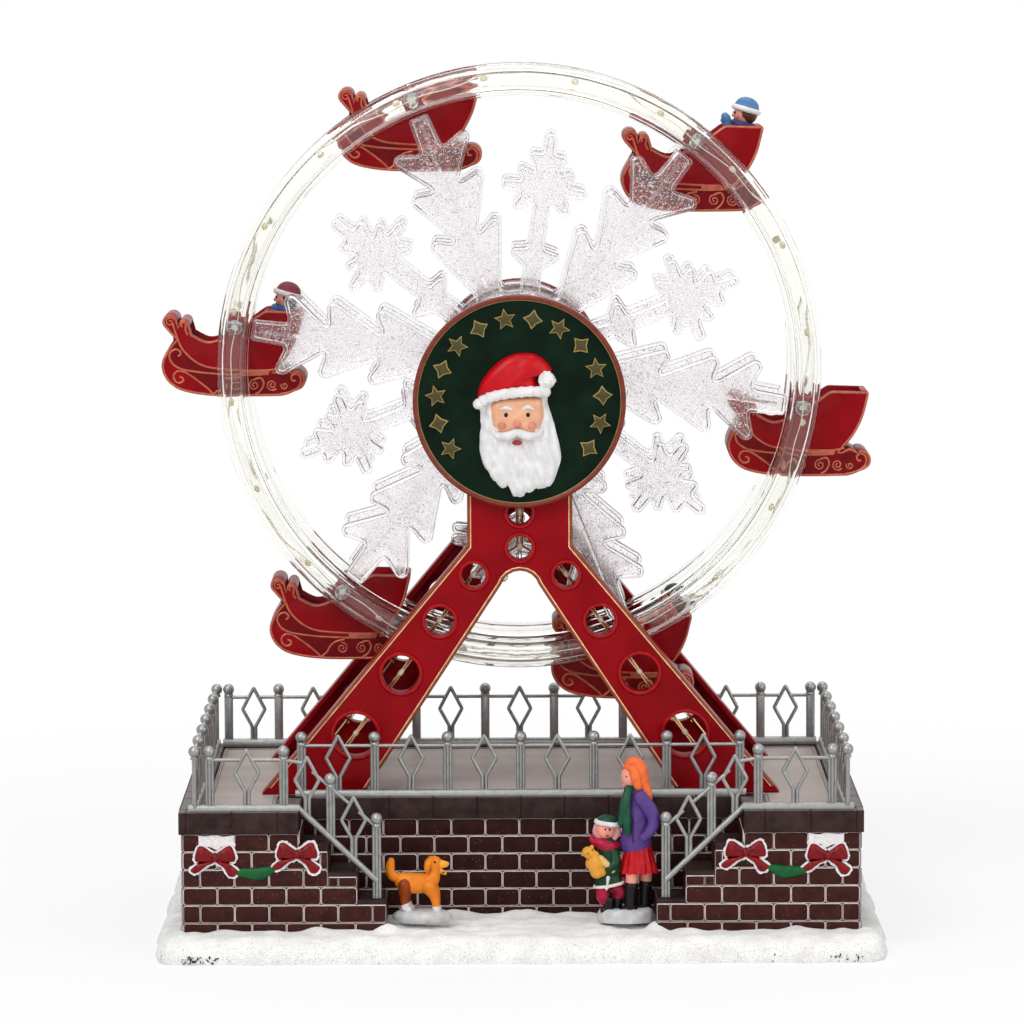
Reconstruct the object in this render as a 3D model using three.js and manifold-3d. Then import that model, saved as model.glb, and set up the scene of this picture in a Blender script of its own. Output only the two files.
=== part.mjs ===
// Musical ferris wheel decoration
// Millimetres: X to the right, Y to the back, Z up, origin on the ground under the middle of the base.

import * as THREE from "three";
import { mergeVertices } from "three/addons/utils/BufferGeometryUtils.js";
import Module from "manifold-3d";

const wasm = await Module();
wasm.setup();

// Fits and cutting allowances
const FIT = 0.3;
const BORE_FIT = 0.4;
const OVERRUN = 1;
const WELD = 1e-4;

// Base and brick platform
const SNOW_WIDTH = 276;
const SNOW_DEPTH = 201;
const SNOW_HEIGHT = 10.5;
const SNOW_EDGE_HEIGHT = 7.5;
const SNOW_EDGE_DRIFT = 1.6;
const SNOW_CORNER_R = 10;
const SNOW_SHOULDER = 9;
const WALL_WIDTH = 253.2;
const MAIN_FRONT_Y = -46;
const MAIN_BACK_Y = 92;
const WALL_THICKNESS = 3;
const DECK_HEIGHT = 54.2;
const COPING_HEIGHT = 8;
const COPING_OVERHANG = 1.4;
const COPING_WIDTH = 9;
const DECK_THICKNESS = 2;
const DECK_RECESS = 0.8;
const LANDING_FRONT_Y = -80.5;
const LANDING_INNER_X = 83.2;
const FIRST_KERB_DROP = 12.2;
const TREAD_SINK = 1.8;
const STEP_RISE = 10.7;
const STEP_GOING = 10.9;
const STEP_COUNT = 3;

// Fences
const FENCE_PITCH = 27.73;
const FENCE_HEIGHT = 22.4;
const FENCE_INSET = 4.4;
const SIDE_FENCE_INSET = 6;
const POST_R = 1.3;
const BALL_R = 2.25;
const RAIL_SIZE = 1.4;
const TOP_RAIL_DROP = 3.2;
const FOOT_RAIL_SIZE = 2.4;
const FOOT_RAIL_WIDTH = 3;
const DIAMOND_HALF = 5;
const DIAMOND_HEIGHT = 16.5;
const DIAMOND_STEM = 1.5;
const DIAMOND_BAR = 1.6;
const DIAMOND_SIDE_SHARE = 0.56;
const STAIR_TOP_FALL = 25.6;
const STAIR_FOOT_FALL = 27.9;
const STAIR_POST_X = [71.2, 54.1];

// Wheel
const WHEEL_PLANE_Y = 14;
const AXLE_HEIGHT = 214.5;
const RING_OUTER_R = 115.8;
const RING_BAND = 11.6;
const RING_DEPTH = 9;
const RING_WALL = 1.6;
const RING_SPACING = 39;
const FLAKE_THICKNESS = 5.6;
const FLAKE_HUB_R = 29.6;
const SMALL_ARM_LENGTH = 94.4;
const SMALL_ARM_HALF = 16.8;
const BIG_ARM_HALF = 15.3;
const AXLE_R = 2;
const AXLE_REAR_END = 62;
const HUB_R = 12;
const PIN_R = 1.2;
const PIN_LENGTH = 42;
const PIN_BOSS_R = 2.5;
const RING_WIRE = 0.8;
const BULB_R = 1.5;
const SLEIGH_COUNT = 6;
const FIRST_ARM_ANGLE = THREE.MathUtils.degToRad(51.7);

// Sleighs and their riders
const SLEIGH_LENGTH = 55.3;
const SLEIGH_HEIGHT = 33;
const SLEIGH_WIDTH = 26;
const SLEIGH_WALL = 2;
const PROW_SCROLL_R = 3;
const SIDE_SCROLL_R = 2.5;
const TAIL_SCROLL_R = 4;
const LUG_R = 4.2;
const RIDER_HEIGHT = 24;
const RIDER_R = 5.6;
const RIDER_HEAD_R = 5.2;

// Supporting frames
const FRAME_NEAR_FACE = 37;
const FRAME_DEPTH = 10;
const FRAME_WALL = 2;
const FRAME_FOOT_OUTER = 98.8;
const FRAME_FOOT_INNER = 59.8;
const FRAME_NECK_HALF = 20;
const FRAME_SHOULDER = 94.4;
const FRAME_CROTCH_HALF = 7.2;
const FRAME_CROTCH = 79.5;
const FRAME_ARCH_RISE = 5.4;
const FRAME_HEAD_R = 34;
const HEAD_DROP = 10.4;
const TOP_HOLE_HEIGHTS = [93.7, 107];
const LEG_TOP_HOLE_X = 17.55;
const LEG_TOP_HOLE_HEIGHT = 83.2;
const LEG_HOLE_SHARES = [0, 0.2106, 0.4531, 0.7343];
const TOP_HOLE_R = 4.6;
const LEG_HOLE_RADII = [4.6, 5.5, 7.1, 8.2];
const TENON_LENGTH = 16;
const TENON_WIDTH = 5;
const BEARING_R = 5;
const FRAME_LEAD = 1.6;

// Plaque with the santa relief
const PLAQUE_R = 40.35;
const PLAQUE_THICKNESS = 4.7;
const PLAQUE_RIM = 2.2;
const PLAQUE_RIM_RISE = 0.8;
const SANTA_WIDTH = 31;
const SANTA_HEIGHT = 55;
const SANTA_RELIEF = 6.5;
const SANTA_DROP = 8.2;

// Drive
const GEAR_MODULE = 1.8;
const GEAR_TEETH = 20;
const PINION_TEETH = 8;
const GEAR_WIDTH = 4;
const GEAR_STANDOFF = 2.5;
const MOTOR_R = 12;
const MOTOR_LENGTH = 9.2;
const MOTOR_SHAFT_R = 1.5;
const HOUSING_R = 36;
const HOUSING_DEPTH = 18.7;
const HOUSING_WALL = 2;

// Underside and electrics
const COVER_WIDTH = 200;
const COVER_FRONT_Y = -36;
const COVER_BACK_Y = 84;
const COVER_THICKNESS = 2.5;
const COVER_LEDGE = 4;
const CELL_R = 7.25;
const CELL_LENGTH = 50.5;
const CELL_PITCH = 16.5;
const CELL_COUNT = 3;
const CELL_TIP_R = 2.7;
const CELL_TIP_LENGTH = 1.2;
const BOX_WALL = 1.6;
const BOX_INSET = 52;
const BOX_Y = 24;
const DOOR_THICKNESS = 2.2;
const DOOR_TAB = 6;
const DOOR_SCREW_R = 1.4;
const DOOR_SCREW_HEAD_R = 2.6;
const DOOR_SCREW_LENGTH = 8;
const SPEAKER_R = 20;
const SPEAKER_HEIGHT = 10;
const SPEAKER_INSET = 65;
const SPEAKER_Y = 10;
const SPEAKER_LIP = 1.6;
const GRILLE_HOLE_R = 1.8;
const GRILLE_RING_R = 9;
const GRILLE_HOLES = 6;
const BOARD_WIDTH = 44;
const BOARD_DEPTH = 30;
const BOARD_THICKNESS = 1.6;
const BOARD_INSET = 38;
const BOARD_Y = 55;
const BOARD_POST = 5;
const CHIP_SIZE = 9;
const CHIP_HEIGHT = 2;
const SWITCH_X = 88;
const SWITCH_Z = 28;
const SWITCH_WIDTH = 14;
const SWITCH_HEIGHT = 7;
const SWITCH_DEPTH = 8;
const SLIDER_WIDTH = 4;
const SLIDER_HEIGHT = 3.4;
const SLIDER_PROUD = 2.4;
const SWITCH_TRAVEL = 4;

// Figures on the snow
const FIGURE_Y = -70;
const WOMAN_X = 41.5;
const WOMAN_HEIGHT = 58;
const CHILD_X = 33;
const CHILD_HEIGHT = 38;
const FIGURE_BASE_LENGTH = 21;
const FIGURE_BASE_DEPTH = 13;
const FIGURE_BASE_HEIGHT = 2;
const DOG_X = -38;
const DOG_LENGTH = 22;
const DOG_HEIGHT = 24;

// Bow garlands on the landing fronts
const BOW_WIDTH = 18.5;
const BOW_HEIGHT = 13.5;
const BOW_THICKNESS = 2.2;
const BOW_X = [114.2, 84.6];
const BOW_Z = 35.6;
const SWAG_DROP = 3.6;
const SWAG_BAND = 4.4;

// Facet counts
const RING_FACETS = 32;
const WHEEL_FACETS = 8;
const SMALL_FACETS = 8;
const POST_FACETS = 4;
const HOLE_FACETS = 8;
const CORNER_POINTS = 3;
const EDGE_POINTS = 6;

// Places worked out from the sizes above
const RING_MID_R = RING_OUTER_R - RING_BAND / 2;
const RING_INNER_R = RING_OUTER_R - RING_BAND;
const RING_MID_Y = RING_SPACING / 2;
const BIG_ARM_LENGTH = RING_INNER_R * Math.cos(Math.PI / RING_FACETS) - FIT;
const HEAD_HEIGHT = AXLE_HEIGHT - HEAD_DROP;
const FRAME_FAR_FACE = FRAME_NEAR_FACE + FRAME_DEPTH;
const DECK_TOP = DECK_HEIGHT - DECK_RECESS;
const DECK_BOTTOM = DECK_TOP - DECK_THICKNESS;
const COPING_BOTTOM = DECK_HEIGHT - COPING_HEIGHT;
const WALL_HALF = WALL_WIDTH / 2;
const COPING_HALF = WALL_HALF + COPING_OVERHANG;
const GEAR_R = (GEAR_MODULE * GEAR_TEETH) / 2;
const PINION_R = (GEAR_MODULE * PINION_TEETH) / 2;
const PINION_HEIGHT = AXLE_HEIGHT - GEAR_R - PINION_R;
const GEAR_FACE_Y = FRAME_FAR_FACE + GEAR_STANDOFF;
const COVER_END_X = COVER_WIDTH / 2;
const BOX_X = BOX_INSET - COVER_END_X;
const SPEAKER_X = COVER_END_X - SPEAKER_INSET;
const BOARD_X = COVER_END_X - BOARD_INSET;
const ROOT = new THREE.Group();

// A closed geometry as a solid for joining and cutting
function solidOf(geometry) {
  const bare = geometry.index ? geometry.toNonIndexed() : geometry.clone();
  bare.deleteAttribute("normal");
  bare.deleteAttribute("uv");
  const merged = mergeVertices(bare, WELD);
  const index = merged.index.array;
  const faces = [];
  for (let i = 0; i < index.length; i += 3) {
    const [a, b, c] = [index[i], index[i + 1], index[i + 2]];
    if (a !== b && b !== c && c !== a) faces.push(a, b, c);
  }
  const mesh = new wasm.Mesh({
    numProp: 3,
    vertProperties: merged.attributes.position.array,
    triVerts: new Uint32Array(faces),
  });
  return new wasm.Manifold(mesh);
}

function geometryOf(solid) {
  const mesh = solid.getMesh();
  const geometry = new THREE.BufferGeometry();
  geometry.setAttribute("position", new THREE.BufferAttribute(mesh.vertProperties, 3));
  geometry.setIndex(new THREE.BufferAttribute(mesh.triVerts, 1));
  return geometry;
}

function joined(geometries) {
  return geometryOf(geometries.map(solidOf).reduce((sum, next) => sum.add(next)));
}

function cut(body, tools) {
  return geometryOf(tools.map(solidOf).reduce((left, tool) => left.subtract(tool), solidOf(body)));
}

// Basic solids
function box(x0, x1, y0, y1, z0, z1) {
  const geometry = new THREE.BoxGeometry(x1 - x0, y1 - y0, z1 - z0);
  return geometry.translate((x0 + x1) / 2, (y0 + y1) / 2, (z0 + z1) / 2);
}

// A shape drawn in X and Z, with its thickness along Y
function upright(shape, yFront, depth, arcSteps = SMALL_FACETS) {
  const options = { depth, bevelEnabled: false, curveSegments: arcSteps };
  const geometry = new THREE.ExtrudeGeometry(shape, options);
  return geometry.rotateX(Math.PI / 2).translate(0, yFront + depth, 0);
}

// A shape drawn in X and Y, with its height along Z
function slab(shape, zBottom, height, arcSteps = SMALL_FACETS) {
  const options = { depth: height, bevelEnabled: false, curveSegments: arcSteps };
  return new THREE.ExtrudeGeometry(shape, options).translate(0, 0, zBottom);
}

// A profile of [radius, place] pairs turned about the Y axis
function turnedAboutY(profile, facets) {
  const points = profile.map(([r, y]) => new THREE.Vector2(r, y));
  const area = THREE.ShapeUtils.area(points);
  if (area < 0) points.reverse();
  const geometry = new THREE.LatheGeometry(points, facets);
  return geometryOf(solidOf(geometry));
}

function turnedAboutZ(profile, facets) {
  return turnedAboutY(profile, facets).rotateX(Math.PI / 2);
}

// A rod along Y between two places
function rodY(radius, y0, y1, facets, x = 0, z = 0) {
  const geometry = new THREE.CylinderGeometry(radius, radius, y1 - y0, facets);
  return geometry.translate(x, (y0 + y1) / 2, z);
}

function rodZ(radius, z0, z1, facets, x = 0, y = 0) {
  const geometry = new THREE.CylinderGeometry(radius, radius, z1 - z0, facets);
  return geometry.rotateX(Math.PI / 2).translate(x, y, (z0 + z1) / 2);
}

// A rod between two points
function rodBetween(from, to, radius, facets) {
  const along = new THREE.Vector3().subVectors(to, from);
  const geometry = new THREE.CylinderGeometry(radius, radius, along.length(), facets);
  const turn = new THREE.Quaternion().setFromUnitVectors(
    new THREE.Vector3(0, 1, 0),
    along.clone().normalize(),
  );
  geometry.applyQuaternion(turn);
  const middle = new THREE.Vector3().addVectors(from, to).multiplyScalar(0.5);
  return geometry.translate(middle.x, middle.y, middle.z);
}

function ball(rx, ry, rz, x, y, z, around = SMALL_FACETS, rows = 4) {
  const geometry = new THREE.SphereGeometry(1, around, rows).rotateX(Math.PI / 2);
  return geometry.scale(rx, ry, rz).translate(x, y, z);
}

// Outline with rounded lobes: each entry is [x, y] or [x, y, radius of a round end]
function outlineWithLobes(entries, lobePoints) {
  const points = [];
  entries.forEach(([x, y, radius], i) => {
    if (!radius) {
      points.push(new THREE.Vector2(x, y));
      return;
    }
    const [px, py] = entries[(i + entries.length - 1) % entries.length];
    const [nx, ny] = entries[(i + 1) % entries.length];
    const start = Math.atan2(y - py, x - px) - Math.PI / 2;
    let end = Math.atan2(ny - y, nx - x) - Math.PI / 2;
    while (end < start) end += 2 * Math.PI;
    for (let s = 0; s < lobePoints; s += 1) {
      const share = lobePoints > 1 ? s / (lobePoints - 1) : 1 / 2;
      const angle = start + (end - start) * share;
      points.push(new THREE.Vector2(x + radius * Math.cos(angle), y + radius * Math.sin(angle)));
    }
  });
  return points;
}

// A closed outline moved inwards by a distance, corner by corner
function inset(points, distance) {
  const ring = THREE.ShapeUtils.isClockWise(points) ? points.slice().reverse() : points;
  return ring.map((point, i) => {
    const before = ring[(i + ring.length - 1) % ring.length];
    const after = ring[(i + 1) % ring.length];
    const a = new THREE.Vector2().subVectors(point, before).normalize();
    const b = new THREE.Vector2().subVectors(after, point).normalize();
    const normal = new THREE.Vector2(-a.y - b.y, a.x + b.x).normalize();
    const reach = distance / Math.max(normal.dot(new THREE.Vector2(-a.y, a.x)), 0.3);
    return point.clone().addScaledVector(normal, reach);
  });
}

// Rings of points stacked along Z, closed by flat ends
function loft(rings) {
  const count = rings[0].points.length;
  const positions = [];
  const index = [];
  rings.forEach(({ points, z }) => points.forEach((p) => positions.push(p.x, p.y, z)));
  for (let r = 0; r < rings.length - 1; r += 1) {
    for (let i = 0; i < count; i += 1) {
      const a = r * count + i;
      const b = r * count + ((i + 1) % count);
      index.push(a, b, b + count, a, b + count, a + count);
    }
  }
  const first = THREE.ShapeUtils.triangulateShape(rings[0].points, []);
  const last = THREE.ShapeUtils.triangulateShape(rings[rings.length - 1].points, []);
  const top = (rings.length - 1) * count;
  first.forEach(([a, b, c]) => index.push(a, c, b));
  last.forEach(([a, b, c]) => index.push(top + a, top + b, top + c));
  const geometry = new THREE.BufferGeometry();
  geometry.setAttribute("position", new THREE.Float32BufferAttribute(positions, 3));
  geometry.setIndex(index);
  return geometry;
}

// Materials
function paint(colour, roughness, metalness = 0) {
  return new THREE.MeshStandardMaterial({ color: colour, roughness, metalness });
}
const snowPaint = paint("#eef0f2", 0.9);
const brickPaint = paint("#33252a", 0.7);
const deckPaint = paint("#7a7674", 0.6);
const fencePaint = paint("#8f9594", 0.45, 0.4);
const redPlastic = paint("#8c0a12", 0.35);
const sleighPaint = paint("#8c0a12", 0.35);
const plaquePaint = paint("#122019", 0.5);
const clearPlastic = paint("#e6e8ea", 0.15);
const glitterPlastic = paint("#dfe3e8", 0.3);
const wirePaint = paint("#c9a24a", 0.5);
const steel = paint("#b8babd", 0.35, 1);
const nylon = paint("#e7e2d4", 0.5);
const blackPlastic = paint("#1c1c1e", 0.6);
const boardGreen = paint("#1d5a38", 0.5);
const cellPaint = paint("#3a3d42", 0.4);
const figurePaint = paint("#7b3f7a", 0.6);
const dogPaint = paint("#c8731e", 0.6);
const bowPaint = paint("#b3121d", 0.5);
const riderPaint = paint("#3e5f9a", 0.6);

function node(name, geometry, material, parent = ROOT) {
  const mesh = new THREE.Mesh(geometry, material);
  mesh.name = name;
  parent.add(mesh);
  return mesh;
}

// Snow base: a low drift with a soft edge, open under the platform
function snowOutline(grow) {
  const x = SNOW_WIDTH / 2 - grow - SNOW_CORNER_R;
  const y = SNOW_DEPTH / 2 - grow - SNOW_CORNER_R;
  const corners = [
    [x, -y],
    [x, y],
    [-x, y],
    [-x, -y],
  ];
  const points = [];
  corners.forEach(([cx, cy], i) => {
    const [nx, ny] = corners[(i + 1) % 4];
    const start = ((i - 1) * Math.PI) / 2;
    for (let s = 0; s < CORNER_POINTS; s += 1) {
      const angle = start + (s * Math.PI) / 2 / (CORNER_POINTS - 1);
      const along = new THREE.Vector2(Math.cos(angle), Math.sin(angle));
      points.push(new THREE.Vector2(cx, cy).addScaledVector(along, SNOW_CORNER_R));
    }
    const out = new THREE.Vector2(ny - cy, cx - nx).normalize();
    for (let s = 1; s < EDGE_POINTS; s += 1) {
      const share = s / EDGE_POINTS;
      const drift = SNOW_EDGE_DRIFT * (0.5 + 0.5 * Math.sin(5 * (s + 2 * i)));
      const place = new THREE.Vector2(cx + (nx - cx) * share, cy + (ny - cy) * share);
      points.push(place.addScaledVector(out, SNOW_CORNER_R - drift));
    }
  });
  return points;
}

function snowBase() {
  const drift = loft([
    { points: snowOutline(0), z: 0 },
    { points: snowOutline(0), z: SNOW_EDGE_HEIGHT },
    { points: snowOutline(SNOW_SHOULDER / 4), z: (SNOW_EDGE_HEIGHT + SNOW_HEIGHT) / 2 },
    { points: snowOutline(SNOW_SHOULDER), z: SNOW_HEIGHT },
  ]);
  const seatX = COVER_END_X + FIT;
  const holeX = COVER_END_X - COVER_LEDGE;
  const seatTop = COVER_THICKNESS + FIT;
  const seat = box(-seatX, seatX, COVER_FRONT_Y - FIT, COVER_BACK_Y + FIT, -OVERRUN, seatTop);
  const holeFront = COVER_FRONT_Y + COVER_LEDGE;
  const holeBack = COVER_BACK_Y - COVER_LEDGE;
  const hole = box(-holeX, holeX, holeFront, holeBack, -OVERRUN, SNOW_HEIGHT + OVERRUN);
  return cut(drift, [seat, hole]);
}
node("snow_base", snowBase(), snowPaint);

// Main brick platform: a tray of walls under an overhanging coping
function platformShell() {
  const bottom = SNOW_HEIGHT + FIT;
  const walls = box(-WALL_HALF, WALL_HALF, MAIN_FRONT_Y, MAIN_BACK_Y, bottom, DECK_BOTTOM - FIT);
  const frontEdge = MAIN_FRONT_Y - COPING_OVERHANG;
  const backEdge = MAIN_BACK_Y + COPING_OVERHANG;
  const coping = box(-COPING_HALF, COPING_HALF, frontEdge, backEdge, COPING_BOTTOM, DECK_HEIGHT);
  const landingX = LANDING_INNER_X + COPING_WIDTH;
  const wellHalf = COPING_HALF - COPING_WIDTH;
  const wellFront = frontEdge + COPING_WIDTH;
  const well = box(
    -wellHalf,
    wellHalf,
    wellFront,
    backEdge - COPING_WIDTH,
    DECK_BOTTOM - FIT,
    DECK_HEIGHT + OVERRUN,
  );
  const inner = box(
    -WALL_HALF + WALL_THICKNESS,
    WALL_HALF - WALL_THICKNESS,
    MAIN_FRONT_Y + WALL_THICKNESS,
    MAIN_BACK_Y - WALL_THICKNESS,
    bottom - OVERRUN,
    DECK_BOTTOM - FIT - WALL_THICKNESS,
  );
  const gateways = [-1, 1].map((side) => {
    const a = side * landingX;
    const b = side * wellHalf;
    const x0 = Math.min(a, b);
    const x1 = Math.max(a, b);
    const front = frontEdge - OVERRUN;
    return box(x0, x1, front, wellFront + OVERRUN, DECK_BOTTOM - FIT, DECK_HEIGHT + OVERRUN);
  });
  const landingTops = [-1, 1].map((side) => {
    const a = side * (LANDING_INNER_X - STEP_COUNT * STEP_GOING - FIT);
    const b = side * (COPING_HALF + OVERRUN);
    const front = frontEdge - OVERRUN;
    return box(Math.min(a, b), Math.max(a, b), front, MAIN_FRONT_Y, bottom, DECK_HEIGHT + OVERRUN);
  });
  const slotHalf = (SLIDER_WIDTH + SWITCH_TRAVEL) / 2 + FIT;
  const slotZ = SLIDER_HEIGHT / 2 + FIT;
  const switchSlot = box(
    SWITCH_X - slotHalf,
    SWITCH_X + slotHalf,
    MAIN_BACK_Y - WALL_THICKNESS - OVERRUN,
    MAIN_BACK_Y + OVERRUN,
    SWITCH_Z - slotZ,
    SWITCH_Z + slotZ,
  );
  const block = joined([walls, coping]);
  return cut(block, [well, inner, ...gateways, ...landingTops, switchSlot]);
}
node("brick_platform", platformShell(), brickPaint);

// Stair block: landing at deck height with three steps down towards the middle
function kerbTop(step) {
  return DECK_HEIGHT - FIRST_KERB_DROP - (step - 1) * STEP_RISE;
}

function stairProfile(sink) {
  const shape = new THREE.Shape();
  const outer = WALL_HALF - sink;
  const bottom = SNOW_HEIGHT + FIT - (sink ? OVERRUN : 0);
  const landingTop = DECK_BOTTOM - FIT - sink;
  shape.moveTo(outer, bottom);
  shape.lineTo(outer, landingTop);
  shape.lineTo(LANDING_INNER_X + sink, landingTop);
  for (let step = 1; step <= STEP_COUNT; step += 1) {
    const x = LANDING_INNER_X - (step - 1) * STEP_GOING + sink;
    const z = kerbTop(step) - TREAD_SINK - sink;
    shape.lineTo(x, z);
    shape.lineTo(x - STEP_GOING, z);
  }
  shape.lineTo(LANDING_INNER_X - STEP_COUNT * STEP_GOING + sink, bottom);
  return shape;
}

function stairBlock() {
  const back = MAIN_FRONT_Y - FIT;
  const depth = back - LANDING_FRONT_Y;
  const body = upright(stairProfile(0), LANDING_FRONT_Y, depth);
  const hollowDepth = depth - 2 * WALL_THICKNESS;
  const hollow = upright(stairProfile(WALL_THICKNESS), LANDING_FRONT_Y + WALL_THICKNESS, hollowDepth);
  const edgeY = LANDING_FRONT_Y - COPING_OVERHANG;
  const coping = box(LANDING_INNER_X, COPING_HALF, edgeY, back, COPING_BOTTOM, DECK_HEIGHT);
  const well = box(
    LANDING_INNER_X + COPING_WIDTH,
    COPING_HALF - COPING_WIDTH,
    edgeY + COPING_WIDTH,
    back + OVERRUN,
    DECK_BOTTOM - FIT,
    DECK_HEIGHT + OVERRUN,
  );
  const kerbDepth = WALL_THICKNESS + COPING_OVERHANG;
  const kerbs = [];
  for (let step = 1; step <= STEP_COUNT; step += 1) {
    const x1 = LANDING_INNER_X - (step - 1) * STEP_GOING;
    const top = kerbTop(step);
    const kerbBack = LANDING_FRONT_Y + kerbDepth;
    kerbs.push(box(x1 - STEP_GOING, x1, LANDING_FRONT_Y, kerbBack, top - STEP_RISE / 2, top));
  }
  return cut(joined([body, coping, ...kerbs]), [hollow, well]);
}
node("right_stair_block", stairBlock(), brickPaint);
node("left_stair_block", stairBlock(), brickPaint).scale.x = -1;

// Deck plate: main deck with a tongue onto each landing and slots for the frame feet
const LEG_FOOT_X = (FRAME_FOOT_OUTER + FRAME_FOOT_INNER) / 2;
function deckPlate() {
  const half = COPING_HALF - COPING_WIDTH - FIT;
  const front = MAIN_FRONT_Y - COPING_OVERHANG + COPING_WIDTH + FIT;
  const back = MAIN_BACK_Y + COPING_OVERHANG - COPING_WIDTH - FIT;
  const tongueFront = LANDING_FRONT_Y - COPING_OVERHANG + COPING_WIDTH + FIT;
  const tongueX = LANDING_INNER_X + COPING_WIDTH + FIT;
  const shape = new THREE.Shape();
  shape.moveTo(-half, tongueFront);
  shape.lineTo(-tongueX, tongueFront);
  shape.lineTo(-tongueX, front);
  shape.lineTo(tongueX, front);
  shape.lineTo(tongueX, tongueFront);
  shape.lineTo(half, tongueFront);
  shape.lineTo(half, back);
  shape.lineTo(-half, back);
  const plate = slab(shape, DECK_BOTTOM, DECK_THICKNESS);
  const slots = [];
  for (const side of [-1, 1]) {
    for (const end of [-1, 1]) {
      const x = side * LEG_FOOT_X;
      const y = WHEEL_PLANE_Y + end * (FRAME_NEAR_FACE + FRAME_DEPTH / 2);
      const dx = TENON_LENGTH / 2 + FIT;
      const dy = TENON_WIDTH / 2 + FIT;
      const below = DECK_BOTTOM - OVERRUN;
      slots.push(box(x - dx, x + dx, y - dy, y + dy, below, DECK_TOP + OVERRUN));
    }
  }
  return cut(plate, slots);
}
node("deck_plate", deckPlate(), deckPaint);

// Fence parts, drawn along X with the fence line at Y zero
function fencePost(x, foot, top) {
  const neck = top - BALL_R;
  const corner = Math.SQRT2;
  const post = turnedAboutZ(
    [
      [0, foot],
      [POST_R * corner, foot],
      [POST_R * corner, neck - BALL_R],
      [BALL_R * corner, neck],
      [0, top],
    ],
    POST_FACETS,
  );
  return post.rotateZ(Math.PI / POST_FACETS).translate(x, 0, 0);
}

function fenceDiamond(x, foot, tip) {
  const shape = new THREE.Shape();
  const side = tip - DIAMOND_HEIGHT * DIAMOND_SIDE_SHARE;
  const neck = tip - DIAMOND_HEIGHT;
  shape.moveTo(x - DIAMOND_STEM, foot);
  shape.lineTo(x + DIAMOND_STEM, foot);
  shape.lineTo(x + DIAMOND_STEM, neck);
  shape.lineTo(x + DIAMOND_HALF, side);
  shape.lineTo(x, tip);
  shape.lineTo(x - DIAMOND_HALF, side);
  shape.lineTo(x - DIAMOND_STEM, neck);
  const hole = new THREE.Path();
  const reach = DIAMOND_HALF - DIAMOND_BAR * 1.2;
  hole.moveTo(x, neck + DIAMOND_BAR);
  hole.lineTo(x - reach, side);
  hole.lineTo(x, tip - DIAMOND_BAR * 2.2);
  hole.lineTo(x + reach, side);
  shape.holes.push(hole);
  return upright(shape, -DIAMOND_BAR / 2, DIAMOND_BAR);
}

function footRail(x0, x1, level) {
  const half = FOOT_RAIL_WIDTH / 2;
  return box(x0, x1, -half, half, level, level + FOOT_RAIL_SIZE);
}

// Half width of a diamond, to the middle of its bar, at the height of the top rail
const DIAMOND_SLOPE = DIAMOND_HALF / (DIAMOND_HEIGHT * DIAMOND_SIDE_SHARE);
const RAIL_MEET = DIAMOND_SLOPE * (TOP_RAIL_DROP + BALL_R / 2);

function topRail(x0, x1, z) {
  const h = RAIL_SIZE / 2;
  return box(x0, x1, -h, h, z - h, z + h);
}

// A level fence with posts at even places and a diamond between each two
function levelFence(posts, x0, x1, level) {
  const foot = level + FOOT_RAIL_SIZE / 2;
  const top = level + FENCE_HEIGHT + BALL_R;
  const tip = top - BALL_R / 2;
  const railZ = level + FENCE_HEIGHT - TOP_RAIL_DROP;
  const reach = RAIL_MEET - DIAMOND_BAR / 2;
  const parts = [footRail(x0, x1, level)];
  posts.forEach((x) => parts.push(fencePost(x, foot, top)));
  posts.slice(1).forEach((x, i) => {
    const middle = (x + posts[i]) / 2;
    parts.push(fenceDiamond(middle, foot, tip));
    parts.push(topRail(posts[i], middle - reach, railZ));
    parts.push(topRail(middle + reach, x, railZ));
  });
  return parts;
}

const FENCE_FOOT = DECK_HEIGHT + FIT;
function evenPosts(count, pitch) {
  return Array.from({ length: count }, (_, i) => (i - (count - 1) / 2) * pitch);
}

const CENTRE_POSTS = evenPosts(7, FENCE_PITCH);
const centreReach = CENTRE_POSTS[6] + FOOT_RAIL_SIZE;
const centreFence = joined(levelFence(CENTRE_POSTS, -centreReach, centreReach, FENCE_FOOT));
centreFence.translate(0, MAIN_FRONT_Y - COPING_OVERHANG + FENCE_INSET, 0);
node("centre_fence", centreFence, fencePaint);

const SIDE_FENCE_X = COPING_HALF - SIDE_FENCE_INSET;
const BACK_FENCE_Y = MAIN_BACK_Y + COPING_OVERHANG - FENCE_INSET;
const LANDING_FENCE_Y = LANDING_FRONT_Y - COPING_OVERHANG + FENCE_INSET;
const backReach = SIDE_FENCE_X - FOOT_RAIL_SIZE;
const BACK_CORNER_X = SIDE_FENCE_X - 2 * BALL_R - FIT;
const BACK_POSTS = [-BACK_CORNER_X, ...evenPosts(8, FENCE_PITCH), BACK_CORNER_X];
const backFence = joined(levelFence(BACK_POSTS, -backReach, backReach, FENCE_FOOT));
backFence.translate(0, BACK_FENCE_Y, 0);
node("back_fence", backFence, fencePaint);

const SIDE_LENGTH = BACK_FENCE_Y - LANDING_FENCE_Y;
const SIDE_POSTS = evenPosts(7, SIDE_LENGTH / 6);
const sideReach = SIDE_LENGTH / 2 + FOOT_RAIL_SIZE / 2;
const sideMiddle = (BACK_FENCE_Y + LANDING_FENCE_Y) / 2;
for (const [name, side] of [["left_fence", -1], ["right_fence", 1]]) {
  const fence = joined(levelFence(SIDE_POSTS, -sideReach, sideReach, FENCE_FOOT));
  fence.rotateZ(Math.PI / 2).translate(side * SIDE_FENCE_X, sideMiddle, 0);
  node(name, fence, fencePaint);
}

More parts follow.
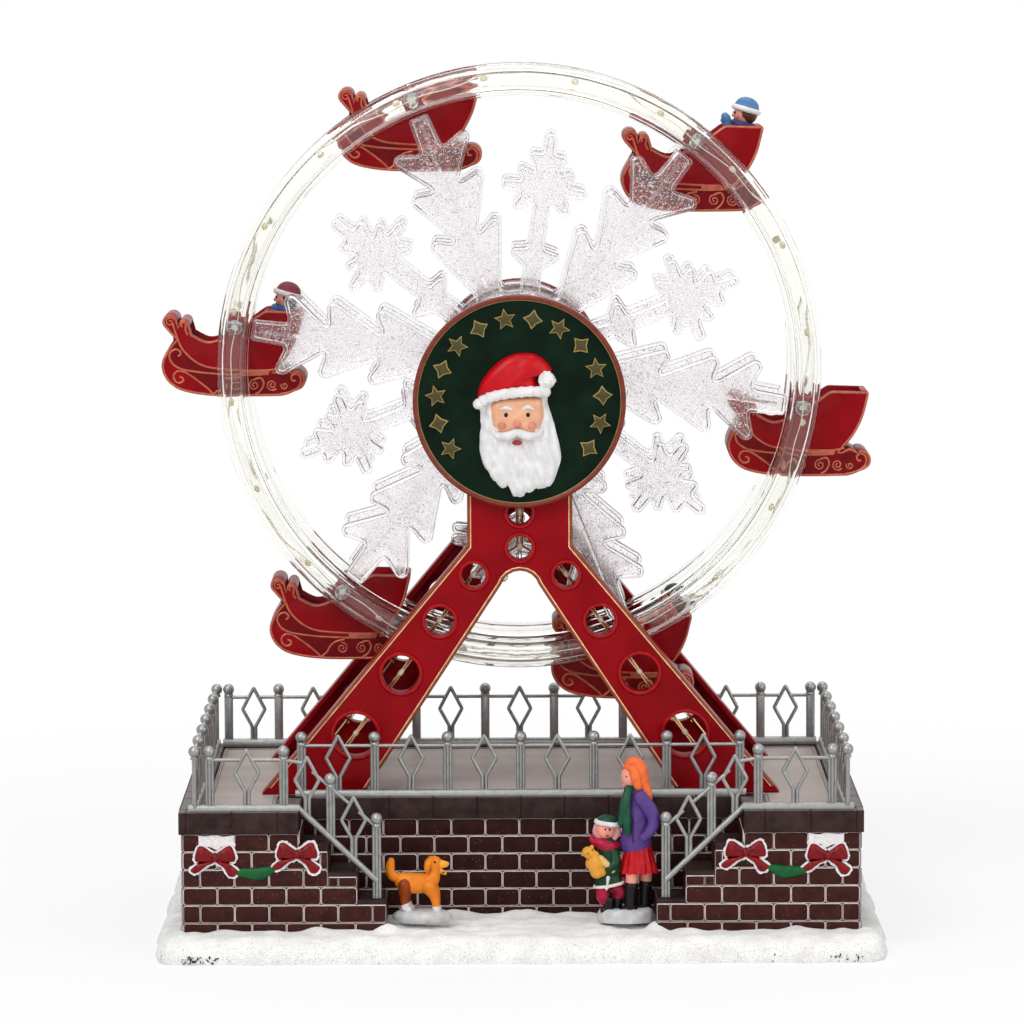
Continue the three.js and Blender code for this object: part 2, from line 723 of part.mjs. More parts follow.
// Landing fence that turns down beside the steps
function stairFence() {
  const [stepX, lastX] = STAIR_POST_X;
  const post1 = SIDE_FENCE_X - FOOT_RAIL_WIDTH - 2 * POST_R;
  const post2 = post1 - FENCE_PITCH;
  const half = FOOT_RAIL_SIZE / 2;
  const reach = RAIL_MEET - DIAMOND_BAR / 2;
  const fall = (x) => Math.max(LANDING_INNER_X - x, 0) / (LANDING_INNER_X - lastX);
  const footZ = (x) => FENCE_FOOT + half - STAIR_FOOT_FALL * fall(x);
  const topZ = (x) => FENCE_FOOT + FENCE_HEIGHT + BALL_R - STAIR_TOP_FALL * fall(x);
  const railZ = (x) => topZ(x) - BALL_R - TOP_RAIL_DROP;
  const at = (x, z) => new THREE.Vector3(x, 0, z(x));
  const parts = [footRail(LANDING_INNER_X, post1 + POST_R, FENCE_FOOT)];
  parts.push(rodBetween(at(LANDING_INNER_X, footZ), at(lastX, footZ), half, 6));
  parts.push(fencePost(post1, footZ(post1), topZ(post1)));
  parts.push(fencePost(post2, footZ(post2), topZ(post2)));
  parts.push(fencePost(stepX, footZ(stepX), topZ(stepX)));
  parts.push(fencePost(lastX, kerbTop(STEP_COUNT) + FIT, topZ(lastX)));
  const posts = [post1, post2, stepX, lastX];
  posts.slice(1).forEach((x, i) => {
    const middle = (x + posts[i]) / 2;
    parts.push(fenceDiamond(middle, footZ(middle), topZ(middle) - BALL_R / 2));
    parts.push(rodBetween(at(posts[i], railZ), at(middle + reach, railZ), RAIL_SIZE / 2, 4));
    parts.push(rodBetween(at(middle - reach, railZ), at(x, railZ), RAIL_SIZE / 2, 4));
  });
  return joined(parts).translate(0, LANDING_FENCE_Y, 0);
}
node("right_stair_fence", stairFence(), fencePaint);
node("left_stair_fence", stairFence(), fencePaint).scale.x = -1;

// Snowflake arms, with places as shares of the arm's length and half width
const BIG_ARM_SHARES = [
  [0, 0.34],
  [0.305, 0.34],
  [0.524, 0.778, 0.157],
  [0.516, 0.307],
  [0.708, 0.791, 0.157],
  [0.72, 0.307],
  [0.868, 0.843, 0.157],
  [0.867, 0.3],
  [1, 0.255],
];
const SMALL_ARM_SHARES = [
  [0, 0.24],
  [0.403, 0.2],
  [0.462, 0.44, 0.119],
  [0.492, 0.19],
  [0.669, 0.19],
  [0.653, 0.548, 0.119],
  [0.702, 0.524],
  [0.729, 0.85, 0.137],
  [0.756, 0.536],
  [0.792, 0.548, 0.113],
  [0.793, 0.256],
  [0.857, 0.321, 0.113],
  [0.876, 0.143],
  [0.936, 0, 0.137],
];

function armPoints(shares, length, half, lobePoints) {
  const entries = shares.map(([u, v, r]) => [u * length, -v * half, r ? r * half : 0]);
  const back = entries.slice().reverse().filter(([, v]) => v !== 0);
  const whole = entries.concat(back.map(([u, v, r]) => [u, -v, r]));
  return outlineWithLobes(whole, lobePoints);
}

function snowflake() {
  const parts = [rodY(FLAKE_HUB_R, 0, FLAKE_THICKNESS, 2 * SMALL_FACETS)];
  const big = new THREE.Shape(armPoints(BIG_ARM_SHARES, BIG_ARM_LENGTH, BIG_ARM_HALF, 2));
  const small = new THREE.Shape(armPoints(SMALL_ARM_SHARES, SMALL_ARM_LENGTH, SMALL_ARM_HALF, 1));
  for (let i = 0; i < SLEIGH_COUNT; i += 1) {
    const angle = FIRST_ARM_ANGLE + (i * 2 * Math.PI) / SLEIGH_COUNT;
    const between = angle + Math.PI / SLEIGH_COUNT;
    parts.push(upright(big, 0, FLAKE_THICKNESS).rotateY(-angle));
    parts.push(upright(small, 0, FLAKE_THICKNESS).rotateY(-between));
  }
  const bore = rodY(AXLE_R + FIT, -OVERRUN, FLAKE_THICKNESS + OVERRUN, WHEEL_FACETS);
  return cut(joined(parts), [bore]);
}

// Ring: a channel open towards the middle of the wheel, with a boss for each sleigh pin
function wheelRing(side) {
  const back = 0;
  const floor = RING_WALL;
  const profile = [
    [RING_OUTER_R, back],
    [RING_OUTER_R, RING_DEPTH],
    [RING_OUTER_R - RING_WALL, RING_DEPTH],
    [RING_OUTER_R - RING_WALL, floor],
    [RING_INNER_R + RING_WALL, floor],
    [RING_INNER_R + RING_WALL, RING_DEPTH],
    [RING_INNER_R, RING_DEPTH],
    [RING_INNER_R, back],
    [RING_OUTER_R, back],
  ];
  const parts = [turnedAboutY(profile, RING_FACETS)];
  const bores = [];
  for (let i = 0; i < SLEIGH_COUNT; i += 1) {
    const angle = FIRST_ARM_ANGLE + (i * 2 * Math.PI) / SLEIGH_COUNT;
    const x = side * RING_MID_R * Math.cos(angle);
    const z = RING_MID_R * Math.sin(angle);
    parts.push(rodY(PIN_BOSS_R, floor / 2, RING_DEPTH, 6, x, z));
    const boreFloor = RING_DEPTH - (PIN_LENGTH - RING_SPACING + RING_DEPTH) / 2 - FIT;
    bores.push(rodY(PIN_R + BORE_FIT, boreFloor, RING_DEPTH + OVERRUN, 6, x, z));
  }
  return cut(joined(parts), bores);
}

// Light string of a ring: a wire lying against the outer wall of the channel
function ringLights() {
  const outer = RING_OUTER_R - RING_WALL - BORE_FIT;
  const inner = outer - RING_WIRE;
  const back = RING_DEPTH / 2;
  return turnedAboutY(
    [
      [inner, back],
      [outer, back - RING_WIRE / 2],
      [outer, back + RING_WIRE / 2],
      [inner, back],
    ],
    RING_FACETS,
  );
}

const wheel = new THREE.Group();
wheel.position.set(0, WHEEL_PLANE_Y, AXLE_HEIGHT);
ROOT.add(wheel);

const frontRing = node("front_ring", wheelRing(1), clearPlastic, wheel);
frontRing.position.y = -RING_MID_Y - RING_DEPTH / 2;
const rearRing = node("rear_ring", wheelRing(-1), clearPlastic, wheel);
rearRing.position.y = RING_MID_Y + RING_DEPTH / 2;
rearRing.rotation.z = Math.PI;

const frontFlake = node("front_snowflake", snowflake(), glitterPlastic, wheel);
frontFlake.position.y = -RING_MID_Y - FLAKE_THICKNESS / 2;
const rearFlake = node("rear_snowflake", snowflake(), glitterPlastic, wheel);
rearFlake.position.y = RING_MID_Y - FLAKE_THICKNESS / 2;

const frontRingLights = node("front_ring_lights", ringLights(), wirePaint, wheel);
frontRingLights.position.y = -RING_MID_Y - RING_DEPTH / 2;
const rearRingLights = node("rear_ring_lights", ringLights(), wirePaint, wheel);
rearRingLights.position.y = RING_MID_Y + RING_DEPTH / 2;
rearRingLights.rotation.z = Math.PI;

// Hub, axle and axle gear
const hubHalf = RING_MID_Y - FLAKE_THICKNESS / 2 - FIT;
const hubBore = rodY(AXLE_R + FIT, -hubHalf - OVERRUN, hubHalf + OVERRUN, WHEEL_FACETS);
const hub = cut(rodY(HUB_R, -hubHalf, hubHalf, 2 * SMALL_FACETS), [hubBore]);
node("wheel_hub", hub, clearPlastic, wheel);

const axleFront = -(FRAME_FAR_FACE - FRAME_WALL - FIT);
node("wheel_axle", rodY(AXLE_R, axleFront, AXLE_REAR_END, WHEEL_FACETS), steel, wheel);

// Gear outline: straight-sided teeth, a little narrower than the gaps they run in
function gearShape(teeth, phase) {
  const pitchR = (GEAR_MODULE * teeth) / 2;
  const tipR = pitchR + GEAR_MODULE * 0.85;
  const rootR = pitchR - GEAR_MODULE * 1.15;
  const step = (2 * Math.PI) / teeth;
  const points = [];
  for (let i = 0; i < teeth; i += 1) {
    const middle = phase + i * step;
    for (const [share, r] of [[-0.32, rootR], [-0.11, tipR], [0.11, tipR], [0.32, rootR]]) {
      const angle = middle + share * step;
      points.push(new THREE.Vector2(r * Math.cos(angle), r * Math.sin(angle)));
    }
  }
  return new THREE.Shape(points);
}

const gearPhase = -Math.PI / 2;
const gearBody = joined([
  upright(gearShape(GEAR_TEETH, gearPhase), GEAR_FACE_Y, GEAR_WIDTH),
  rodY(AXLE_R * 2, GEAR_FACE_Y, GEAR_FACE_Y + GEAR_WIDTH + AXLE_R, SMALL_FACETS),
]);
const gearBoreEnd = GEAR_FACE_Y + GEAR_WIDTH + AXLE_R + OVERRUN;
const gearBore = rodY(AXLE_R + BORE_FIT, GEAR_FACE_Y - OVERRUN, gearBoreEnd, SMALL_FACETS);
node("axle_gear", cut(gearBody, [gearBore]), nylon, wheel);

// Pivot pins and sleighs, with outline places as shares of the sleigh's length and height
const SLEIGH_FRONT_SHARES = [
  [-0.355, 0.0],
  [-0.42, -0.16],
  [-0.475, -0.28],
  [-0.515, -0.42],
  [-0.51, -0.55],
  [-0.46, -0.68],
  [-0.36, -0.77],
  [-0.14, -0.827],
  [0.39, -0.827],
];
const TAIL_SCROLL_SHARES = [0.412, -0.64];
const SLEIGH_BACK_SHARES = [
  [0.39, -0.54],
  [0.33, -0.495],
  [0.272, -0.535],
  [0.36, -0.36],
  [0.425, -0.15],
  [0.46, 0.06],
  [0.469, 0.14],
  [0.455, 0.165],
  [0.22, 0.175],
  [0.18, 0.155],
  [0.07, 0.02],
  [0.0, -0.05],
  [-0.105, -0.142],
  [-0.2, -0.18],
  [-0.3, -0.1],
];
const SIDE_SCROLL_SHARES = [-0.36, 0.018];
const PROW_SCROLL_SHARES = [-0.455, 0.045];

function sleighPoint([u, w]) {
  return [u * SLEIGH_LENGTH, w * SLEIGH_HEIGHT];
}

function sleighOutline() {
  const entries = [
    ...SLEIGH_FRONT_SHARES.slice(1).map(sleighPoint),
    [...sleighPoint(TAIL_SCROLL_SHARES), TAIL_SCROLL_R],
    ...SLEIGH_BACK_SHARES.map(sleighPoint),
    [...sleighPoint(SIDE_SCROLL_SHARES), SIDE_SCROLL_R],
    sleighPoint(SLEIGH_FRONT_SHARES[0]),
    [...sleighPoint(PROW_SCROLL_SHARES), PROW_SCROLL_R],
  ];
  return outlineWithLobes(entries, 3);
}

const TUB_SHARES = [
  [-0.335, 0.5],
  [-0.335, -0.12],
  [-0.42, -0.32],
  [-0.44, -0.5],
  [0.1, -0.5],
  [0.1, -0.28],
  [0.33, -0.28],
  [0.385, -0.12],
  [0.425, 0.1],
  [0.425, 0.5],
];

function sleigh() {
  const half = SLEIGH_WIDTH / 2;
  const body = upright(new THREE.Shape(sleighOutline()), -half, SLEIGH_WIDTH);
  const lugs = rodY(LUG_R, -half, half, 6);
  const tubPoints = TUB_SHARES.map((share) => new THREE.Vector2(...sleighPoint(share)));
  const inner = half - SLEIGH_WALL;
  const tub = upright(new THREE.Shape(tubPoints), -inner, 2 * inner);
  const bore = rodY(PIN_R + BORE_FIT, -half - OVERRUN, half + OVERRUN, 6);
  return cut(joined([body, lugs]), [tub, bore]);
}

// Rider: a seated figure seen from the chest up, facing the prow
function rider() {
  const seat = -0.28 * SLEIGH_HEIGHT + FIT;
  const x = 0.265 * SLEIGH_LENGTH;
  const headX = RIDER_HEAD_R * 0.95;
  const headZ = seat + RIDER_HEIGHT - RIDER_HEAD_R * 1.1;
  const shoulder = headZ - RIDER_HEAD_R * 0.7;
  const coat = turnedAboutZ(
    [
      [0, seat],
      [RIDER_R * 0.5, seat],
      [RIDER_R, (seat + shoulder) / 2],
      [RIDER_R * 0.75, shoulder],
      [0, shoulder + RIDER_HEAD_R * 0.3],
    ],
    6,
  );
  const head = ball(RIDER_HEAD_R, RIDER_HEAD_R * 0.9, RIDER_HEAD_R, headX, 0, headZ, 6);
  const hatR = RIDER_HEAD_R * 0.9;
  const hat = ball(hatR, hatR, hatR, headX * 1.5, 0, headZ + RIDER_HEAD_R * 0.2, 6, 3);
  const handR = RIDER_HEAD_R * 0.42;
  const hands = [-1, 1].map((side) => {
    const y = side * RIDER_R * 0.6;
    return ball(handR * 1.6, handR, handR, -RIDER_R * 0.5, y, shoulder + handR * 0.5, 5, 3);
  });
  return joined([coat, head, hat, ...hands]).translate(x, 0, 0);
}

const RIDERS = { 1: "rider_in_blue_hat", 3: "rider_in_blue_scarf", 5: "rider_in_green_coat" };
for (let i = 0; i < SLEIGH_COUNT; i += 1) {
  const angle = FIRST_ARM_ANGLE + (i * 2 * Math.PI) / SLEIGH_COUNT;
  const seat = new THREE.Group();
  seat.position.set(RING_MID_R * Math.cos(angle), 0, RING_MID_R * Math.sin(angle));
  wheel.add(seat);
  const pin = rodY(PIN_R, -PIN_LENGTH / 2, PIN_LENGTH / 2, 6);
  node("sleigh_pin_" + (i + 1), pin, steel, seat);
  node("sleigh_" + (i + 1), sleigh(), sleighPaint, seat);
  if (RIDERS[i + 1]) node(RIDERS[i + 1], rider(), riderPaint, seat);
}

// Frame outline: two legs, a neck and a round head, drawn in X and Z
function frameOutline() {
  const shape = new THREE.Shape();
  const foot = DECK_TOP + FIT;
  const crotch = DECK_HEIGHT + FRAME_CROTCH;
  const archR = (FRAME_CROTCH_HALF ** 2 + FRAME_ARCH_RISE ** 2) / (2 * FRAME_ARCH_RISE);
  const archZ = crotch + FRAME_ARCH_RISE - archR;
  const archAngle = Math.atan2(crotch - archZ, FRAME_CROTCH_HALF);
  const headAngle = -Math.acos(FRAME_NECK_HALF / FRAME_HEAD_R);
  shape.moveTo(FRAME_FOOT_INNER, foot);
  shape.lineTo(FRAME_FOOT_OUTER, foot);
  shape.lineTo(FRAME_NECK_HALF, DECK_HEIGHT + FRAME_SHOULDER);
  shape.absarc(0, HEAD_HEIGHT, FRAME_HEAD_R, headAngle, Math.PI - headAngle);
  shape.lineTo(-FRAME_NECK_HALF, DECK_HEIGHT + FRAME_SHOULDER);
  shape.lineTo(-FRAME_FOOT_OUTER, foot);
  shape.lineTo(-FRAME_FOOT_INNER, foot);
  shape.absarc(0, archZ, archR, Math.PI - archAngle, archAngle, true);
  return shape.getPoints(WHEEL_FACETS / 2);
}

// Places and radii of the round openings
function frameHoles() {
  const holes = TOP_HOLE_HEIGHTS.map((height) => [0, DECK_HEIGHT + height, TOP_HOLE_R]);
  for (const side of [-1, 1]) {
    LEG_HOLE_SHARES.forEach((share, i) => {
      const x = LEG_TOP_HOLE_X + share * (LEG_FOOT_X - LEG_TOP_HOLE_X);
      const height = LEG_TOP_HOLE_HEIGHT * (1 - share);
      holes.push([side * x, DECK_HEIGHT + height, LEG_HOLE_RADII[i]]);
    });
  }
  return holes;
}

// Frame as a channel: face plate with rimmed openings, side walls, feet and a bearing
function supportFrame(bearingThrough) {
  const outline = frameOutline();
  const plate = new THREE.Shape(outline);
  const wallShape = new THREE.Shape(outline);
  wallShape.holes.push(new THREE.Path(inset(outline, FRAME_WALL)));
  const parts = [
    upright(plate, 0, FRAME_WALL),
    upright(wallShape, 0, FRAME_DEPTH),
    rodY(BEARING_R, FRAME_WALL / 2, FRAME_DEPTH, WHEEL_FACETS, 0, AXLE_HEIGHT),
  ];
  const holes = [];
  for (const [x, z, r] of frameHoles()) {
    holes.push(rodY(r, -OVERRUN, FRAME_WALL + OVERRUN, HOLE_FACETS, x, z));
  }
  for (const side of [-1, 1]) {
    const x = side * LEG_FOOT_X;
    const half = TENON_LENGTH / 2;
    const y0 = (FRAME_DEPTH - TENON_WIDTH) / 2;
    const top = DECK_TOP + FIT + FRAME_WALL;
    parts.push(box(x - half, x + half, y0, y0 + TENON_WIDTH, DECK_BOTTOM + FIT, top));
    parts.push(box(x - half, x + half, FRAME_WALL / 2, y0 + TENON_WIDTH, DECK_TOP + FIT, top));
  }
  const boreStart = bearingThrough ? -OVERRUN : FRAME_WALL;
  const boreR = AXLE_R + BORE_FIT;
  const bore = rodY(boreR, boreStart, FRAME_DEPTH + OVERRUN, WHEEL_FACETS, 0, AXLE_HEIGHT);
  return cut(joined(parts), [...holes, bore]);
}

const frontFrame = node("front_frame", supportFrame(false), redPlastic);
frontFrame.position.y = WHEEL_PLANE_Y - FRAME_FAR_FACE;
const rearFrame = node("rear_frame", supportFrame(true), redPlastic);
rearFrame.position.y = WHEEL_PLANE_Y + FRAME_FAR_FACE;
rearFrame.rotation.z = Math.PI;

// Light string behind the openings of a frame: a flat lead with a bulb at each opening
function frameLights() {
  const lead = FRAME_LEAD / 2;
  const holes = frameHoles();
  const [lower, upper] = holes.slice(0, 2);
  const left = holes.slice(2, 2 + LEG_HOLE_SHARES.length).reverse();
  const right = holes.slice(2 + LEG_HOLE_SHARES.length);
  const route = [...left, lower, ...right].map(([x, z]) => new THREE.Vector2(x, z));
  const above = route.map((p) => new THREE.Vector2(p.x, p.y + lead));
  const below = route.map((p) => new THREE.Vector2(p.x, p.y - lead)).reverse();
  const y = FRAME_DEPTH / 2;
  const strip = upright(new THREE.Shape([...above, ...below].reverse()), y, FRAME_LEAD);
  const branch = box(-lead, lead, y, y + FRAME_LEAD, lower[1], upper[1]);
  const bulbs = holes.map(([x, z]) => {
    return new THREE.OctahedronGeometry(BULB_R).scale(1, 1.6, 1).translate(x, y, z);
  });
  return joined([strip, branch, ...bulbs]);
}
const frontLights = node("front_frame_lights", frameLights(), wirePaint);
frontLights.position.y = frontFrame.position.y;
const rearLights = node("rear_frame_lights", frameLights(), wirePaint);
rearLights.position.y = rearFrame.position.y;
rearLights.rotation.z = Math.PI;

// Plaque: a dished disc with a raised rim and a santa head in relief
function santaPlaque() {
  const face = PLAQUE_THICKNESS - PLAQUE_RIM_RISE;
  const disc = turnedAboutY(
    [
      [0, 0],
      [PLAQUE_R, 0],
      [PLAQUE_R, -PLAQUE_THICKNESS],
      [PLAQUE_R - PLAQUE_RIM, -PLAQUE_THICKNESS],
      [PLAQUE_R - PLAQUE_RIM, -face],
      [0, -face],
    ],
    RING_FACETS,
  );
  const w = SANTA_WIDTH;
  const h = SANTA_HEIGHT;
  const d = SANTA_RELIEF;
  const middle = -SANTA_DROP;
  const beard = ball(w * 0.47, d * 0.85, h * 0.36, 0, -face, middle - h * 0.13, 8, 4);
  const cheeks = ball(w * 0.4, d, h * 0.2, 0, -face, middle + h * 0.1, 8, 4);
  const cap = ball(w * 0.44, d * 0.9, h * 0.22, -w * 0.03, -face, middle + h * 0.31, 8, 4);
  const pompom = ball(w * 0.1, d * 0.7, w * 0.1, w * 0.33, -face, middle + h * 0.31, 6, 4);
  const band = ball(w * 0.45, d * 1.05, h * 0.07, 0, -face, middle + h * 0.17, 8, 4);
  const behind = box(-PLAQUE_R, PLAQUE_R, 0, SANTA_RELIEF, -PLAQUE_R, PLAQUE_R);
  return cut(joined([disc, beard, cheeks, cap, pompom, band]), [behind]);
}
const plaque = node("santa_plaque", santaPlaque(), plaquePaint);
plaque.position.set(0, WHEEL_PLANE_Y - FRAME_FAR_FACE - FIT, HEAD_HEIGHT);

// Motor housing, motor and pinion behind the rear frame
const housingFront = FRAME_FAR_FACE + FIT;
const housingBack = housingFront + HOUSING_DEPTH;
function motorHousing() {
  const inner = HOUSING_R - HOUSING_WALL;
  const floor = housingBack - HOUSING_WALL;
  const shell = turnedAboutY(
    [
      [HOUSING_R, housingFront],
      [HOUSING_R, housingBack - HOUSING_WALL],
      [HOUSING_R - HOUSING_WALL, housingBack],
      [0, housingBack],
      [0, floor],
      [inner, floor],
      [inner, housingFront],
      [HOUSING_R, housingFront],
    ],
    2 * SMALL_FACETS,
  ).translate(0, 0, HEAD_HEIGHT);
  const bossFront = AXLE_REAR_END - HOUSING_WALL * 2;
  const boss = rodY(BEARING_R, bossFront, housingBack - HOUSING_WALL / 2, 12, 0, AXLE_HEIGHT);
  const boreEnd = AXLE_REAR_END + FIT;
  const bore = rodY(AXLE_R + BORE_FIT, bossFront - OVERRUN, boreEnd, 12, 0, AXLE_HEIGHT);
  return cut(joined([shell, boss]), [bore]);
}
const housing = node("motor_housing", motorHousing(), redPlastic);
housing.position.y = WHEEL_PLANE_Y;

const motorBack = housingBack - HOUSING_WALL - FIT;
const motorFront = motorBack - MOTOR_LENGTH;
const motorBoss = MOTOR_SHAFT_R * 2;
const motorCan = cut(
  joined([
    rodY(MOTOR_R, motorFront, motorBack, 2 * SMALL_FACETS),
    rodY(motorBoss, motorFront - FIT, motorFront + OVERRUN, WHEEL_FACETS),
  ]),
  [rodY(MOTOR_SHAFT_R + FIT, motorFront - OVERRUN, motorFront + MOTOR_SHAFT_R * 2, WHEEL_FACETS)],
);
const motor = node("gear_motor", motorCan, steel);
motor.position.set(0, WHEEL_PLANE_Y, PINION_HEIGHT);

const pinionPhase = Math.PI / 2 + Math.PI / PINION_TEETH;
const pinionGeometry = joined([
  upright(gearShape(PINION_TEETH, pinionPhase), GEAR_FACE_Y, GEAR_WIDTH),
  rodY(MOTOR_SHAFT_R, GEAR_FACE_Y, motorFront + MOTOR_SHAFT_R * 2 - FIT, WHEEL_FACETS),
]);
const pinion = node("motor_pinion", pinionGeometry, nylon);
pinion.position.set(0, WHEEL_PLANE_Y, PINION_HEIGHT);

// Underside cover with the speaker grille and battery opening
const boxInnerX = (CELL_PITCH * CELL_COUNT + FIT) / 2;
const boxInnerY = CELL_LENGTH / 2 + CELL_TIP_LENGTH + FIT * 2;
const boxOuterX = boxInnerX + BOX_WALL;
const boxOuterY = boxInnerY + BOX_WALL;
function bottomCover() {
  const plate = box(-COVER_END_X, COVER_END_X, COVER_FRONT_Y, COVER_BACK_Y, 0, COVER_THICKNESS);
  const opening = box(
    BOX_X - boxInnerX,
    BOX_X + boxInnerX,
    BOX_Y - boxInnerY - DOOR_TAB,
    BOX_Y + boxInnerY,
    -OVERRUN,
    COVER_THICKNESS + OVERRUN,
  );
  const holes = [];
  const holeTop = COVER_THICKNESS + OVERRUN;
  for (let i = 0; i < GRILLE_HOLES; i += 1) {
    const angle = (i * 2 * Math.PI) / GRILLE_HOLES;
    const hx = SPEAKER_X + GRILLE_RING_R * Math.cos(angle);
    const hy = SPEAKER_Y + GRILLE_RING_R * Math.sin(angle);
    holes.push(rodZ(GRILLE_HOLE_R, -OVERRUN, holeTop, SMALL_FACETS, hx, hy));
  }
  holes.push(rodZ(GRILLE_HOLE_R, -OVERRUN, holeTop, SMALL_FACETS, SPEAKER_X, SPEAKER_Y));
  return cut(plate, [opening, ...holes]);
}
node("bottom_cover", bottomCover(), blackPlastic);

// Battery box, open below, and its door with one screw
const boxBottom = COVER_THICKNESS + FIT;
const cellZ = DOOR_THICKNESS + FIT + CELL_R;
const boxTop = cellZ + CELL_R + FIT + BOX_WALL;
const screwY = BOX_Y - boxInnerY - DOOR_TAB / 2;
function batteryBox() {
  const outer = box(
    BOX_X - boxOuterX,
    BOX_X + boxOuterX,
    BOX_Y - boxOuterY - DOOR_TAB,
    BOX_Y + boxOuterY,
    boxBottom,
    boxTop,
  );
  const inner = box(
    BOX_X - boxInnerX,
    BOX_X + boxInnerX,
    BOX_Y - boxInnerY,
    BOX_Y + boxInnerY,
    boxBottom - OVERRUN,
    boxTop - BOX_WALL,
  );
  const screwTop = DOOR_SCREW_LENGTH + FIT;
  const screwStart = boxBottom - OVERRUN;
  const screwHole = rodZ(DOOR_SCREW_R + FIT, screwStart, screwTop, SMALL_FACETS, BOX_X, screwY);
  return cut(outer, [inner, screwHole]);
}
node("battery_box", batteryBox(), blackPlastic);

const doorX = boxInnerX - FIT;
const doorPlate = box(
  BOX_X - doorX,
  BOX_X + doorX,
  BOX_Y - boxInnerY - DOOR_TAB + FIT,
  BOX_Y + boxInnerY - FIT,
  0,
  DOOR_THICKNESS,
);
const headSink = DOOR_THICKNESS / 2;
const doorHoles = [
  rodZ(DOOR_SCREW_R + FIT, -OVERRUN, DOOR_THICKNESS + OVERRUN, SMALL_FACETS, BOX_X, screwY),
  rodZ(DOOR_SCREW_HEAD_R + FIT, -OVERRUN, headSink + FIT, SMALL_FACETS, BOX_X, screwY),
];
node("battery_door", cut(doorPlate, doorHoles), blackPlastic);
const doorScrew = joined([
  rodZ(DOOR_SCREW_HEAD_R, FIT, headSink, SMALL_FACETS),
  rodZ(DOOR_SCREW_R, FIT, DOOR_SCREW_LENGTH, SMALL_FACETS),
]);
node("battery_door_screw", doorScrew, steel).position.set(BOX_X, screwY, 0);

function batteryCell() {
  const half = CELL_LENGTH / 2;
  return turnedAboutY(
    [
      [0, -half],
      [CELL_R, -half],
      [CELL_R, half - CELL_TIP_LENGTH],
      [CELL_TIP_R, half - CELL_TIP_LENGTH],
      [CELL_TIP_R, half],
      [0, half],
    ],
    WHEEL_FACETS,
  );
}
evenPosts(CELL_COUNT, CELL_PITCH).forEach((x, i) => {
  const cell = node("battery_cell_" + (i + 1), batteryCell(), cellPaint);
  cell.position.set(BOX_X + x, BOX_Y, cellZ);
});

// Speaker and music board on the cover
const speakerGeometry = turnedAboutZ(
  [
    [0, 0],
    [SPEAKER_R, 0],
    [SPEAKER_R, SPEAKER_LIP],
    [SPEAKER_R * 0.55, SPEAKER_HEIGHT * 0.5],
    [SPEAKER_R * 0.55, SPEAKER_HEIGHT],
    [0, SPEAKER_HEIGHT],
  ],
  2 * SMALL_FACETS,
);
node("speaker", speakerGeometry, blackPlastic).position.set(SPEAKER_X, SPEAKER_Y, boxBottom);

const boardX = BOARD_WIDTH / 2;
const boardY = BOARD_DEPTH / 2;
const chipHalf = CHIP_SIZE / 2;
const postR = BOARD_THICKNESS;
const boardTop = BOARD_POST + BOARD_THICKNESS;
const boardGeometry = joined([
  box(-boardX, boardX, -boardY, boardY, BOARD_POST, boardTop),
  box(-chipHalf, chipHalf, -chipHalf, chipHalf, BOARD_POST, boardTop + CHIP_HEIGHT),
  ...[-1, 1].flatMap((sx) => [-1, 1].map((sy) => {
    const px = sx * (boardX - postR * 1.5);
    const py = sy * (boardY - postR * 1.5);
    return rodZ(postR, 0, boardTop, SMALL_FACETS, px, py);
  })),
]);
node("music_board", boardGeometry, boardGreen).position.set(BOARD_X, BOARD_Y, boxBottom);

// Power switch behind the back wall, with its slider through the wall
const switchBack = MAIN_BACK_Y - WALL_THICKNESS - FIT;
const slotHalfX = (SLIDER_WIDTH + SWITCH_TRAVEL) / 2 + FIT;
const switchGuide = SLIDER_HEIGHT / 2 + FIT;
const sliderDepth = SWITCH_DEPTH / 2;
const switchGeometry = cut(
  box(
    -SWITCH_WIDTH / 2,
    SWITCH_WIDTH / 2,
    -SWITCH_DEPTH,
    0,
    -SWITCH_HEIGHT / 2,
    SWITCH_HEIGHT / 2,
  ),
  [box(-slotHalfX, slotHalfX, -sliderDepth - FIT, OVERRUN, -switchGuide, switchGuide)],
);
const switchBody = node("power_switch_body", switchGeometry, blackPlastic);
switchBody.position.set(SWITCH_X, switchBack, SWITCH_Z);

const sliderEnd = WALL_THICKNESS + FIT + SLIDER_PROUD;
const sliderGeometry = box(
  -SLIDER_WIDTH / 2,
  SLIDER_WIDTH / 2,
  -sliderDepth,
  sliderEnd,
  -SLIDER_HEIGHT / 2,
  SLIDER_HEIGHT / 2,
);
const slider = node("power_switch_slider", sliderGeometry, blackPlastic);
slider.position.set(SWITCH_X - SWITCH_TRAVEL / 2, switchBack, SWITCH_Z);

// Figures: woman and child share one moulded base, the dog has its own
function figureBase(x) {
  const disc = rodZ(FIGURE_BASE_LENGTH / 2, 0, FIGURE_BASE_HEIGHT, 12);
  return disc.scale(1, FIGURE_BASE_DEPTH / FIGURE_BASE_LENGTH, 1).translate(x, 0, 0);
}

// A standing person: profile places as shares of the height
const PERSON_SHARES = [
  [0.055, 0.0],
  [0.06, 0.18],
  [0.05, 0.3],
  [0.15, 0.32],
  [0.11, 0.5],
  [0.13, 0.56],
  [0.12, 0.74],
  [0.04, 0.8],
];

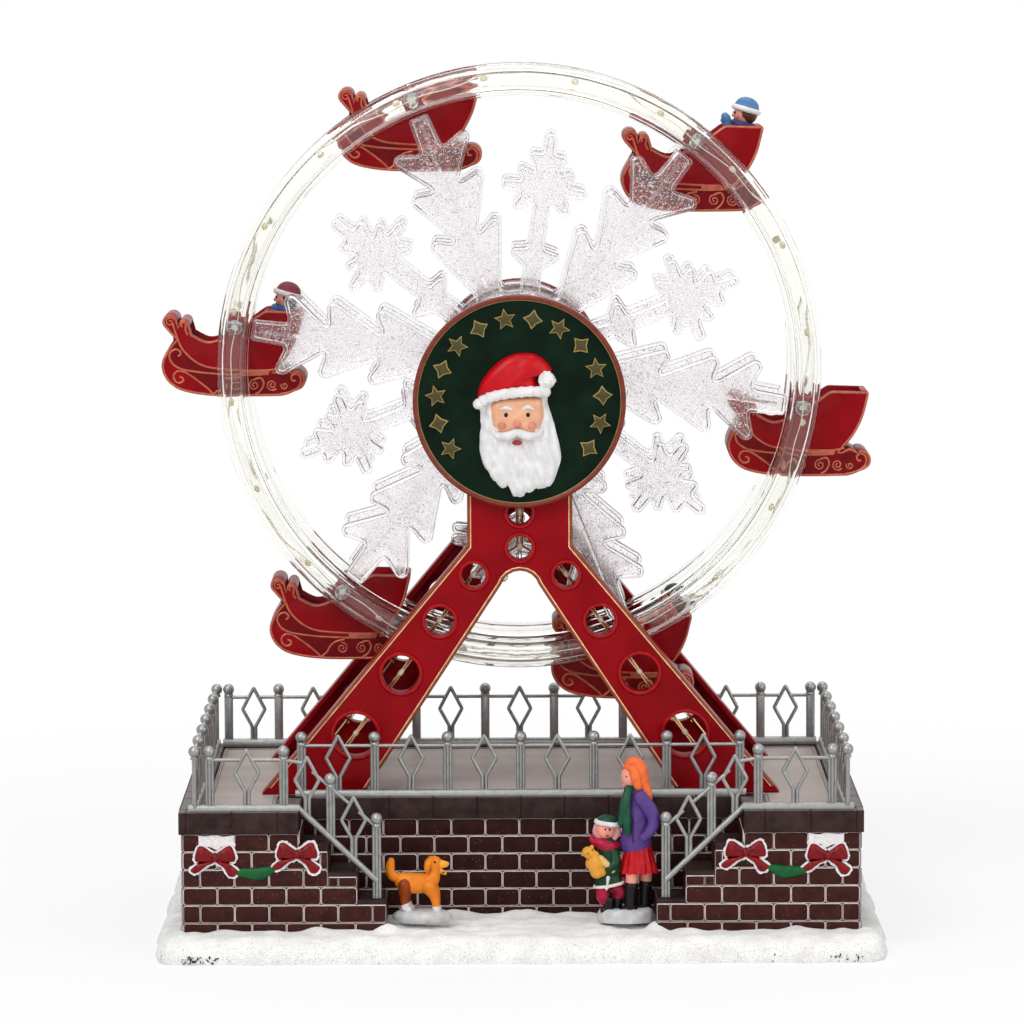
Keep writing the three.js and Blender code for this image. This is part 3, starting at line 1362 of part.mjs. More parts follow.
function person(x, height) {
  const profile = PERSON_SHARES.map(([r, z]) => [r * height, z * height]);
  const body = turnedAboutZ([[0, 0], ...profile, [0, height * 0.81]], 6);
  const headR = height * 0.1;
  const head = ball(headR * 0.9, headR * 0.95, headR * 1.1, 0, 0, height * 0.9, 6, 4);
  const arms = [-1, 1].map((side) => {
    const shoulder = new THREE.Vector3(side * height * 0.12, 0, height * 0.73);
    const hand = new THREE.Vector3(side * height * 0.13, -height * 0.06, height * 0.48);
    return rodBetween(shoulder, hand, height * 0.035, 4);
  });
  return joined([body, head, ...arms]).translate(x, 0, 0);
}

const womanAndChild = joined([
  figureBase(0),
  person(WOMAN_X - (WOMAN_X + CHILD_X) / 2, WOMAN_HEIGHT),
  person(CHILD_X - (WOMAN_X + CHILD_X) / 2, CHILD_HEIGHT).translate(0, -FIGURE_BASE_DEPTH / 5, 0),
]);
const people = node("woman_and_child", womanAndChild, figurePaint);
people.position.set((WOMAN_X + CHILD_X) / 2, FIGURE_Y, SNOW_HEIGHT + FIT);

function dog() {
  const l = DOG_LENGTH;
  const h = DOG_HEIGHT;
  const body = ball(l * 0.32, l * 0.14, h * 0.17, 0, 0, h * 0.5, 6, 4);
  const chest = ball(l * 0.16, l * 0.15, h * 0.2, l * 0.2, 0, h * 0.52, 6, 4);
  const head = ball(l * 0.15, l * 0.13, h * 0.13, l * 0.32, 0, h * 0.82, 6, 4);
  const muzzle = ball(l * 0.1, l * 0.07, h * 0.07, l * 0.42, 0, h * 0.79, 5, 3);
  const at = (u, v, w) => new THREE.Vector3(u * l, v * l, w * h);
  const neck = rodBetween(at(0.24, 0, 0.55), at(0.31, 0, 0.8), l * 0.1, 5);
  const tail = rodBetween(at(-0.26, 0, 0.52), at(-0.42, 0, 0.8), l * 0.05, 5);
  const legs = [
    [0.22, 0.08],
    [0.22, -0.08],
    [-0.22, 0.08],
    [-0.22, -0.08],
  ].map(([u, v]) => rodBetween(at(u, v, 0.03), at(u * 0.95, v, 0.5), l * 0.055, 4));
  return joined([figureBase(0), body, chest, head, muzzle, neck, tail, ...legs]);
}
node("dog", dog(), dogPaint).position.set(DOG_X, FIGURE_Y, SNOW_HEIGHT + FIT);

// Bow garlands: two bows and a swag between them, places as shares of a bow's size
const BOW_SHARES = [
  [0, 0.08],
  [0.1, -0.02],
  [0.3, -0.5],
  [0.5, -0.38],
  [0.36, -0.06],
  [0.49, 0.14],
  [0.4, 0.48],
  [0.24, 0.48],
  [0.06, 0.26],
];

function bow(x, y) {
  const half = BOW_SHARES.slice(1).map(([u, w]) => [u * BOW_WIDTH, w * BOW_HEIGHT]);
  const right = half.map(([u, w]) => new THREE.Vector2(x + u, BOW_Z + w));
  const left = half.map(([u, w]) => new THREE.Vector2(x - u, BOW_Z + w)).reverse();
  return upright(new THREE.Shape([...right, ...left]), y - BOW_THICKNESS, BOW_THICKNESS);
}

function garland() {
  const y = LANDING_FRONT_Y - FIT;
  const [outer, inner] = BOW_X;
  const x0 = inner + BOW_WIDTH * 0.25;
  const x1 = outer - BOW_WIDTH * 0.25;
  const z = BOW_Z - BOW_HEIGHT * 0.2;
  const middle = (x0 + x1) / 2;
  const shape = new THREE.Shape();
  shape.moveTo(x0, z);
  shape.quadraticCurveTo(middle, z - 2 * SWAG_DROP, x1, z);
  shape.lineTo(x1, z - SWAG_BAND);
  shape.quadraticCurveTo(middle, z - SWAG_BAND - 2 * SWAG_DROP, x0, z - SWAG_BAND);
  const depth = BOW_THICKNESS * 0.8;
  const swag = upright(shape, y - depth, depth, 5);
  return joined([bow(outer, y), bow(inner, y), swag]);
}
node("right_bow_garland", garland(), bowPaint);
node("left_bow_garland", garland(), bowPaint).scale.x = -1;

export default ROOT;
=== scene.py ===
"""Looks of the musical ferris wheel decoration, laid out as an add-on and run as a script."""

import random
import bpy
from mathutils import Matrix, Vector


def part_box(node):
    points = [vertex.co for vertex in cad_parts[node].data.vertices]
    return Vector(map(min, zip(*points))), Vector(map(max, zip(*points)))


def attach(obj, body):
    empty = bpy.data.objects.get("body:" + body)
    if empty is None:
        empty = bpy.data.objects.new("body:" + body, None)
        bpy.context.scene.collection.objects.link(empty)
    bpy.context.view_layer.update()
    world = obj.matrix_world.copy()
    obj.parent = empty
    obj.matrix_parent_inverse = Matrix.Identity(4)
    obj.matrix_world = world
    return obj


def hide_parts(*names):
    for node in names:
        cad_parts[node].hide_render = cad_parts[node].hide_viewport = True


bl_info = {
    "name": "Musical ferris wheel decoration",
    "version": (1, 0, 0),
    "blender": (4, 5, 0),
    "location": "View3D > Sidebar > Ferris wheel",
    "description": "Builds the finished pieces of a table-top ferris wheel round its CAD frame",
    "category": "Object",
}

from math import acos, atan2, copysign, cos, degrees, hypot, pi, radians, sin, sqrt, tan

import bmesh
import bpy
from mathutils import Euler, Matrix, Vector
from mathutils.geometry import delaunay_2d_cdt

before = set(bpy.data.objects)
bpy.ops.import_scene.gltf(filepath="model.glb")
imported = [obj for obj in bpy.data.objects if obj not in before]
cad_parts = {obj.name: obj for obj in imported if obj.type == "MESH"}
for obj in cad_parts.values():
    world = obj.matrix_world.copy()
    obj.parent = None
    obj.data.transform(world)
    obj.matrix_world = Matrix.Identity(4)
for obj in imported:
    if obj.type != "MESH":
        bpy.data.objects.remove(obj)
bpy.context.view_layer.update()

MM = 0.001
TAU = 2 * pi
PLANE_Y = 14.0          # middle of the wheel, in depth
AXLE_Z = 214.5          # height of the axle
PIN_RADIUS = 110.0      # from the axle to a sleigh's pin
ARM_ANGLE = 51.7        # of the first snowflake arm and the first pin, in degrees
DECK_TOP = 54.2
PLAQUE_Z = 204.1        # middle of the plaque and of a frame's round head
FIGURE_Y = -70.0        # line on which the figures stand
FRAMES = (("front_frame", -33.0, -1), ("rear_frame", 61.0, 1))      # node, place of the face, way it looks


# Sizes and colours that a user would change

def shade(value):
    """An sRGB hex colour as linear red, green, blue and alpha."""
    parts = [int(value[i:i + 2], 16) / 255 for i in (1, 3, 5)]
    return (*[c / 12.92 if c <= 0.04045 else ((c + 0.055) / 1.055) ** 2.4 for c in parts], 1.0)


def length(label, note, mm):
    return bpy.props.FloatProperty(name=label, description=note, default=mm * MM, unit="LENGTH")


def tint(label, note, value):
    return bpy.props.FloatVectorProperty(
        name=label, description=note, default=shade(value), size=4, subtype="COLOR", min=0, max=1)


class WheelSizes(bpy.types.PropertyGroup):
    """Sizes of the rings, snowflakes and their lights."""
    ring_outer: length("Ring radius", "Outer radius of a clear ring", 115.8)
    ring_band: length("Ring band", "Radial width of a clear ring", 11.6)
    ring_depth: length("Ring depth", "Depth of a ring along the axle", 9.0)
    ring_spacing: length("Ring spacing", "Distance between the middles of the rings", 39.0)
    flake_thickness: length("Snowflake thickness", "Thickness of a snowflake", 5.6)
    bulb_count: bpy.props.IntProperty(
        name="Bulbs", description="Number of bulbs in a ring", default=20, min=6)


class PlatformSizes(bpy.types.PropertyGroup):
    """Sizes of the brickwork, coping and fences."""
    brick_length: length("Brick pitch", "Length of a brick with its joint", 12.9)
    brick_rise: length("Course height", "Height of a course with its joint", 6.75)
    joint: length("Joint", "Width of the pale joint", 0.68)
    block_length: length("Coping block", "Length of a coping block", 17.2)
    post_pitch: length("Panel width", "Distance between the posts of a fence panel", 27.73)
    ball: length("Ball radius", "Radius of the ball on a post", 2.25)


class Finishes(bpy.types.PropertyGroup):
    """Colours of the painted and moulded surfaces."""
    sleigh_red: tint("Red", "Gloss red of the sleighs and frames", "#8e0b14")
    copper: tint("Copper trim", "Raised trim lines", "#b8624b")
    brick: tint("Brick", "Brick faces", "#40221f")
    joint: tint("Joint", "Pale joint between bricks", "#f3e7e4")
    deck: tint("Deck", "Deck plate", "#b2a59e")
    fence: tint("Fence", "Silver grey fence paint", "#969694")
    snow: tint("Snow", "Painted snow", "#faf8f4")
    plaque: tint("Plaque", "Dark face of the plaque", "#0d1d13")


# Shader helpers

def wire(tree, node, links):
    """Links a source to each named input; a node as a source means its first output."""
    for name, source in links.items():
        tree.links.new(getattr(source, "outputs", (source,))[0], node.inputs[name])


def add(tree, kind, sockets=None, links=None, **settings):
    """Adds a node with its settings, its socket values and its incoming links."""
    node = tree.nodes.new(kind)
    for name, value in settings.items():
        setattr(node, name, value)
    for name, value in (sockets or {}).items():
        node.inputs[name].default_value = value
    wire(tree, node, links or {})
    return node


def blank(name, sockets):
    """A material with one principled shader, whose own 1.5 index suits every paint here, and Object coordinates."""
    material = bpy.data.materials.new(name)
    material.use_nodes = True
    tree = material.node_tree
    tree.nodes.clear()
    shader = add(tree, "ShaderNodeBsdfPrincipled", {"Specular IOR Level": 0.16, **sockets})
    add(tree, "ShaderNodeOutputMaterial", links={"Surface": shader})
    place = add(tree, "ShaderNodeTexCoord").outputs["Object"]
    return material, tree, shader, place


def bumped(tree, place, shader, scale, detail, strength, distance, **sockets):
    """Fine relief from noise."""
    noise = add(tree, "ShaderNodeTexNoise", {"Scale": scale, "Detail": detail, **sockets}, {"Vector": place})
    bump = add(tree, "ShaderNodeBump", {"Strength": strength, "Distance": distance}, {"Height": noise})
    wire(tree, shader, {"Normal": bump})


def mottled(tree, place, shader, low, high, size_mm, bump_mm=0.0, bump_size_mm=1.0, low_rough=None, high_rough=None):
    """Colour that drifts between two tones, with an optional fine bump and roughness drift."""
    noise = add(tree, "ShaderNodeTexNoise", {"Scale": 1000 / size_mm, "Detail": 4.0}, {"Vector": place})
    ramp = add(tree, "ShaderNodeValToRGB", links={"Fac": noise})
    for stop, position, colour in zip(ramp.color_ramp.elements, (0.3, 0.7), (low, high)):
        stop.position = position
        stop.color = colour
    wire(tree, shader, {"Base Color": ramp})
    if low_rough is not None:
        drift = add(tree, "ShaderNodeMapRange", {"To Min": low_rough, "To Max": high_rough}, {"Value": noise})
        wire(tree, shader, {"Roughness": drift})
    if bump_mm:
        bumped(tree, place, shader, 1000 / bump_size_mm, 3.0, 0.6, bump_mm * MM)
    return ramp


def tone(colour, factor):
    return tuple(min(c * factor, 1.0) for c in colour[:3]) + (1.0,)


def drifting(name, low, high, drift, sockets):
    """A material that drifts between two colours; drift holds what mottled takes after them."""
    material, tree, shader, place = blank(name, sockets)
    ramp = mottled(tree, place, shader, low, high, *drift)
    return material, tree, shader, place, ramp


def toned(name, colour, tones, drift, sockets):
    """A material that drifts between two tones of one colour."""
    return drifting(name, tone(colour, tones[0]), tone(colour, tones[1]), drift, sockets)


MATERIALS = {}


def enamel(name, value, rough=0.42, drift=0.8, size_mm=3.0):
    """Acrylic enamel brushed on cast resin: the coat is uneven, so its tone and its bump drift."""
    if name not in MATERIALS:
        MATERIALS[name] = toned(name, shade(value), (drift, 1.08), (size_mm, 0.08, 0.9, rough - 0.08, rough + 0.1), {
            "Coat Weight": 0.12, "Coat Roughness": 0.22})[0]
    return MATERIALS[name]


def red_gloss(paints):
    # ABS moulding in deep red, sprayed with clear gloss: soft broad highlights, very slight ripple
    return toned("red_gloss_abs", paints.sleigh_red, (0.82, 1.12), (14.0, 0.03, 2.5, 0.24, 0.36), {
        "Coat Weight": 0.06, "Coat Roughness": 0.1, "Specular IOR Level": 0.03})[0]


def dark_red_recess(paints):
    # The same red under a dark antique wash that stays in the recesses between the trim lines
    return toned("red_abs_dark_wash", paints.sleigh_red, (0.42, 0.72), (5.0, 0.05, 1.0, 0.35, 0.5), {
        "Specular IOR Level": 0.1})[0]


def copper_trim(paints):
    # Copper paint wiped over raised lines: worn to the red in places
    material, _, _, _, ramp = toned("copper_wiped_paint", paints.copper, (0.72, 1.15), (1.6, 0.05, 0.6), {
        "Metallic": 0.35, "Roughness": 0.38})
    ramp.color_ramp.elements.new(0.22).color = shade("#9a3326")
    return material


def gold_edge():
    # Gold paint along the edges of the frame
    return drifting("gold_edge_paint", shade("#d79a62"), shade("#f6dcae"), (3.0, 0.03, 0.8), {
        "Metallic": 0.45, "Roughness": 0.34})[0]


def clear_ring():
    # Injection moulded clear polystyrene, 1.6 mm walls: refracts, with faint grey in its depth
    material, tree, shader, place = blank("clear_polystyrene", {
        "Base Color": shade("#fffffb"), "Roughness": 0.04, "IOR": 1.5, "Transmission Weight": 1.0,
        "Specular IOR Level": 0.5})
    bumped(tree, place, shader, 90.0, 2.0, 0.25, 0.0004)
    return material


def flake_edge():
    # The thick rim of a snowflake is bare clear plastic, a little cloudy
    material, tree, shader, place = blank("clear_flake_rim", {
        "Base Color": shade("#fdfcfd"), "Roughness": 0.06, "IOR": 1.5, "Transmission Weight": 0.97,
        "Specular IOR Level": 0.35})
    bumped(tree, place, shader, 160.0, 1.0, 0.2, 0.0002)
    return material


def flake_glitter():
    # Clear plastic with silver glitter pressed into its face: 0.42 mm flakes, each tipped its own way
    material, tree, shader, place = blank("silver_glitter_plastic", {"IOR": 1.5, "Specular IOR Level": 0.5})
    cells = add(tree, "ShaderNodeTexVoronoi", {"Scale": 1000 / 0.42}, {"Vector": place})
    patches = add(tree, "ShaderNodeTexNoise", {"Scale": 1000 / 9.0, "Detail": 3.0}, {"Vector": place})
    split = add(tree, "ShaderNodeSeparateColor", links={"Color": cells.outputs["Color"]})
    density = add(tree, "ShaderNodeMapRange", {"From Min": 0.35, "From Max": 0.68, "To Min": 0.04, "To Max": 0.16},
                  {"Value": patches})
    flake = add(tree, "ShaderNodeMath", links={0: split, 1: density}, operation="LESS_THAN")
    clear = add(tree, "ShaderNodeMapRange", {"To Min": 0.98, "To Max": 0.35}, {"Value": flake})
    metal = add(tree, "ShaderNodeMath", {1: 0.12}, {0: flake}, operation="MULTIPLY")
    silver = add(tree, "ShaderNodeValToRGB", links={"Fac": split.outputs[1]})
    silver.color_ramp.elements[0].color = shade("#9a9497")
    silver.color_ramp.elements[1].color = shade("#ffffff")
    silver.color_ramp.elements.new(0.22).color = shade("#f4f0f2")
    mix = add(tree, "ShaderNodeMix", {6: shade("#fffcfd")}, {0: flake, 7: silver}, data_type="RGBA")
    rough = add(tree, "ShaderNodeMapRange", {"To Min": 0.08, "To Max": 0.3}, {"Value": split.outputs[2]})
    lean = add(tree, "ShaderNodeVectorMath", {1: (0.5, 0.5, 0.5)}, {0: cells.outputs["Color"]}, operation="SUBTRACT")
    slope = add(tree, "ShaderNodeMath", {1: 0.4}, {0: flake}, operation="MULTIPLY")
    tip = add(tree, "ShaderNodeVectorMath", links={0: lean, "Scale": slope}, operation="SCALE")
    facing = add(tree, "ShaderNodeNewGeometry")
    tilted = add(tree, "ShaderNodeVectorMath", links={0: facing.outputs["Normal"], 1: tip}, operation="ADD")
    normal = add(tree, "ShaderNodeVectorMath", links={0: tilted}, operation="NORMALIZE")
    wire(tree, shader, {"Transmission Weight": clear, "Metallic": metal, "Base Color": mix.outputs[2],
                        "Roughness": rough, "Normal": normal})
    return material


def specked(tree, shader, ramp, mask, value):
    """Lets specks of one colour show in the base colour where the mask is 1."""
    mix = add(tree, "ShaderNodeMix", {7: shade(value)}, {0: mask, 6: ramp}, data_type="RGBA")
    wire(tree, shader, {"Base Color": mix.outputs[2]})


def brick_resin(paints, name, depth):
    # Cast polyresin, painted dark brown: satin, with small casting pits and a few white paint specks
    # A depth under 1 darkens the whole brick: painted shade
    material, tree, shader, place, ramp = toned(
        name, tone(paints.brick, depth), (0.7, 1.2), (4.0, 0.12, 0.8, 0.36, 0.55),
        {"Specular IOR Level": 0.05})
    specks = add(tree, "ShaderNodeTexVoronoi", {"Scale": 1000 / 1.5}, {"Vector": place})
    near = add(tree, "ShaderNodeMath", {1: 0.07}, {0: specks}, operation="LESS_THAN")
    specked(tree, shader, ramp, near, "#a99a9a")
    return material


def coping_resin():
    # Coping blocks: the same resin in a darker coat, drifting at random towards a lighter tone
    return drifting("dark_coping_resin", shade("#2a1f1e"), shade("#40312f"), (5.0, 0.1, 1.0, 0.36, 0.52), {
        "Specular IOR Level": 0.05})[0]


def joint_paint(paints):
    # Pale joint colour wiped into the grooves: matt, with grey dirt
    return toned("pale_joint_paint", paints.joint, (0.78, 1.08), (2.0, 0.05, 0.6, 0.6, 0.8), {"IOR": 1.45})[0]


def deck_paint(paints):
    # Satin warm grey spray paint with a brushed, slightly dusty look
    material, tree, shader, place = blank("grey_deck_paint", {})
    stretch = add(tree, "ShaderNodeMapping", {"Scale": (0.25, 1.0, 1.0)}, {"Vector": place})
    mottled(tree, stretch, shader, tone(paints.deck, 0.84), tone(paints.deck, 1.1), 16.0, 0.04, 0.8, 0.38, 0.55)
    return material


def fence_paint(paints):
    # ABS sprayed with silver paint: fine metallic pigment in a satin coat
    return toned("silver_fence_paint", paints.fence, (0.86, 1.12), (2.2, 0.04, 0.5, 0.28, 0.4), {
        "Metallic": 0.7})[0]


def snow_paint(paints):
    # Textured snow paste under white paint: 1.6 mm lumps and scattered grey dust, thicker near the foot
    material, tree, shader, place, ramp = toned("painted_snow", paints.snow, (0.9, 1.06), (7.0,), {
        "IOR": 1.4, "Roughness": 0.85})
    dust = add(tree, "ShaderNodeTexVoronoi", {"Scale": 1000 / 0.36}, {"Vector": place})
    part = add(tree, "ShaderNodeSeparateColor", links={"Color": dust.outputs["Color"]})
    spot = add(tree, "ShaderNodeSeparateXYZ", links={"Vector": place})
    low = add(tree, "ShaderNodeMapRange", {"From Min": 0.0005, "From Max": 0.0085, "To Min": 0.42, "To Max": 0.09},
              {"Value": spot.outputs["Z"]})
    rare = add(tree, "ShaderNodeMath", links={0: part, 1: low}, operation="LESS_THAN")
    near = add(tree, "ShaderNodeMath", {1: 0.4}, {0: dust}, operation="LESS_THAN")
    both = add(tree, "ShaderNodeMath", links={0: rare, 1: near}, operation="MULTIPLY")
    specked(tree, shader, ramp, both, "#aaa59f")
    bumped(tree, place, shader, 1000 / 1.6, 6.0, 0.9, 0.0005, Roughness=0.7)
    return material


def plaque_paint(paints):
    # Near black green enamel with rubbed patches
    return toned("dark_green_plaque_enamel", paints.plaque, (0.7, 1.5), (9.0, 0.05, 1.2, 0.3, 0.48), {
        "Coat Weight": 0.02, "Coat Roughness": 0.2, "Specular IOR Level": 0.03})[0]


def plain_metal(name, value, rough):
    # Turned or drawn steel with fine lay
    return toned(name, shade(value), (0.85, 1.05), (1.2, 0.02, 0.3, rough - 0.06, rough + 0.08), {
        "Metallic": 1.0})[0]


def moulded(name, value, rough):
    # Injection moulded thermoplastic with a fine spark eroded texture
    return toned(name, shade(value), (0.88, 1.08), (6.0, 0.04, 0.4, rough - 0.06, rough + 0.08), {})[0]


def glow_bulb():
    # Small clear glass bulb with a warm lacquer
    return drifting("warm_lacquered_glass", shade("#d9c79c"), shade("#fbf2d8"), (1.0,), {
        "Roughness": 0.15, "IOR": 1.5, "Transmission Weight": 0.25, "Coat Weight": 0.5})[0]


def lead_wire():
    # Tinned copper lead with a thin straw coloured sleeve
    return drifting("straw_lead_wire", shade("#b9b39c"), shade("#eeeadb"), (0.9,), {
        "Metallic": 0.55, "Roughness": 0.34})[0]


def face_paints():
    """Enamels of the eyes, lips and cheeks."""
    return (enamel("black_eye_enamel", "#1b1512", 0.25), enamel("red_lip_enamel", "#b23a36", 0.4),
            enamel("rosy_cheek_enamel", "#e28f7c", 0.5))


# Shape helpers: everything is drawn in millimetres and turned to metres when a piece is finished

def arc(cx, cy, radius, start, end, steps):
    """Points on an arc, angles in degrees."""
    angles = [radians(start + (end - start) * i / steps) for i in range(steps + 1)]
    return [(cx + radius * cos(a), cy + radius * sin(a)) for a in angles]


def angles(count):
    """Even angles once round."""
    return [TAU * k / count for k in range(count)]


def spiral(cx, cy, outer, inner, start, turns, steps=22):
    """A scroll that winds inwards from an outer radius; turns may be negative."""
    points = []
    for i in range(steps + 1):
        share = i / steps
        radius = outer + (inner - outer) * share
        angle = radians(start) + TAU * turns * share
        points.append((cx + radius * cos(angle), cy + radius * sin(angle)))
    return points


def smooth_line(points, per=5, closed=False):
    """A curve through the points."""
    n = len(points)
    result = []
    for i in range(n if closed else n - 1):
        if closed:
            p0, p1, p2, p3 = (points[(i + k - 1) % n] for k in range(4))
        else:
            p0, p1, p2, p3 = (points[min(max(i + k - 1, 0), n - 1)] for k in range(4))
        for s in range(per):
            t = s / per
            result.append(tuple(
                0.5 * (2 * b + (c - a) * t + (2 * a - 5 * b + 4 * c - d) * t * t + (3 * b - a - 3 * c + d) * t ** 3)
                for a, b, c, d in zip(p0, p1, p2, p3)))
    if not closed:
        result.append(tuple(points[-1]))
    return result


def lobed(entries, lobe_points):
    """An outline with rounded lobes; an entry is (x, y) or (x, y, radius of a round end)."""
    points = []
    n = len(entries)
    for i, entry in enumerate(entries):
        if len(entry) < 3 or not entry[2]:
            points.append((entry[0], entry[1]))
            continue
        x, y, radius = entry
        ends = []
        for (px, py), way in ((entries[i - 1][:2], 1), (entries[(i + 1) % n][:2], -1)):
            lean = acos(min(radius / hypot(px - x, py - y), 1))
            ends.append(atan2(py - y, px - x) + way * lean)
        while ends[1] < ends[0]:
            ends[1] += TAU
        for s in range(lobe_points):
            angle = ends[0] + (ends[1] - ends[0]) * s / (lobe_points - 1)
            points.append((x + radius * cos(angle), y + radius * sin(angle)))
    return points


def eased(loop, radius, steps, sharp=30):
    """The loop with its sharp corners rounded."""
    result = []
    n = len(loop)
    for i in range(n):
        p = Vector(loop[i])
        a = Vector(loop[i - 1]) - p
        b = Vector(loop[(i + 1) % n]) - p
        turn = pi - a.angle(b, pi)
        if turn < radians(sharp):
            result.append(tuple(p))
            continue
        reach = min(radius * tan(turn / 2), a.length * 0.45, b.length * 0.45)
        start, end = p + a.normalized() * reach, p + b.normalized() * reach
        for s in range(steps):
            t = s / (steps - 1)
            result.append(tuple(start * (1 - t) ** 2 + p * 2 * t * (1 - t) + end * t * t))
    return result


def area(loop):
    return sum(a[0] * b[1] - b[0] * a[1] for a, b in zip(loop, loop[1:] + loop[:1])) / 2


def moved_in(loop, distance):
    """A loop moved towards its left side, corner by corner."""
    n = len(loop)
    result = []
    for i in range(n):
        p = Vector(loop[i])
        a = p - Vector(loop[i - 1])
        b = Vector(loop[(i + 1) % n]) - p
        if a.length < 1e-6 or b.length < 1e-6:
            result.append(tuple(p))
            continue
        a.normalize()
        b.normalize()
        normal = Vector((-a.y - b.y, a.x + b.x))
        if normal.length < 1e-6:
            normal = Vector((-a.y, a.x))
        normal.normalize()
        reach = distance / max(normal.dot(Vector((-a.y, a.x))), 0.5)
        result.append(tuple(p + normal * reach))
    return result


def filled(loops):
    """Points and triangles that fill the first loop and leave the others open."""
    spots, rings = [], []
    for loop in loops:
        rings.append(list(range(len(spots), len(spots) + len(loop))))
        spots += [Vector(point) for point in loop]
    result = delaunay_2d_cdt(spots, [], rings, 2, 1e-5)
    return result[0], result[2]


class Piece:
    """Collects shapes, each with its material, into one finished object."""

    def __init__(self, name):
        self.name = name
        self.mesh = bmesh.new()
        self.materials = []

    def _slot(self, material):
        if material not in self.materials:
            self.materials.append(material)
        return self.materials.index(material)

    def shape(self, points, faces, material, matrix=None):
        """Adds a shape from its points and faces."""
        slot = self._slot(material)
        verts = [self.mesh.verts.new(matrix @ Vector(p) if matrix else Vector(p)) for p in points]
        for face in faces:
            if len(set(face)) < 3:
                continue
            try:
                made = self.mesh.faces.new([verts[i] for i in face])
            except ValueError:
                continue
            made.material_index = slot
            made.smooth = True
        return verts

    def take(self, data, material=None, matrix=None):
        """Adds a ready mesh, with its own materials or with one."""
        before = len(self.mesh.faces)
        first = len(self.mesh.verts)
        slots = [self._slot(m) for m in data.materials] if material is None else None
        self.mesh.from_mesh(data)
        self.mesh.faces.ensure_lookup_table()
        self.mesh.verts.ensure_lookup_table()
        for face in self.mesh.faces[before:]:
            face.material_index = slots[face.material_index] if slots else self._slot(material)
            face.smooth = True
        if matrix:
            for vert in self.mesh.verts[first:]:
                vert.co = matrix @ vert.co
        return self

    def scatter(self, template, material, places, matrix=None):
        """Adds a template, itself a piece, at every (place, turn, stretch)."""
        return self.take(on_places(template.data(1.0), material, places), material, matrix)

    def ring_of(self, template, material, count, first_degrees, radius, y):
        """Adds a template at even angles round the axle, at one depth."""
        made = round_axle(template.data(1.0), material, count, first_degrees, radius)
        return self.take(made, material, moved(y=y, z=AXLE_Z))

    def plate(self, loops, y0, y1, material, edge=0.3, steps=2, matrix=None, face_material=None, recess=0.0,
              recess_width=1.2):
        """A flat piece drawn in X and Z between two places in Y, with rounded edges; the first loop is the outside."""
        fixed = []
        for k, loop in enumerate(loops):
            loop = list(loop)
            if (area(loop) > 0) != (k == 0):
                loop.reverse()
            fixed.append(loop)
        profile = [(edge * (1 - sin(a)), edge * (1 - cos(a)))
                   for a in [pi / 2 * s / steps for s in range(steps + 1)]]
        levels = [(into, y0 + up) for into, up in profile] + [(into, y1 - up) for into, up in reversed(profile)]
        if recess:
            width = edge + recess_width
            levels = [(width, y0 + recess), (edge + recess_width * 0.6, y0)] + levels
            levels += [(edge + recess_width * 0.6, y1), (width, y1 - recess)]
        points = []
        faces = []
        for loop in fixed:
            n = len(loop)
            for r, (into, y) in enumerate(levels):
                a = len(points)
                points.extend((x, y, z) for x, z in moved_in(loop, into))
                if r:
                    faces += [(a - n + i, a + i, a + (i + 1) % n, a - n + (i + 1) % n) for i in range(n)]
        self.shape(points, faces, material, matrix)
        for into, y in (levels[0], levels[-1]):
            spots, triangles = filled([moved_in(loop, into) for loop in fixed])
            self.shape([(x, y, z) for x, z in spots], triangles, face_material or material, matrix)
        return self

    def tubes(self, paths, radius, material, closed=False, sides=3, flat=1.0, matrix=None):
        """Round bars along paths of (x, y, z)."""
        curve = bpy.data.curves.new("bars", "CURVE")
        curve.dimensions = "3D"
        curve.bevel_depth = radius
        curve.bevel_resolution = sides
        curve.use_fill_caps = not closed
        for path in paths:
            spline = curve.splines.new("POLY")
            spline.points.add(len(path) - 1)
            for point, place in zip(spline.points, path):
                point.co = (*place, 1.0)
            spline.use_cyclic_u = closed
        holder = bpy.data.objects.new("bars", curve)
        data = bpy.data.meshes.new_from_object(holder)
        bpy.data.objects.remove(holder)
        bpy.data.curves.remove(curve)
        if flat != 1.0:
            middle = sum(p[1] for path in paths for p in path) / sum(len(path) for path in paths)
            for vert in data.vertices:
                vert.co.y = middle + (vert.co.y - middle) * flat
        self.take(data, material, matrix)
        bpy.data.meshes.remove(data)
        return self

    def turned(self, profile, material, segments=48, matrix=None):
        """A profile of (radius, height) turned about Z; it runs anticlockwise seen with the radius to the right."""
        points = []
        faces = []
        rows = []
        for radius, height in profile:
            if radius < 1e-6:
                rows.append([len(points)])
                points.append((0, 0, height))
            else:
                rows.append(list(range(len(points), len(points) + segments)))
                points.extend((radius * cos(TAU * i / segments), radius * sin(TAU * i / segments), height)
                              for i in range(segments))
        for low, high in zip(rows, rows[1:]):
            for i in range(segments):
                j = (i + 1) % segments
                face = (low[i % len(low)], low[j % len(low)], high[j % len(high)], high[i % len(high)])
                face = tuple(dict.fromkeys(face))
                if len(face) > 2:
                    faces.append(face)
        self.shape(points, faces, material, matrix)
        return self

    def ball(self, centre, radii, material, turn=(0, 0, 0), rows=14, around=20):
        """An ellipsoid; turn is in degrees."""
        matrix = Matrix.Translation(centre) @ Euler([radians(a) for a in turn]).to_matrix().to_4x4()
        profile = [(sin(pi * i / rows), -cos(pi * i / rows)) for i in range(rows + 1)]
        profile[0], profile[-1] = (0, -1), (0, 1)
        return self.turned(profile, material, around, matrix @ Matrix.Diagonal((*radii, 1)))

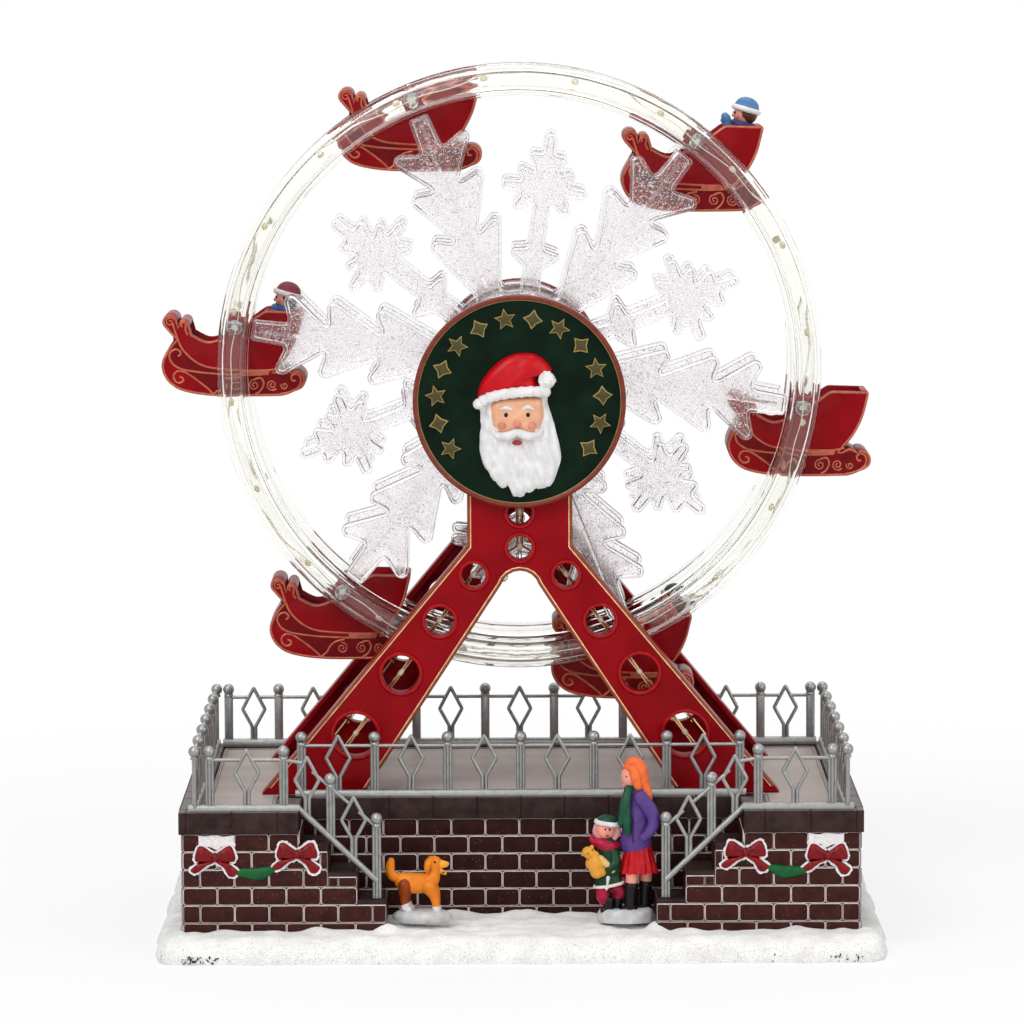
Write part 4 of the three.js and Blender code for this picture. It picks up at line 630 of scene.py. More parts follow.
    def loft(self, rows, material, apex=None, matrix=None):
        """A skin over rows of points, closed at its foot, and at its top by a flat cap or by one point."""
        n = len(rows[0])
        points = [p for row in rows for p in row]
        faces = [(r * n + i, r * n + (i + 1) % n, (r + 1) * n + (i + 1) % n, (r + 1) * n + i)
                 for r in range(len(rows) - 1) for i in range(n)]
        last = len(points) - n
        if apex is None:
            faces.append(tuple(range(last, last + n)))
        else:
            faces += [(last + i, last + (i + 1) % n, last + n) for i in range(n)]
            points.append(apex)
        faces.append(tuple(reversed(range(n))))
        self.shape(points, faces, material, matrix)
        return self

    def limb(self, places, radii, material, around=14, matrix=None):
        """A tapering rounded limb through places, with one radius at each."""
        line = smooth_line([(*p, r) for p, r in zip(places, radii)], 5)
        rings = []
        side = None
        for i, (x, y, z, r) in enumerate(line):
            before = Vector(line[max(i - 1, 0)][:3])
            after = Vector(line[min(i + 1, len(line) - 1)][:3])
            along = (after - before).normalized()
            if side is None:
                side = along.orthogonal().normalized()
            side = (side - along * side.dot(along)).normalized()
            other = along.cross(side)
            rings.append([Vector((x, y, z)) + (side * cos(a) + other * sin(a)) * r for a in angles(around)])

        def round_end(row, beside, bends):
            here = Vector(line[row][:3])
            out = (here - Vector(line[beside][:3])).normalized() * line[row][3]
            return [[here + out * sin(a) + (p - here) * cos(a) for p in rings[row]] for a in bends]

        bends = [pi / 8 * c for c in range(1, 5)]
        return self.loft(round_end(0, 1, bends[::-1]) + rings + round_end(-1, -2, bends), material, None, matrix)

    def dome(self, outline, centre, y, height, material, rings=12, power=3.0, ripple=None, matrix=None):
        """A relief that swells towards the viewer from an outline in X and Z, seen from -Y."""
        loop = list(outline)
        if area(loop) < 0:
            loop.reverse()
        cx, cz = centre

        def swell(x, z, share, lift):
            return x, y - lift - (ripple(x, z, share) if ripple else 0.0), z

        rows = []
        for r in range(rings):
            share = 1 - r / rings
            lift = height * sqrt(max(1 - share ** power, 0))
            rows.append([swell(cx + (x - cx) * share, cz + (z - cz) * share, share, lift) for x, z in loop])
        return self.loft(rows, material, swell(cx, cz, 0, height), matrix)

    def box(self, low, high, material, edge=0.25, matrix=None):
        """A block with rounded edges."""
        (x0, y0, z0), (x1, y1, z1) = low, high
        return self.plate([[(x0, z0), (x1, z0), (x1, z1), (x0, z1)]], y0, y1, material, edge, 2, matrix)

    def data(self, scale=MM, crease=38):
        """The collected shapes as one mesh, in metres."""
        bmesh.ops.remove_doubles(self.mesh, verts=self.mesh.verts, dist=0.0005)
        bmesh.ops.dissolve_degenerate(self.mesh, edges=self.mesh.edges, dist=1e-5)
        bmesh.ops.recalc_face_normals(self.mesh, faces=self.mesh.faces)
        limit = radians(crease)
        for edge in self.mesh.edges:
            edge.smooth = len(edge.link_faces) != 2 or edge.calc_face_angle(0) < limit
        for vert in self.mesh.verts:
            vert.co *= scale
        data = bpy.data.meshes.new(self.name)
        self.mesh.to_mesh(data)
        self.mesh.free()
        for material in self.materials:
            data.materials.append(material)
        return data

    def finish(self, body, replaces=(), slot=None, crease=38):
        """Makes the object and lets it ride on its body."""
        return place_piece(self.name, self.data(crease=crease), body, replaces)


def place_piece(name, data, body, replaces=()):
    holder = bpy.data.objects.new(name, data)
    bpy.context.scene.collection.objects.link(holder)
    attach(holder, body)
    if replaces:
        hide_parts(*replaces)
    return holder


def moved(x=0.0, y=0.0, z=0.0, about_y=0.0, about_z=0.0, about_x=0.0):
    """A place, after turns in degrees."""
    return (Matrix.Translation((x, y, z)) @ Matrix.Rotation(radians(about_z), 4, "Z")
            @ Matrix.Rotation(radians(about_y), 4, "Y") @ Matrix.Rotation(radians(about_x), 4, "X"))


def dress(material, *nodes):
    """Gives carried-over CAD nodes their material."""
    for name in nodes:
        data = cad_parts[name].data
        data.materials.clear()
        data.materials.append(material)


# Geometry Nodes

def group_with(name, inputs):
    """An empty node group with a geometry input, named inputs and a geometry output."""
    group = bpy.data.node_groups.new(name, "GeometryNodeTree")
    group.interface.new_socket("Geometry", in_out="INPUT", socket_type="NodeSocketGeometry")
    for label, kind in inputs:
        group.interface.new_socket(label, in_out="INPUT", socket_type=kind)
    group.interface.new_socket("Geometry", in_out="OUTPUT", socket_type="NodeSocketGeometry")
    start = group.nodes.new("NodeGroupInput")
    end = group.nodes.new("NodeGroupOutput")
    return group, start, end


def settle(group, holder, values):
    """Runs a node group on an object and gives the result as a plain mesh."""
    modifier = holder.modifiers.new(group.name, "NODES")
    modifier.node_group = group
    sockets = {item.name: item.identifier for item in group.interface.items_tree
               if item.item_type == "SOCKET" and item.in_out == "INPUT"}
    for label, value in values.items():
        modifier[sockets[label]] = value
    bpy.context.view_layer.update()
    depsgraph = bpy.context.evaluated_depsgraph_get()
    data = bpy.data.meshes.new_from_object(holder.evaluated_get(depsgraph), depsgraph=depsgraph)
    holder.modifiers.remove(modifier)
    return data


def hold(data, name="pattern"):
    holder = bpy.data.objects.new(name, data)
    bpy.context.scene.collection.objects.link(holder)
    return holder


def made_real(group, start, end, setting):
    """Ends a group: the instances become real and take the finish."""
    real = add(group, "GeometryNodeRealizeInstances", links={"Geometry": setting})
    painted = add(group, "GeometryNodeSetMaterial", links={
        "Geometry": real, "Material": start.outputs["Finish"]})
    wire(group, end, {"Geometry": painted})
    return group


def scatter_group():
    """Sets a template on every point, turned and stretched by the point's attributes."""
    group, start, end = group_with("set on places", [
        ("Template", "NodeSocketObject"), ("Finish", "NodeSocketMaterial"), ("Size", "NodeSocketFloat")])
    source = add(group, "GeometryNodeObjectInfo", links={"Object": start.outputs["Template"]})
    turn = add(group, "GeometryNodeInputNamedAttribute", {"Name": "turn"}, data_type="FLOAT_VECTOR")
    stretch = add(group, "GeometryNodeInputNamedAttribute", {"Name": "stretch"}, data_type="FLOAT_VECTOR")
    sized = add(group, "ShaderNodeVectorMath", links={0: stretch.outputs["Attribute"], "Scale": start.outputs["Size"]},
                operation="SCALE")
    setting = add(group, "GeometryNodeInstanceOnPoints", links={
        "Points": start.outputs["Geometry"], "Instance": source.outputs["Geometry"],
        "Rotation": turn.outputs["Attribute"], "Scale": sized})
    return made_real(group, start, end, setting)


def wheel_group():
    """Sets a template round the Y axis at even angles."""
    group, start, end = group_with("set round the axle", [
        ("Count", "NodeSocketInt"), ("First Angle", "NodeSocketFloat"), ("Radius", "NodeSocketFloat"),
        ("Finish", "NodeSocketMaterial")])
    line = add(group, "GeometryNodeMeshLine", {"Offset": (0, 0, 0)}, {"Count": start.outputs["Count"]})
    index = add(group, "GeometryNodeInputIndex")
    step = add(group, "ShaderNodeMath", {0: TAU}, {1: start.outputs["Count"]}, operation="DIVIDE")
    angle = add(group, "ShaderNodeMath", links={0: index, 1: step}, operation="MULTIPLY")
    whole = add(group, "ShaderNodeMath", links={0: angle, 1: start.outputs["First Angle"]},
                operation="ADD")
    back = add(group, "ShaderNodeMath", {1: -1.0}, {0: whole}, operation="MULTIPLY")
    turn = add(group, "ShaderNodeCombineXYZ", links={"Y": back})
    across = add(group, "ShaderNodeMath", links={0: whole}, operation="COSINE")
    rise = add(group, "ShaderNodeMath", links={0: whole}, operation="SINE")
    x = add(group, "ShaderNodeMath", links={0: across, 1: start.outputs["Radius"]}, operation="MULTIPLY")
    z = add(group, "ShaderNodeMath", links={0: rise, 1: start.outputs["Radius"]}, operation="MULTIPLY")
    spot = add(group, "ShaderNodeCombineXYZ", links={"X": x, "Z": z})
    placed = add(group, "GeometryNodeSetPosition", links={"Geometry": line, "Position": spot})
    setting = add(group, "GeometryNodeInstanceOnPoints", links={
        "Points": placed, "Instance": start.outputs["Geometry"], "Rotation": turn})
    return made_real(group, start, end, setting)


GROUPS = {}


def on_places(template, material, places, size=1.0):
    """One mesh with the template at every (place, turn, stretch); all in millimetres."""
    if "places" not in GROUPS:
        GROUPS["places"] = scatter_group()
    spots = bpy.data.meshes.new("places")
    spots.from_pydata([tuple(p) for p, _, _ in places], [], [])
    for name, column in (("turn", 1), ("stretch", 2)):
        attribute = spots.attributes.new(name, "FLOAT_VECTOR", "POINT")
        attribute.data.foreach_set("vector", [v for row in places for v in row[column]])
    spot_holder = hold(spots)
    template_holder = hold(template, "template")
    result = settle(GROUPS["places"], spot_holder, {"Template": template_holder, "Finish": material, "Size": size})
    bpy.data.objects.remove(spot_holder)
    bpy.data.objects.remove(template_holder)
    return result


def round_axle(template, material, count, first_degrees, radius):
    """One mesh with the template set at even angles round the Y axis."""
    if "axle" not in GROUPS:
        GROUPS["axle"] = wheel_group()
    holder = hold(template)
    result = settle(GROUPS["axle"], holder, {
        "Count": count, "First Angle": radians(first_degrees), "Radius": radius, "Finish": material})
    bpy.data.objects.remove(holder)
    return result


# Wheel

BIG_ARM = [
    (0.295, 0.34), (0.524, 0.77, 0.18), (0.516, 0.307), (0.708, 0.783, 0.18), (0.72, 0.307),
    (0.868, 0.835, 0.18), (0.867, 0.3), (1.0, 0.255)]
SMALL_ARM = [
    (0.31, 0.235), (0.403, 0.2), (0.462, 0.44, 0.119), (0.492, 0.19), (0.669, 0.19), (0.653, 0.548, 0.119),
    (0.702, 0.524), (0.729, 0.85, 0.137), (0.756, 0.536), (0.792, 0.548, 0.113), (0.793, 0.256),
    (0.857, 0.321, 0.113), (0.876, 0.143), (0.936, 0.0, 0.137)]


def ring_profile(outer, band, depth):
    """Section of a ring as (radius, depth): a channel, open at its back, with a rolled bead at both edges."""
    inner = outer - band
    return [
        (outer, depth), (outer, 1.8), (outer - 0.5, 0.7), (outer - 1.5, 0.15), (outer - 2.6, 0.7), (outer - 3.0, 1.0),
        (outer - 3.6, 0.5), (outer - 4.6, 0.2), (inner + 4.6, 0.2), (inner + 3.6, 0.5), (inner + 3.0, 1.0),
        (inner + 2.6, 0.7), (inner + 1.4, 0.15), (inner + 0.5, 0.7), (inner, 1.8), (inner, depth),
        (inner + 1.6, depth), (inner + 1.6, 2.6), (inner + 2.6, 1.9), (outer - 2.6, 1.9), (outer - 1.6, 2.6),
        (outer - 1.6, depth), (outer, depth)]


def arm_outline(table, long, half):
    """One side of a snowflake arm and its mirror, along X."""
    side = [(share * long, -across * half, *[r * half for r in radius]) for share, across, *radius in table]
    again = side[:-1] if table[-1][1] == 0.0 else side
    return side + [(x, -y, *r) for x, y, *r in reversed(again)]


def hub_arc(a, b, radius):
    """The hub between the last point of one arm and the first of the next."""
    start, end = atan2(a[1], a[0]), atan2(b[1], b[0])
    while end < start:
        end += TAU
    return arc(0, 0, radius, degrees(start) + 1.5, degrees(end) - 1.5, 3)


def snowflake_outline(ring_inner, hub_radius):
    """Twelve arms, big and small by turns, joined by a round hub."""
    points = []
    for i in range(12):
        angle = radians(ARM_ANGLE + 30 * i)
        entries = arm_outline(SMALL_ARM, 94.4, 16.8) if i % 2 else arm_outline(BIG_ARM, ring_inner - 0.8, 15.3)
        c, s = cos(angle), sin(angle)
        arm = [(x * c - y * s, x * s + y * c) for x, y in lobed(entries, 11)]
        if points:
            points += hub_arc(points[-1], arm[0], hub_radius)
        points += arm
    points += hub_arc(points[-1], points[0], hub_radius)
    return eased(points, 1.6, 6)


def ring_planes(sizes):
    """For each half of the wheel: its name, -1 at the front and 1 at the rear, and the middle of its depth."""
    half = sizes.ring_spacing / MM / 2
    return ("front", -1, PLANE_Y - half), ("rear", 1, PLANE_Y + half)


class FERRIS_OT_rings(bpy.types.Operator):
    """Moulds the two clear rings, with a boss at each pivot pin"""
    bl_idname = "ferris.rings"
    bl_label = "Clear rings"

    def execute(self, context):
        sizes = context.scene.ferris_wheel
        clear = clear_ring()
        outer, band, depth = (v / MM for v in (sizes.ring_outer, sizes.ring_band, sizes.ring_depth))
        for half, side, middle in ring_planes(sizes):
            face = middle + side * depth / 2
            piece = Piece(half + "_ring_moulding")
            turn = moved(y=face, z=AXLE_Z, about_x=-90 if side < 0 else 90)
            piece.turned(ring_profile(outer, band, depth), clear, 160, turn)
            boss = Piece("boss")
            boss.turned([(0, 0), (2.6, 0), (2.9, 0.3), (2.9, 1.5), (0, 1.5)], clear, 20, moved(about_x=-90))
            piece.ring_of(boss, clear, 6, ARM_ANGLE, PIN_RADIUS, face - (0.6 if side < 0 else 0.9))
            piece.finish("wheel", [half + "_ring"])
        return {"FINISHED"}


class FERRIS_OT_ring_lights(bpy.types.Operator):
    """Lays the wavy lead and its bulbs inside each ring"""
    bl_idname = "ferris.ring_lights"
    bl_label = "Ring lights"

    def execute(self, context):
        sizes = context.scene.ferris_wheel
        wire = lead_wire()
        glass = glow_bulb()
        for half, _, y in ring_planes(sizes):
            piece = Piece(half + "_ring_lights_string")
            path = []
            for a in angles(360):
                radius = 113.0 - 3.2 * sin(3 * (a - radians(ARM_ANGLE - 30))) ** 2 + 0.45 * sin(27 * a)
                path.append((radius * cos(a), y + 0.5 * sin(11 * a), AXLE_Z + radius * sin(a)))
            piece.tubes([path], 0.2, wire, closed=True, sides=2)
            bulb = Piece("bulb")
            bulb.ball((0, 0, 0), (0.8, 0.8, 1.5), glass, rows=8, around=10)
            piece.ring_of(bulb, glass, sizes.bulb_count, ARM_ANGLE + 9, 110.9, y)
            piece.finish("wheel", [half + "_ring_lights"])
        return {"FINISHED"}


class FERRIS_OT_snowflakes(bpy.types.Operator):
    """Moulds the glitter snowflakes that hold the rings on the hub"""
    bl_idname = "ferris.snowflakes"
    bl_label = "Snowflakes"

    def execute(self, context):
        sizes = context.scene.ferris_wheel
        rim = flake_edge()
        glitter = flake_glitter()
        inner = (sizes.ring_outer - sizes.ring_band) / MM
        thick = sizes.flake_thickness / MM
        outline = snowflake_outline(inner, 29.6)
        bore = arc(0, 0, 12.3, 0, 352.5, 47)
        for half, _, middle in ring_planes(sizes):
            y = middle - thick / 2
            piece = Piece(half + "_snowflake_moulding")
            piece.plate([outline, bore], y, y + thick, rim, 0.6, 3, moved(z=AXLE_Z), glitter, 0.3, 0.8)
            band = [(28.4, 0.6), (28.8, 0.1), (29.6, 0), (31.2, 0), (31.8, 0.3), (31.8, 1.2), (28.4, 1.2), (28.4, 0.6)]
            piece.turned(band, rim, 96, moved(y=y - 0.5, z=AXLE_Z, about_x=-90))
            rib = Piece("rib")
            rib.box((33.0, 0, -0.8), (100.0, 0.5, 0.8), rim, 0.12)
            piece.ring_of(rib, rim, 6, ARM_ANGLE, 0.0, y - 0.15)
            piece.finish("wheel", [half + "_snowflake"])
        return {"FINISHED"}


# Sleighs and riders, drawn from the pivot pin

SLEIGH_FRONT = [
    (-23.2, -5.3), (-26.3, -9.2), (-28.5, -13.9), (-28.2, -18.2), (-25.4, -22.4), (-19.9, -25.4), (-7.7, -27.2),
    (14.0, -27.3), (18.8, -26.9), (22.4, -25.5)]
SLEIGH_BACK = [
    (21.6, -17.8), (18.3, -16.3), (15.0, -17.7), (19.9, -11.9), (23.5, -5.0), (25.4, 2.0), (25.9, 4.6), (25.2, 5.4)]
SLEIGH_TOP = [
    (12.2, 5.8), (10.0, 5.1), (3.9, 0.7), (0.0, -1.6), (-5.8, -4.7), (-11.1, -5.9), (-16.6, -3.3)]
TAIL_SCROLL = (22.8, -21.1, 4.0)
SIDE_SCROLL = (-19.9, 0.6, 2.1)
PROW_SCROLL = (-25.2, 1.5, 3.0)
PROW_DIP = (-22.1, 0.2)
SLEIGH_LINES = [
    [(-24.2, 1.2), (-23.8, -0.4), (-22.6, -4.2), (-20.9, -8.4), (-17.9, -11.9), (-14.7, -14.3), (-11.2, -15.8),
     (-6.0, -16.6), (4.0, -17.2), (12.4, -17.2), (16.5, -16.4)],
    [(-22.2, -11.8), (-21.2, -10.7), (-21.8, -9.5), (-23.2, -9.0), (-25.0, -10.0), (-25.6, -11.9), (-24.6, -14.3),
     (-22.6, -15.9), (-20.3, -16.8), (-16.7, -17.5), (-9.2, -18.4), (4.0, -19.0), (12.4, -18.7)],
    [(-21.8, -19.6), (-20.6, -20.0), (-20.4, -21.3), (-22.0, -22.0), (-23.6, -21.0), (-24.0, -19.1), (-22.6, -17.5),
     (-19.9, -17.7), (-17.5, -19.1), (-14.3, -21.4), (-10.4, -24.6), (-8.8, -26.4)],
    [(-20.6, -0.4), (-20.9, 0.6), (-20.0, 1.4), (-19.1, 0.6), (-19.3, -1.6), (-18.4, -3.6)],
    [(17.0, -26.4), (20.6, -25.6), (23.4, -24.2), (24.8, -22.2), (24.8, -20.0), (23.2, -18.6), (21.4, -19.4),
     (21.6, -21.2), (23.0, -21.2)],
    [(7.2, -20.6), (9.6, -20.2), (10.6, -22.4), (9.4, -25.0), (7.4, -26.4)],
    [(-8.6, -26.2), (-6.4, -24.4), (-5.2, -22.2), (-3.0, -20.4), (0.4, -19.6)]]
SLEIGH_SPIRALS = [
    (-25.2, 1.5, 1.9, 0.3, 20, 1.35), (7.0, -22.9, 2.2, 0.3, 70, 1.6), (13.8, -22.9, 2.2, 0.3, 320, -1.7),
    (18.6, -23.2, 1.5, 0.3, 150, 1.3), (-0.6, -22.9, 2.2, 0.3, 100, -1.6)]
SLEIGH_DARK_FIELDS = [
    [(-24.0, -2.6), (-22.6, -4.6), (-20.9, -8.8), (-17.9, -12.3), (-14.7, -14.7), (-11.2, -16.2), (-6.0, -17.0),
     (-6.0, -18.2), (-9.2, -18.1), (-16.7, -17.2), (-20.3, -16.5), (-22.6, -15.6), (-24.3, -14.0), (-25.2, -11.9),
     (-24.7, -10.4), (-25.8, -8.4), (-24.0, -5.6)],
    [(-19.9, -17.9), (-17.5, -19.3), (-14.3, -21.6), (-10.4, -24.8), (-9.0, -26.3), (17.0, -26.4), (22.0, -25.0),
     (24.4, -21.6), (23.4, -18.8), (19.6, -18.0), (12.4, -18.9), (4.0, -19.2), (-9.2, -18.6), (-16.7, -17.7)]]


SLEIGH_HOLLOW = [
    (23.2, 5.4), (22.6, 2.0), (20.9, -4.2), (17.8, -9.2), (5.6, -9.2), (5.2, -16.2), (-24.0, -16.2), (-22.9, -10.6),
    (-18.7, -4.0), PROW_DIP, PROW_SCROLL]


def sleigh_outline(upper):
    """The sleigh's floor, tail and back, closed by the upper line it is given."""
    return lobed(smooth_line(SLEIGH_FRONT, 4) + [TAIL_SCROLL] + smooth_line(SLEIGH_BACK, 3) + upper, 14)


def sleigh_side():
    """Outline of a sleigh's side, with scrolls at the prow, the side and the tail."""
    return sleigh_outline(smooth_line(SLEIGH_TOP, 4) + [SIDE_SCROLL, PROW_DIP, PROW_SCROLL])


def sleigh_trim(piece, face, out, copper, wash):
    """Raised copper lines, scrolls and the dark lower field on one side."""
    y = face - out * 0.08

    def line(points, radius=0.46, closed=False):
        piece.tubes([[(x, y, z) for x, z in points]], radius, copper, closed, 2)

    line(moved_in(sleigh_side(), 0.6), 0.48, True)
    for stroke in SLEIGH_LINES:
        line(smooth_line(stroke, 4))
    for cx, cz, big, small, start, turns in SLEIGH_SPIRALS:
        line(spiral(cx, cz, big, small, start, turns), 0.36)
    bar = [(2.0, -19.0), (12.8, -18.6), (12.8, -17.0), (2.0, -17.0)]
    piece.plate([bar], *sorted((face - out * 0.2, face + out * 0.35)), copper, 0.3, 2)
    for field in SLEIGH_DARK_FIELDS:
        piece.plate([field], *sorted((face - out * 0.3, face + out * 0.04)), wash, 0.02, 1)


class FERRIS_OT_sleighs(bpy.types.Operator):
    """Moulds one sleigh with its trim and hangs a copy on each pin"""
    bl_idname = "ferris.sleighs"
    bl_label = "Sleighs"

    def execute(self, context):
        paints = context.scene.ferris_finishes
        red = red_gloss(paints)
        copper = copper_trim(paints)
        wash = dark_red_recess(paints)
        metal = plain_metal("polished_pin_steel", "#b9bbc0", 0.28)
        template = Piece("sleigh")
        side = sleigh_side()
        template.plate([side], -13.0, -11.0, red, 0.6, 3)
        template.plate([side], 11.0, 13.0, red, 0.6, 3)
        template.plate([sleigh_outline(SLEIGH_HOLLOW)], -11.3, 11.3, red, 0.3, 2)
        template.plate([arc(*SIDE_SCROLL, 0, 350, 24)], -11.2, 11.2, red, 0.1, 1)
        for side in (-1, 1):
            template.turned([(1.7, 3.0), (1.7, 0.3), (2.0, 0), (3.5, 0), (3.9, 0.4), (3.9, 3.0), (1.7, 3.0)], red, 28,
                            moved(y=side * 13.6, about_x=side * 90))
            sleigh_trim(template, side * 13.0, side, copper, wash)
        template.tubes([[(0, -12.9, 0), (0, 12.9, 0)]], 1.65, metal, sides=4)
        data = template.data()
        for i in range(6):
            angle = radians(ARM_ANGLE + 60 * i)
            copy = data.copy()
            copy.transform(Matrix.Translation((PIN_RADIUS * MM * cos(angle), PLANE_Y * MM,
                                               (AXLE_Z + PIN_RADIUS * sin(angle)) * MM)))
            name = "sleigh_" + str(i + 1)
            place_piece(name + "_moulding", copy, name + "_body", [name])
        bpy.data.meshes.remove(data)
        return {"FINISHED"}


SKIN = "#ee9f8c"


def head(piece, x, y, z, radius, turn, skin, hair, hat, brim):
    """A small round head that looks along the turn, with dot eyes, a nose, a smile, hair and a hat."""
    place = moved(x, y, z, about_z=turn)

    def at(u, v, w):
        return place @ Vector((u * radius, v * radius, w * radius))

    def lump(u, v, w, radii, material, angle=0, rows=6, around=8):
        piece.ball(at(u, v, w), [r * radius for r in radii], material, (0, 0, angle), rows, around)

    eye, lip, blush = face_paints()
    lump(0, 0, 0, (0.94, 0.9, 1), skin, turn, 16, 22)
    for side in (-1, 1):
        lump(-0.83, side * 0.34, 0.12, (0.12, 0.1, 0.13), eye)
        lump(-0.72, side * 0.52, -0.2, (0.12, 0.2, 0.17), blush, turn)
    lump(-0.95, 0, -0.08, (0.16, 0.16, 0.16), skin, 0, 8, 10)
    smile = [at(-0.86, side * 0.2, 0.08 * abs(side) - 0.42) for side in (-1, -0.5, 0, 0.5, 1)]
    piece.tubes([smile], radius * 0.06, lip, sides=1)
    lump(0.16, 0, 0.06, (0.95, 1, 0.98), hair, turn, 12, 18)
    crown = [(radius * 1.08, 0), (radius * 1.06, radius * 0.35), (radius * 0.86, radius * 0.78),
             (radius * 0.45, radius * 1.06), (0, radius * 1.14)]
    cap = place @ moved(x=radius * 0.1, z=radius * 0.28, about_y=16)
    piece.turned([(0, 0)] + smooth_line(crown, 4), hat, 24, cap)
    edge = [cap @ Vector((cos(a) * radius * 1.04, sin(a) * radius * 1.04, radius * 0.08))
            for a in angles(24)]
    piece.tubes([edge], radius * 0.24, brim, True, 3)


class FERRIS_OT_riders(bpy.types.Operator):
    """Models the three seated riders with their hats, scarves and mittens"""
    bl_idname = "ferris.riders"
    bl_label = "Riders"

    def execute(self, context):
        skin = enamel("skin_enamel", SKIN, 0.45, 0.92)
        hair = enamel("brown_hair_enamel", "#5b3a26", 0.5)
        fleece = enamel("white_fleece_enamel", "#ece4e2", 0.6)
        looks = [
            ("rider_in_blue_hat", 1, "#3c5f96", "#3b3d78", "#4f7fae"),
            ("rider_in_blue_scarf", 3, "#b83a44", "#3f63a4", "#8f3a4a"),
            ("rider_in_green_coat", 5, "#2f6b45", "#b5323a", "#35614a")]
        for name, number, coat_hex, scarf_hex, hat_hex in looks:
            angle = radians(ARM_ANGLE + 60 * (number - 1))
            px, pz = PIN_RADIUS * cos(angle), AXLE_Z + PIN_RADIUS * sin(angle)
            coat, scarf, hat = (enamel(part + "_enamel_" + str(number), value) for part, value in (
                ("coat", coat_hex), ("scarf", scarf_hex), ("hat", hat_hex)))
            piece = Piece(name + "_figure")
            at = moved(px, PLANE_Y, pz)
            piece.limb([(15.2, 0, -7.6), (15.4, 0, -3.0), (16.6, 0, 2.0), (18.2, 0, 5.2)], [4.6, 5.6, 5.0, 3.2], coat,
                       18, at)
            head(piece, px + 19.2, PLANE_Y, pz + 9.6, 4.6, 6, skin, hair, hat, fleece)
            ring = [(3.9 * cos(a) + 18.4, 3.9 * sin(a), 5.4 - 0.9 * cos(a))
                    for a in angles(18)]
            piece.tubes([[at @ Vector(p) for p in ring]], 1.35, scarf, True, 3)
            piece.limb([(15.4, -3.2, 4.6), (13.6, -4.2, 1.8), (13.2, -4.4, -1.6)], [1.5, 1.5, 1.2], scarf, 10, at)
            wrist, palm, lift = (1.0, 2.4, -4.4) if number == 3 else (4.2, 6.6, 0)
            for side in (-1, 1):
                piece.limb([(17.2, side * 4.2, 3.0), (15.2, side * 5.4, 0.4), (12.8, side * 5.0, wrist),
                            (12.2, side * 4.4, palm)], [2.2, 2.1, 1.8, 1.5], coat, 12, at)
                piece.ball(at @ Vector((12.0, side * 4.3, 8.0 + lift)), (1.7, 1.6, 2.1), hat, (0, -20, 0), 10, 14)
                piece.ball(at @ Vector((10.9, side * 3.6, 7.2 + lift)), (0.9, 0.8, 1.1), hat, (0, 30, 0), 8, 10)
            piece.finish("sleigh_" + str(number) + "_body", [name])
        return {"FINISHED"}


# Frames, plaque and their lights

NECK_HOLES = (147.9, 161.2)
LEG_HOLES = ((0.0, 4.6), (0.2106, 5.5), (0.4531, 7.1), (0.7343, 8.2))      # share of the leg's length, radius
FRAME_FOOT = 53.7
LINE_FOOT = 56.0        # where the gold edge lines end
FRAME_HOLES = [(0.0, z, 4.6) for z in NECK_HOLES] + [
    (flip * (17.55 + share * 61.75), DECK_TOP + 83.2 * (1 - share), radius)
    for share, radius in LEG_HOLES for flip in (-1, 1)]


def frame_outline():
    """Two legs, a neck and a round head."""
    points = [(59.8, FRAME_FOOT), (98.8, FRAME_FOOT), (20.0, 148.6)]
    points += arc(0, PLAQUE_Z, 34.0, -53.97, 233.97, 44)
    points += [(-x, z) for x, z in reversed(points[:3])]
    return points + arc(0, 131.6, 7.5, 163.7, 16.3, 8)


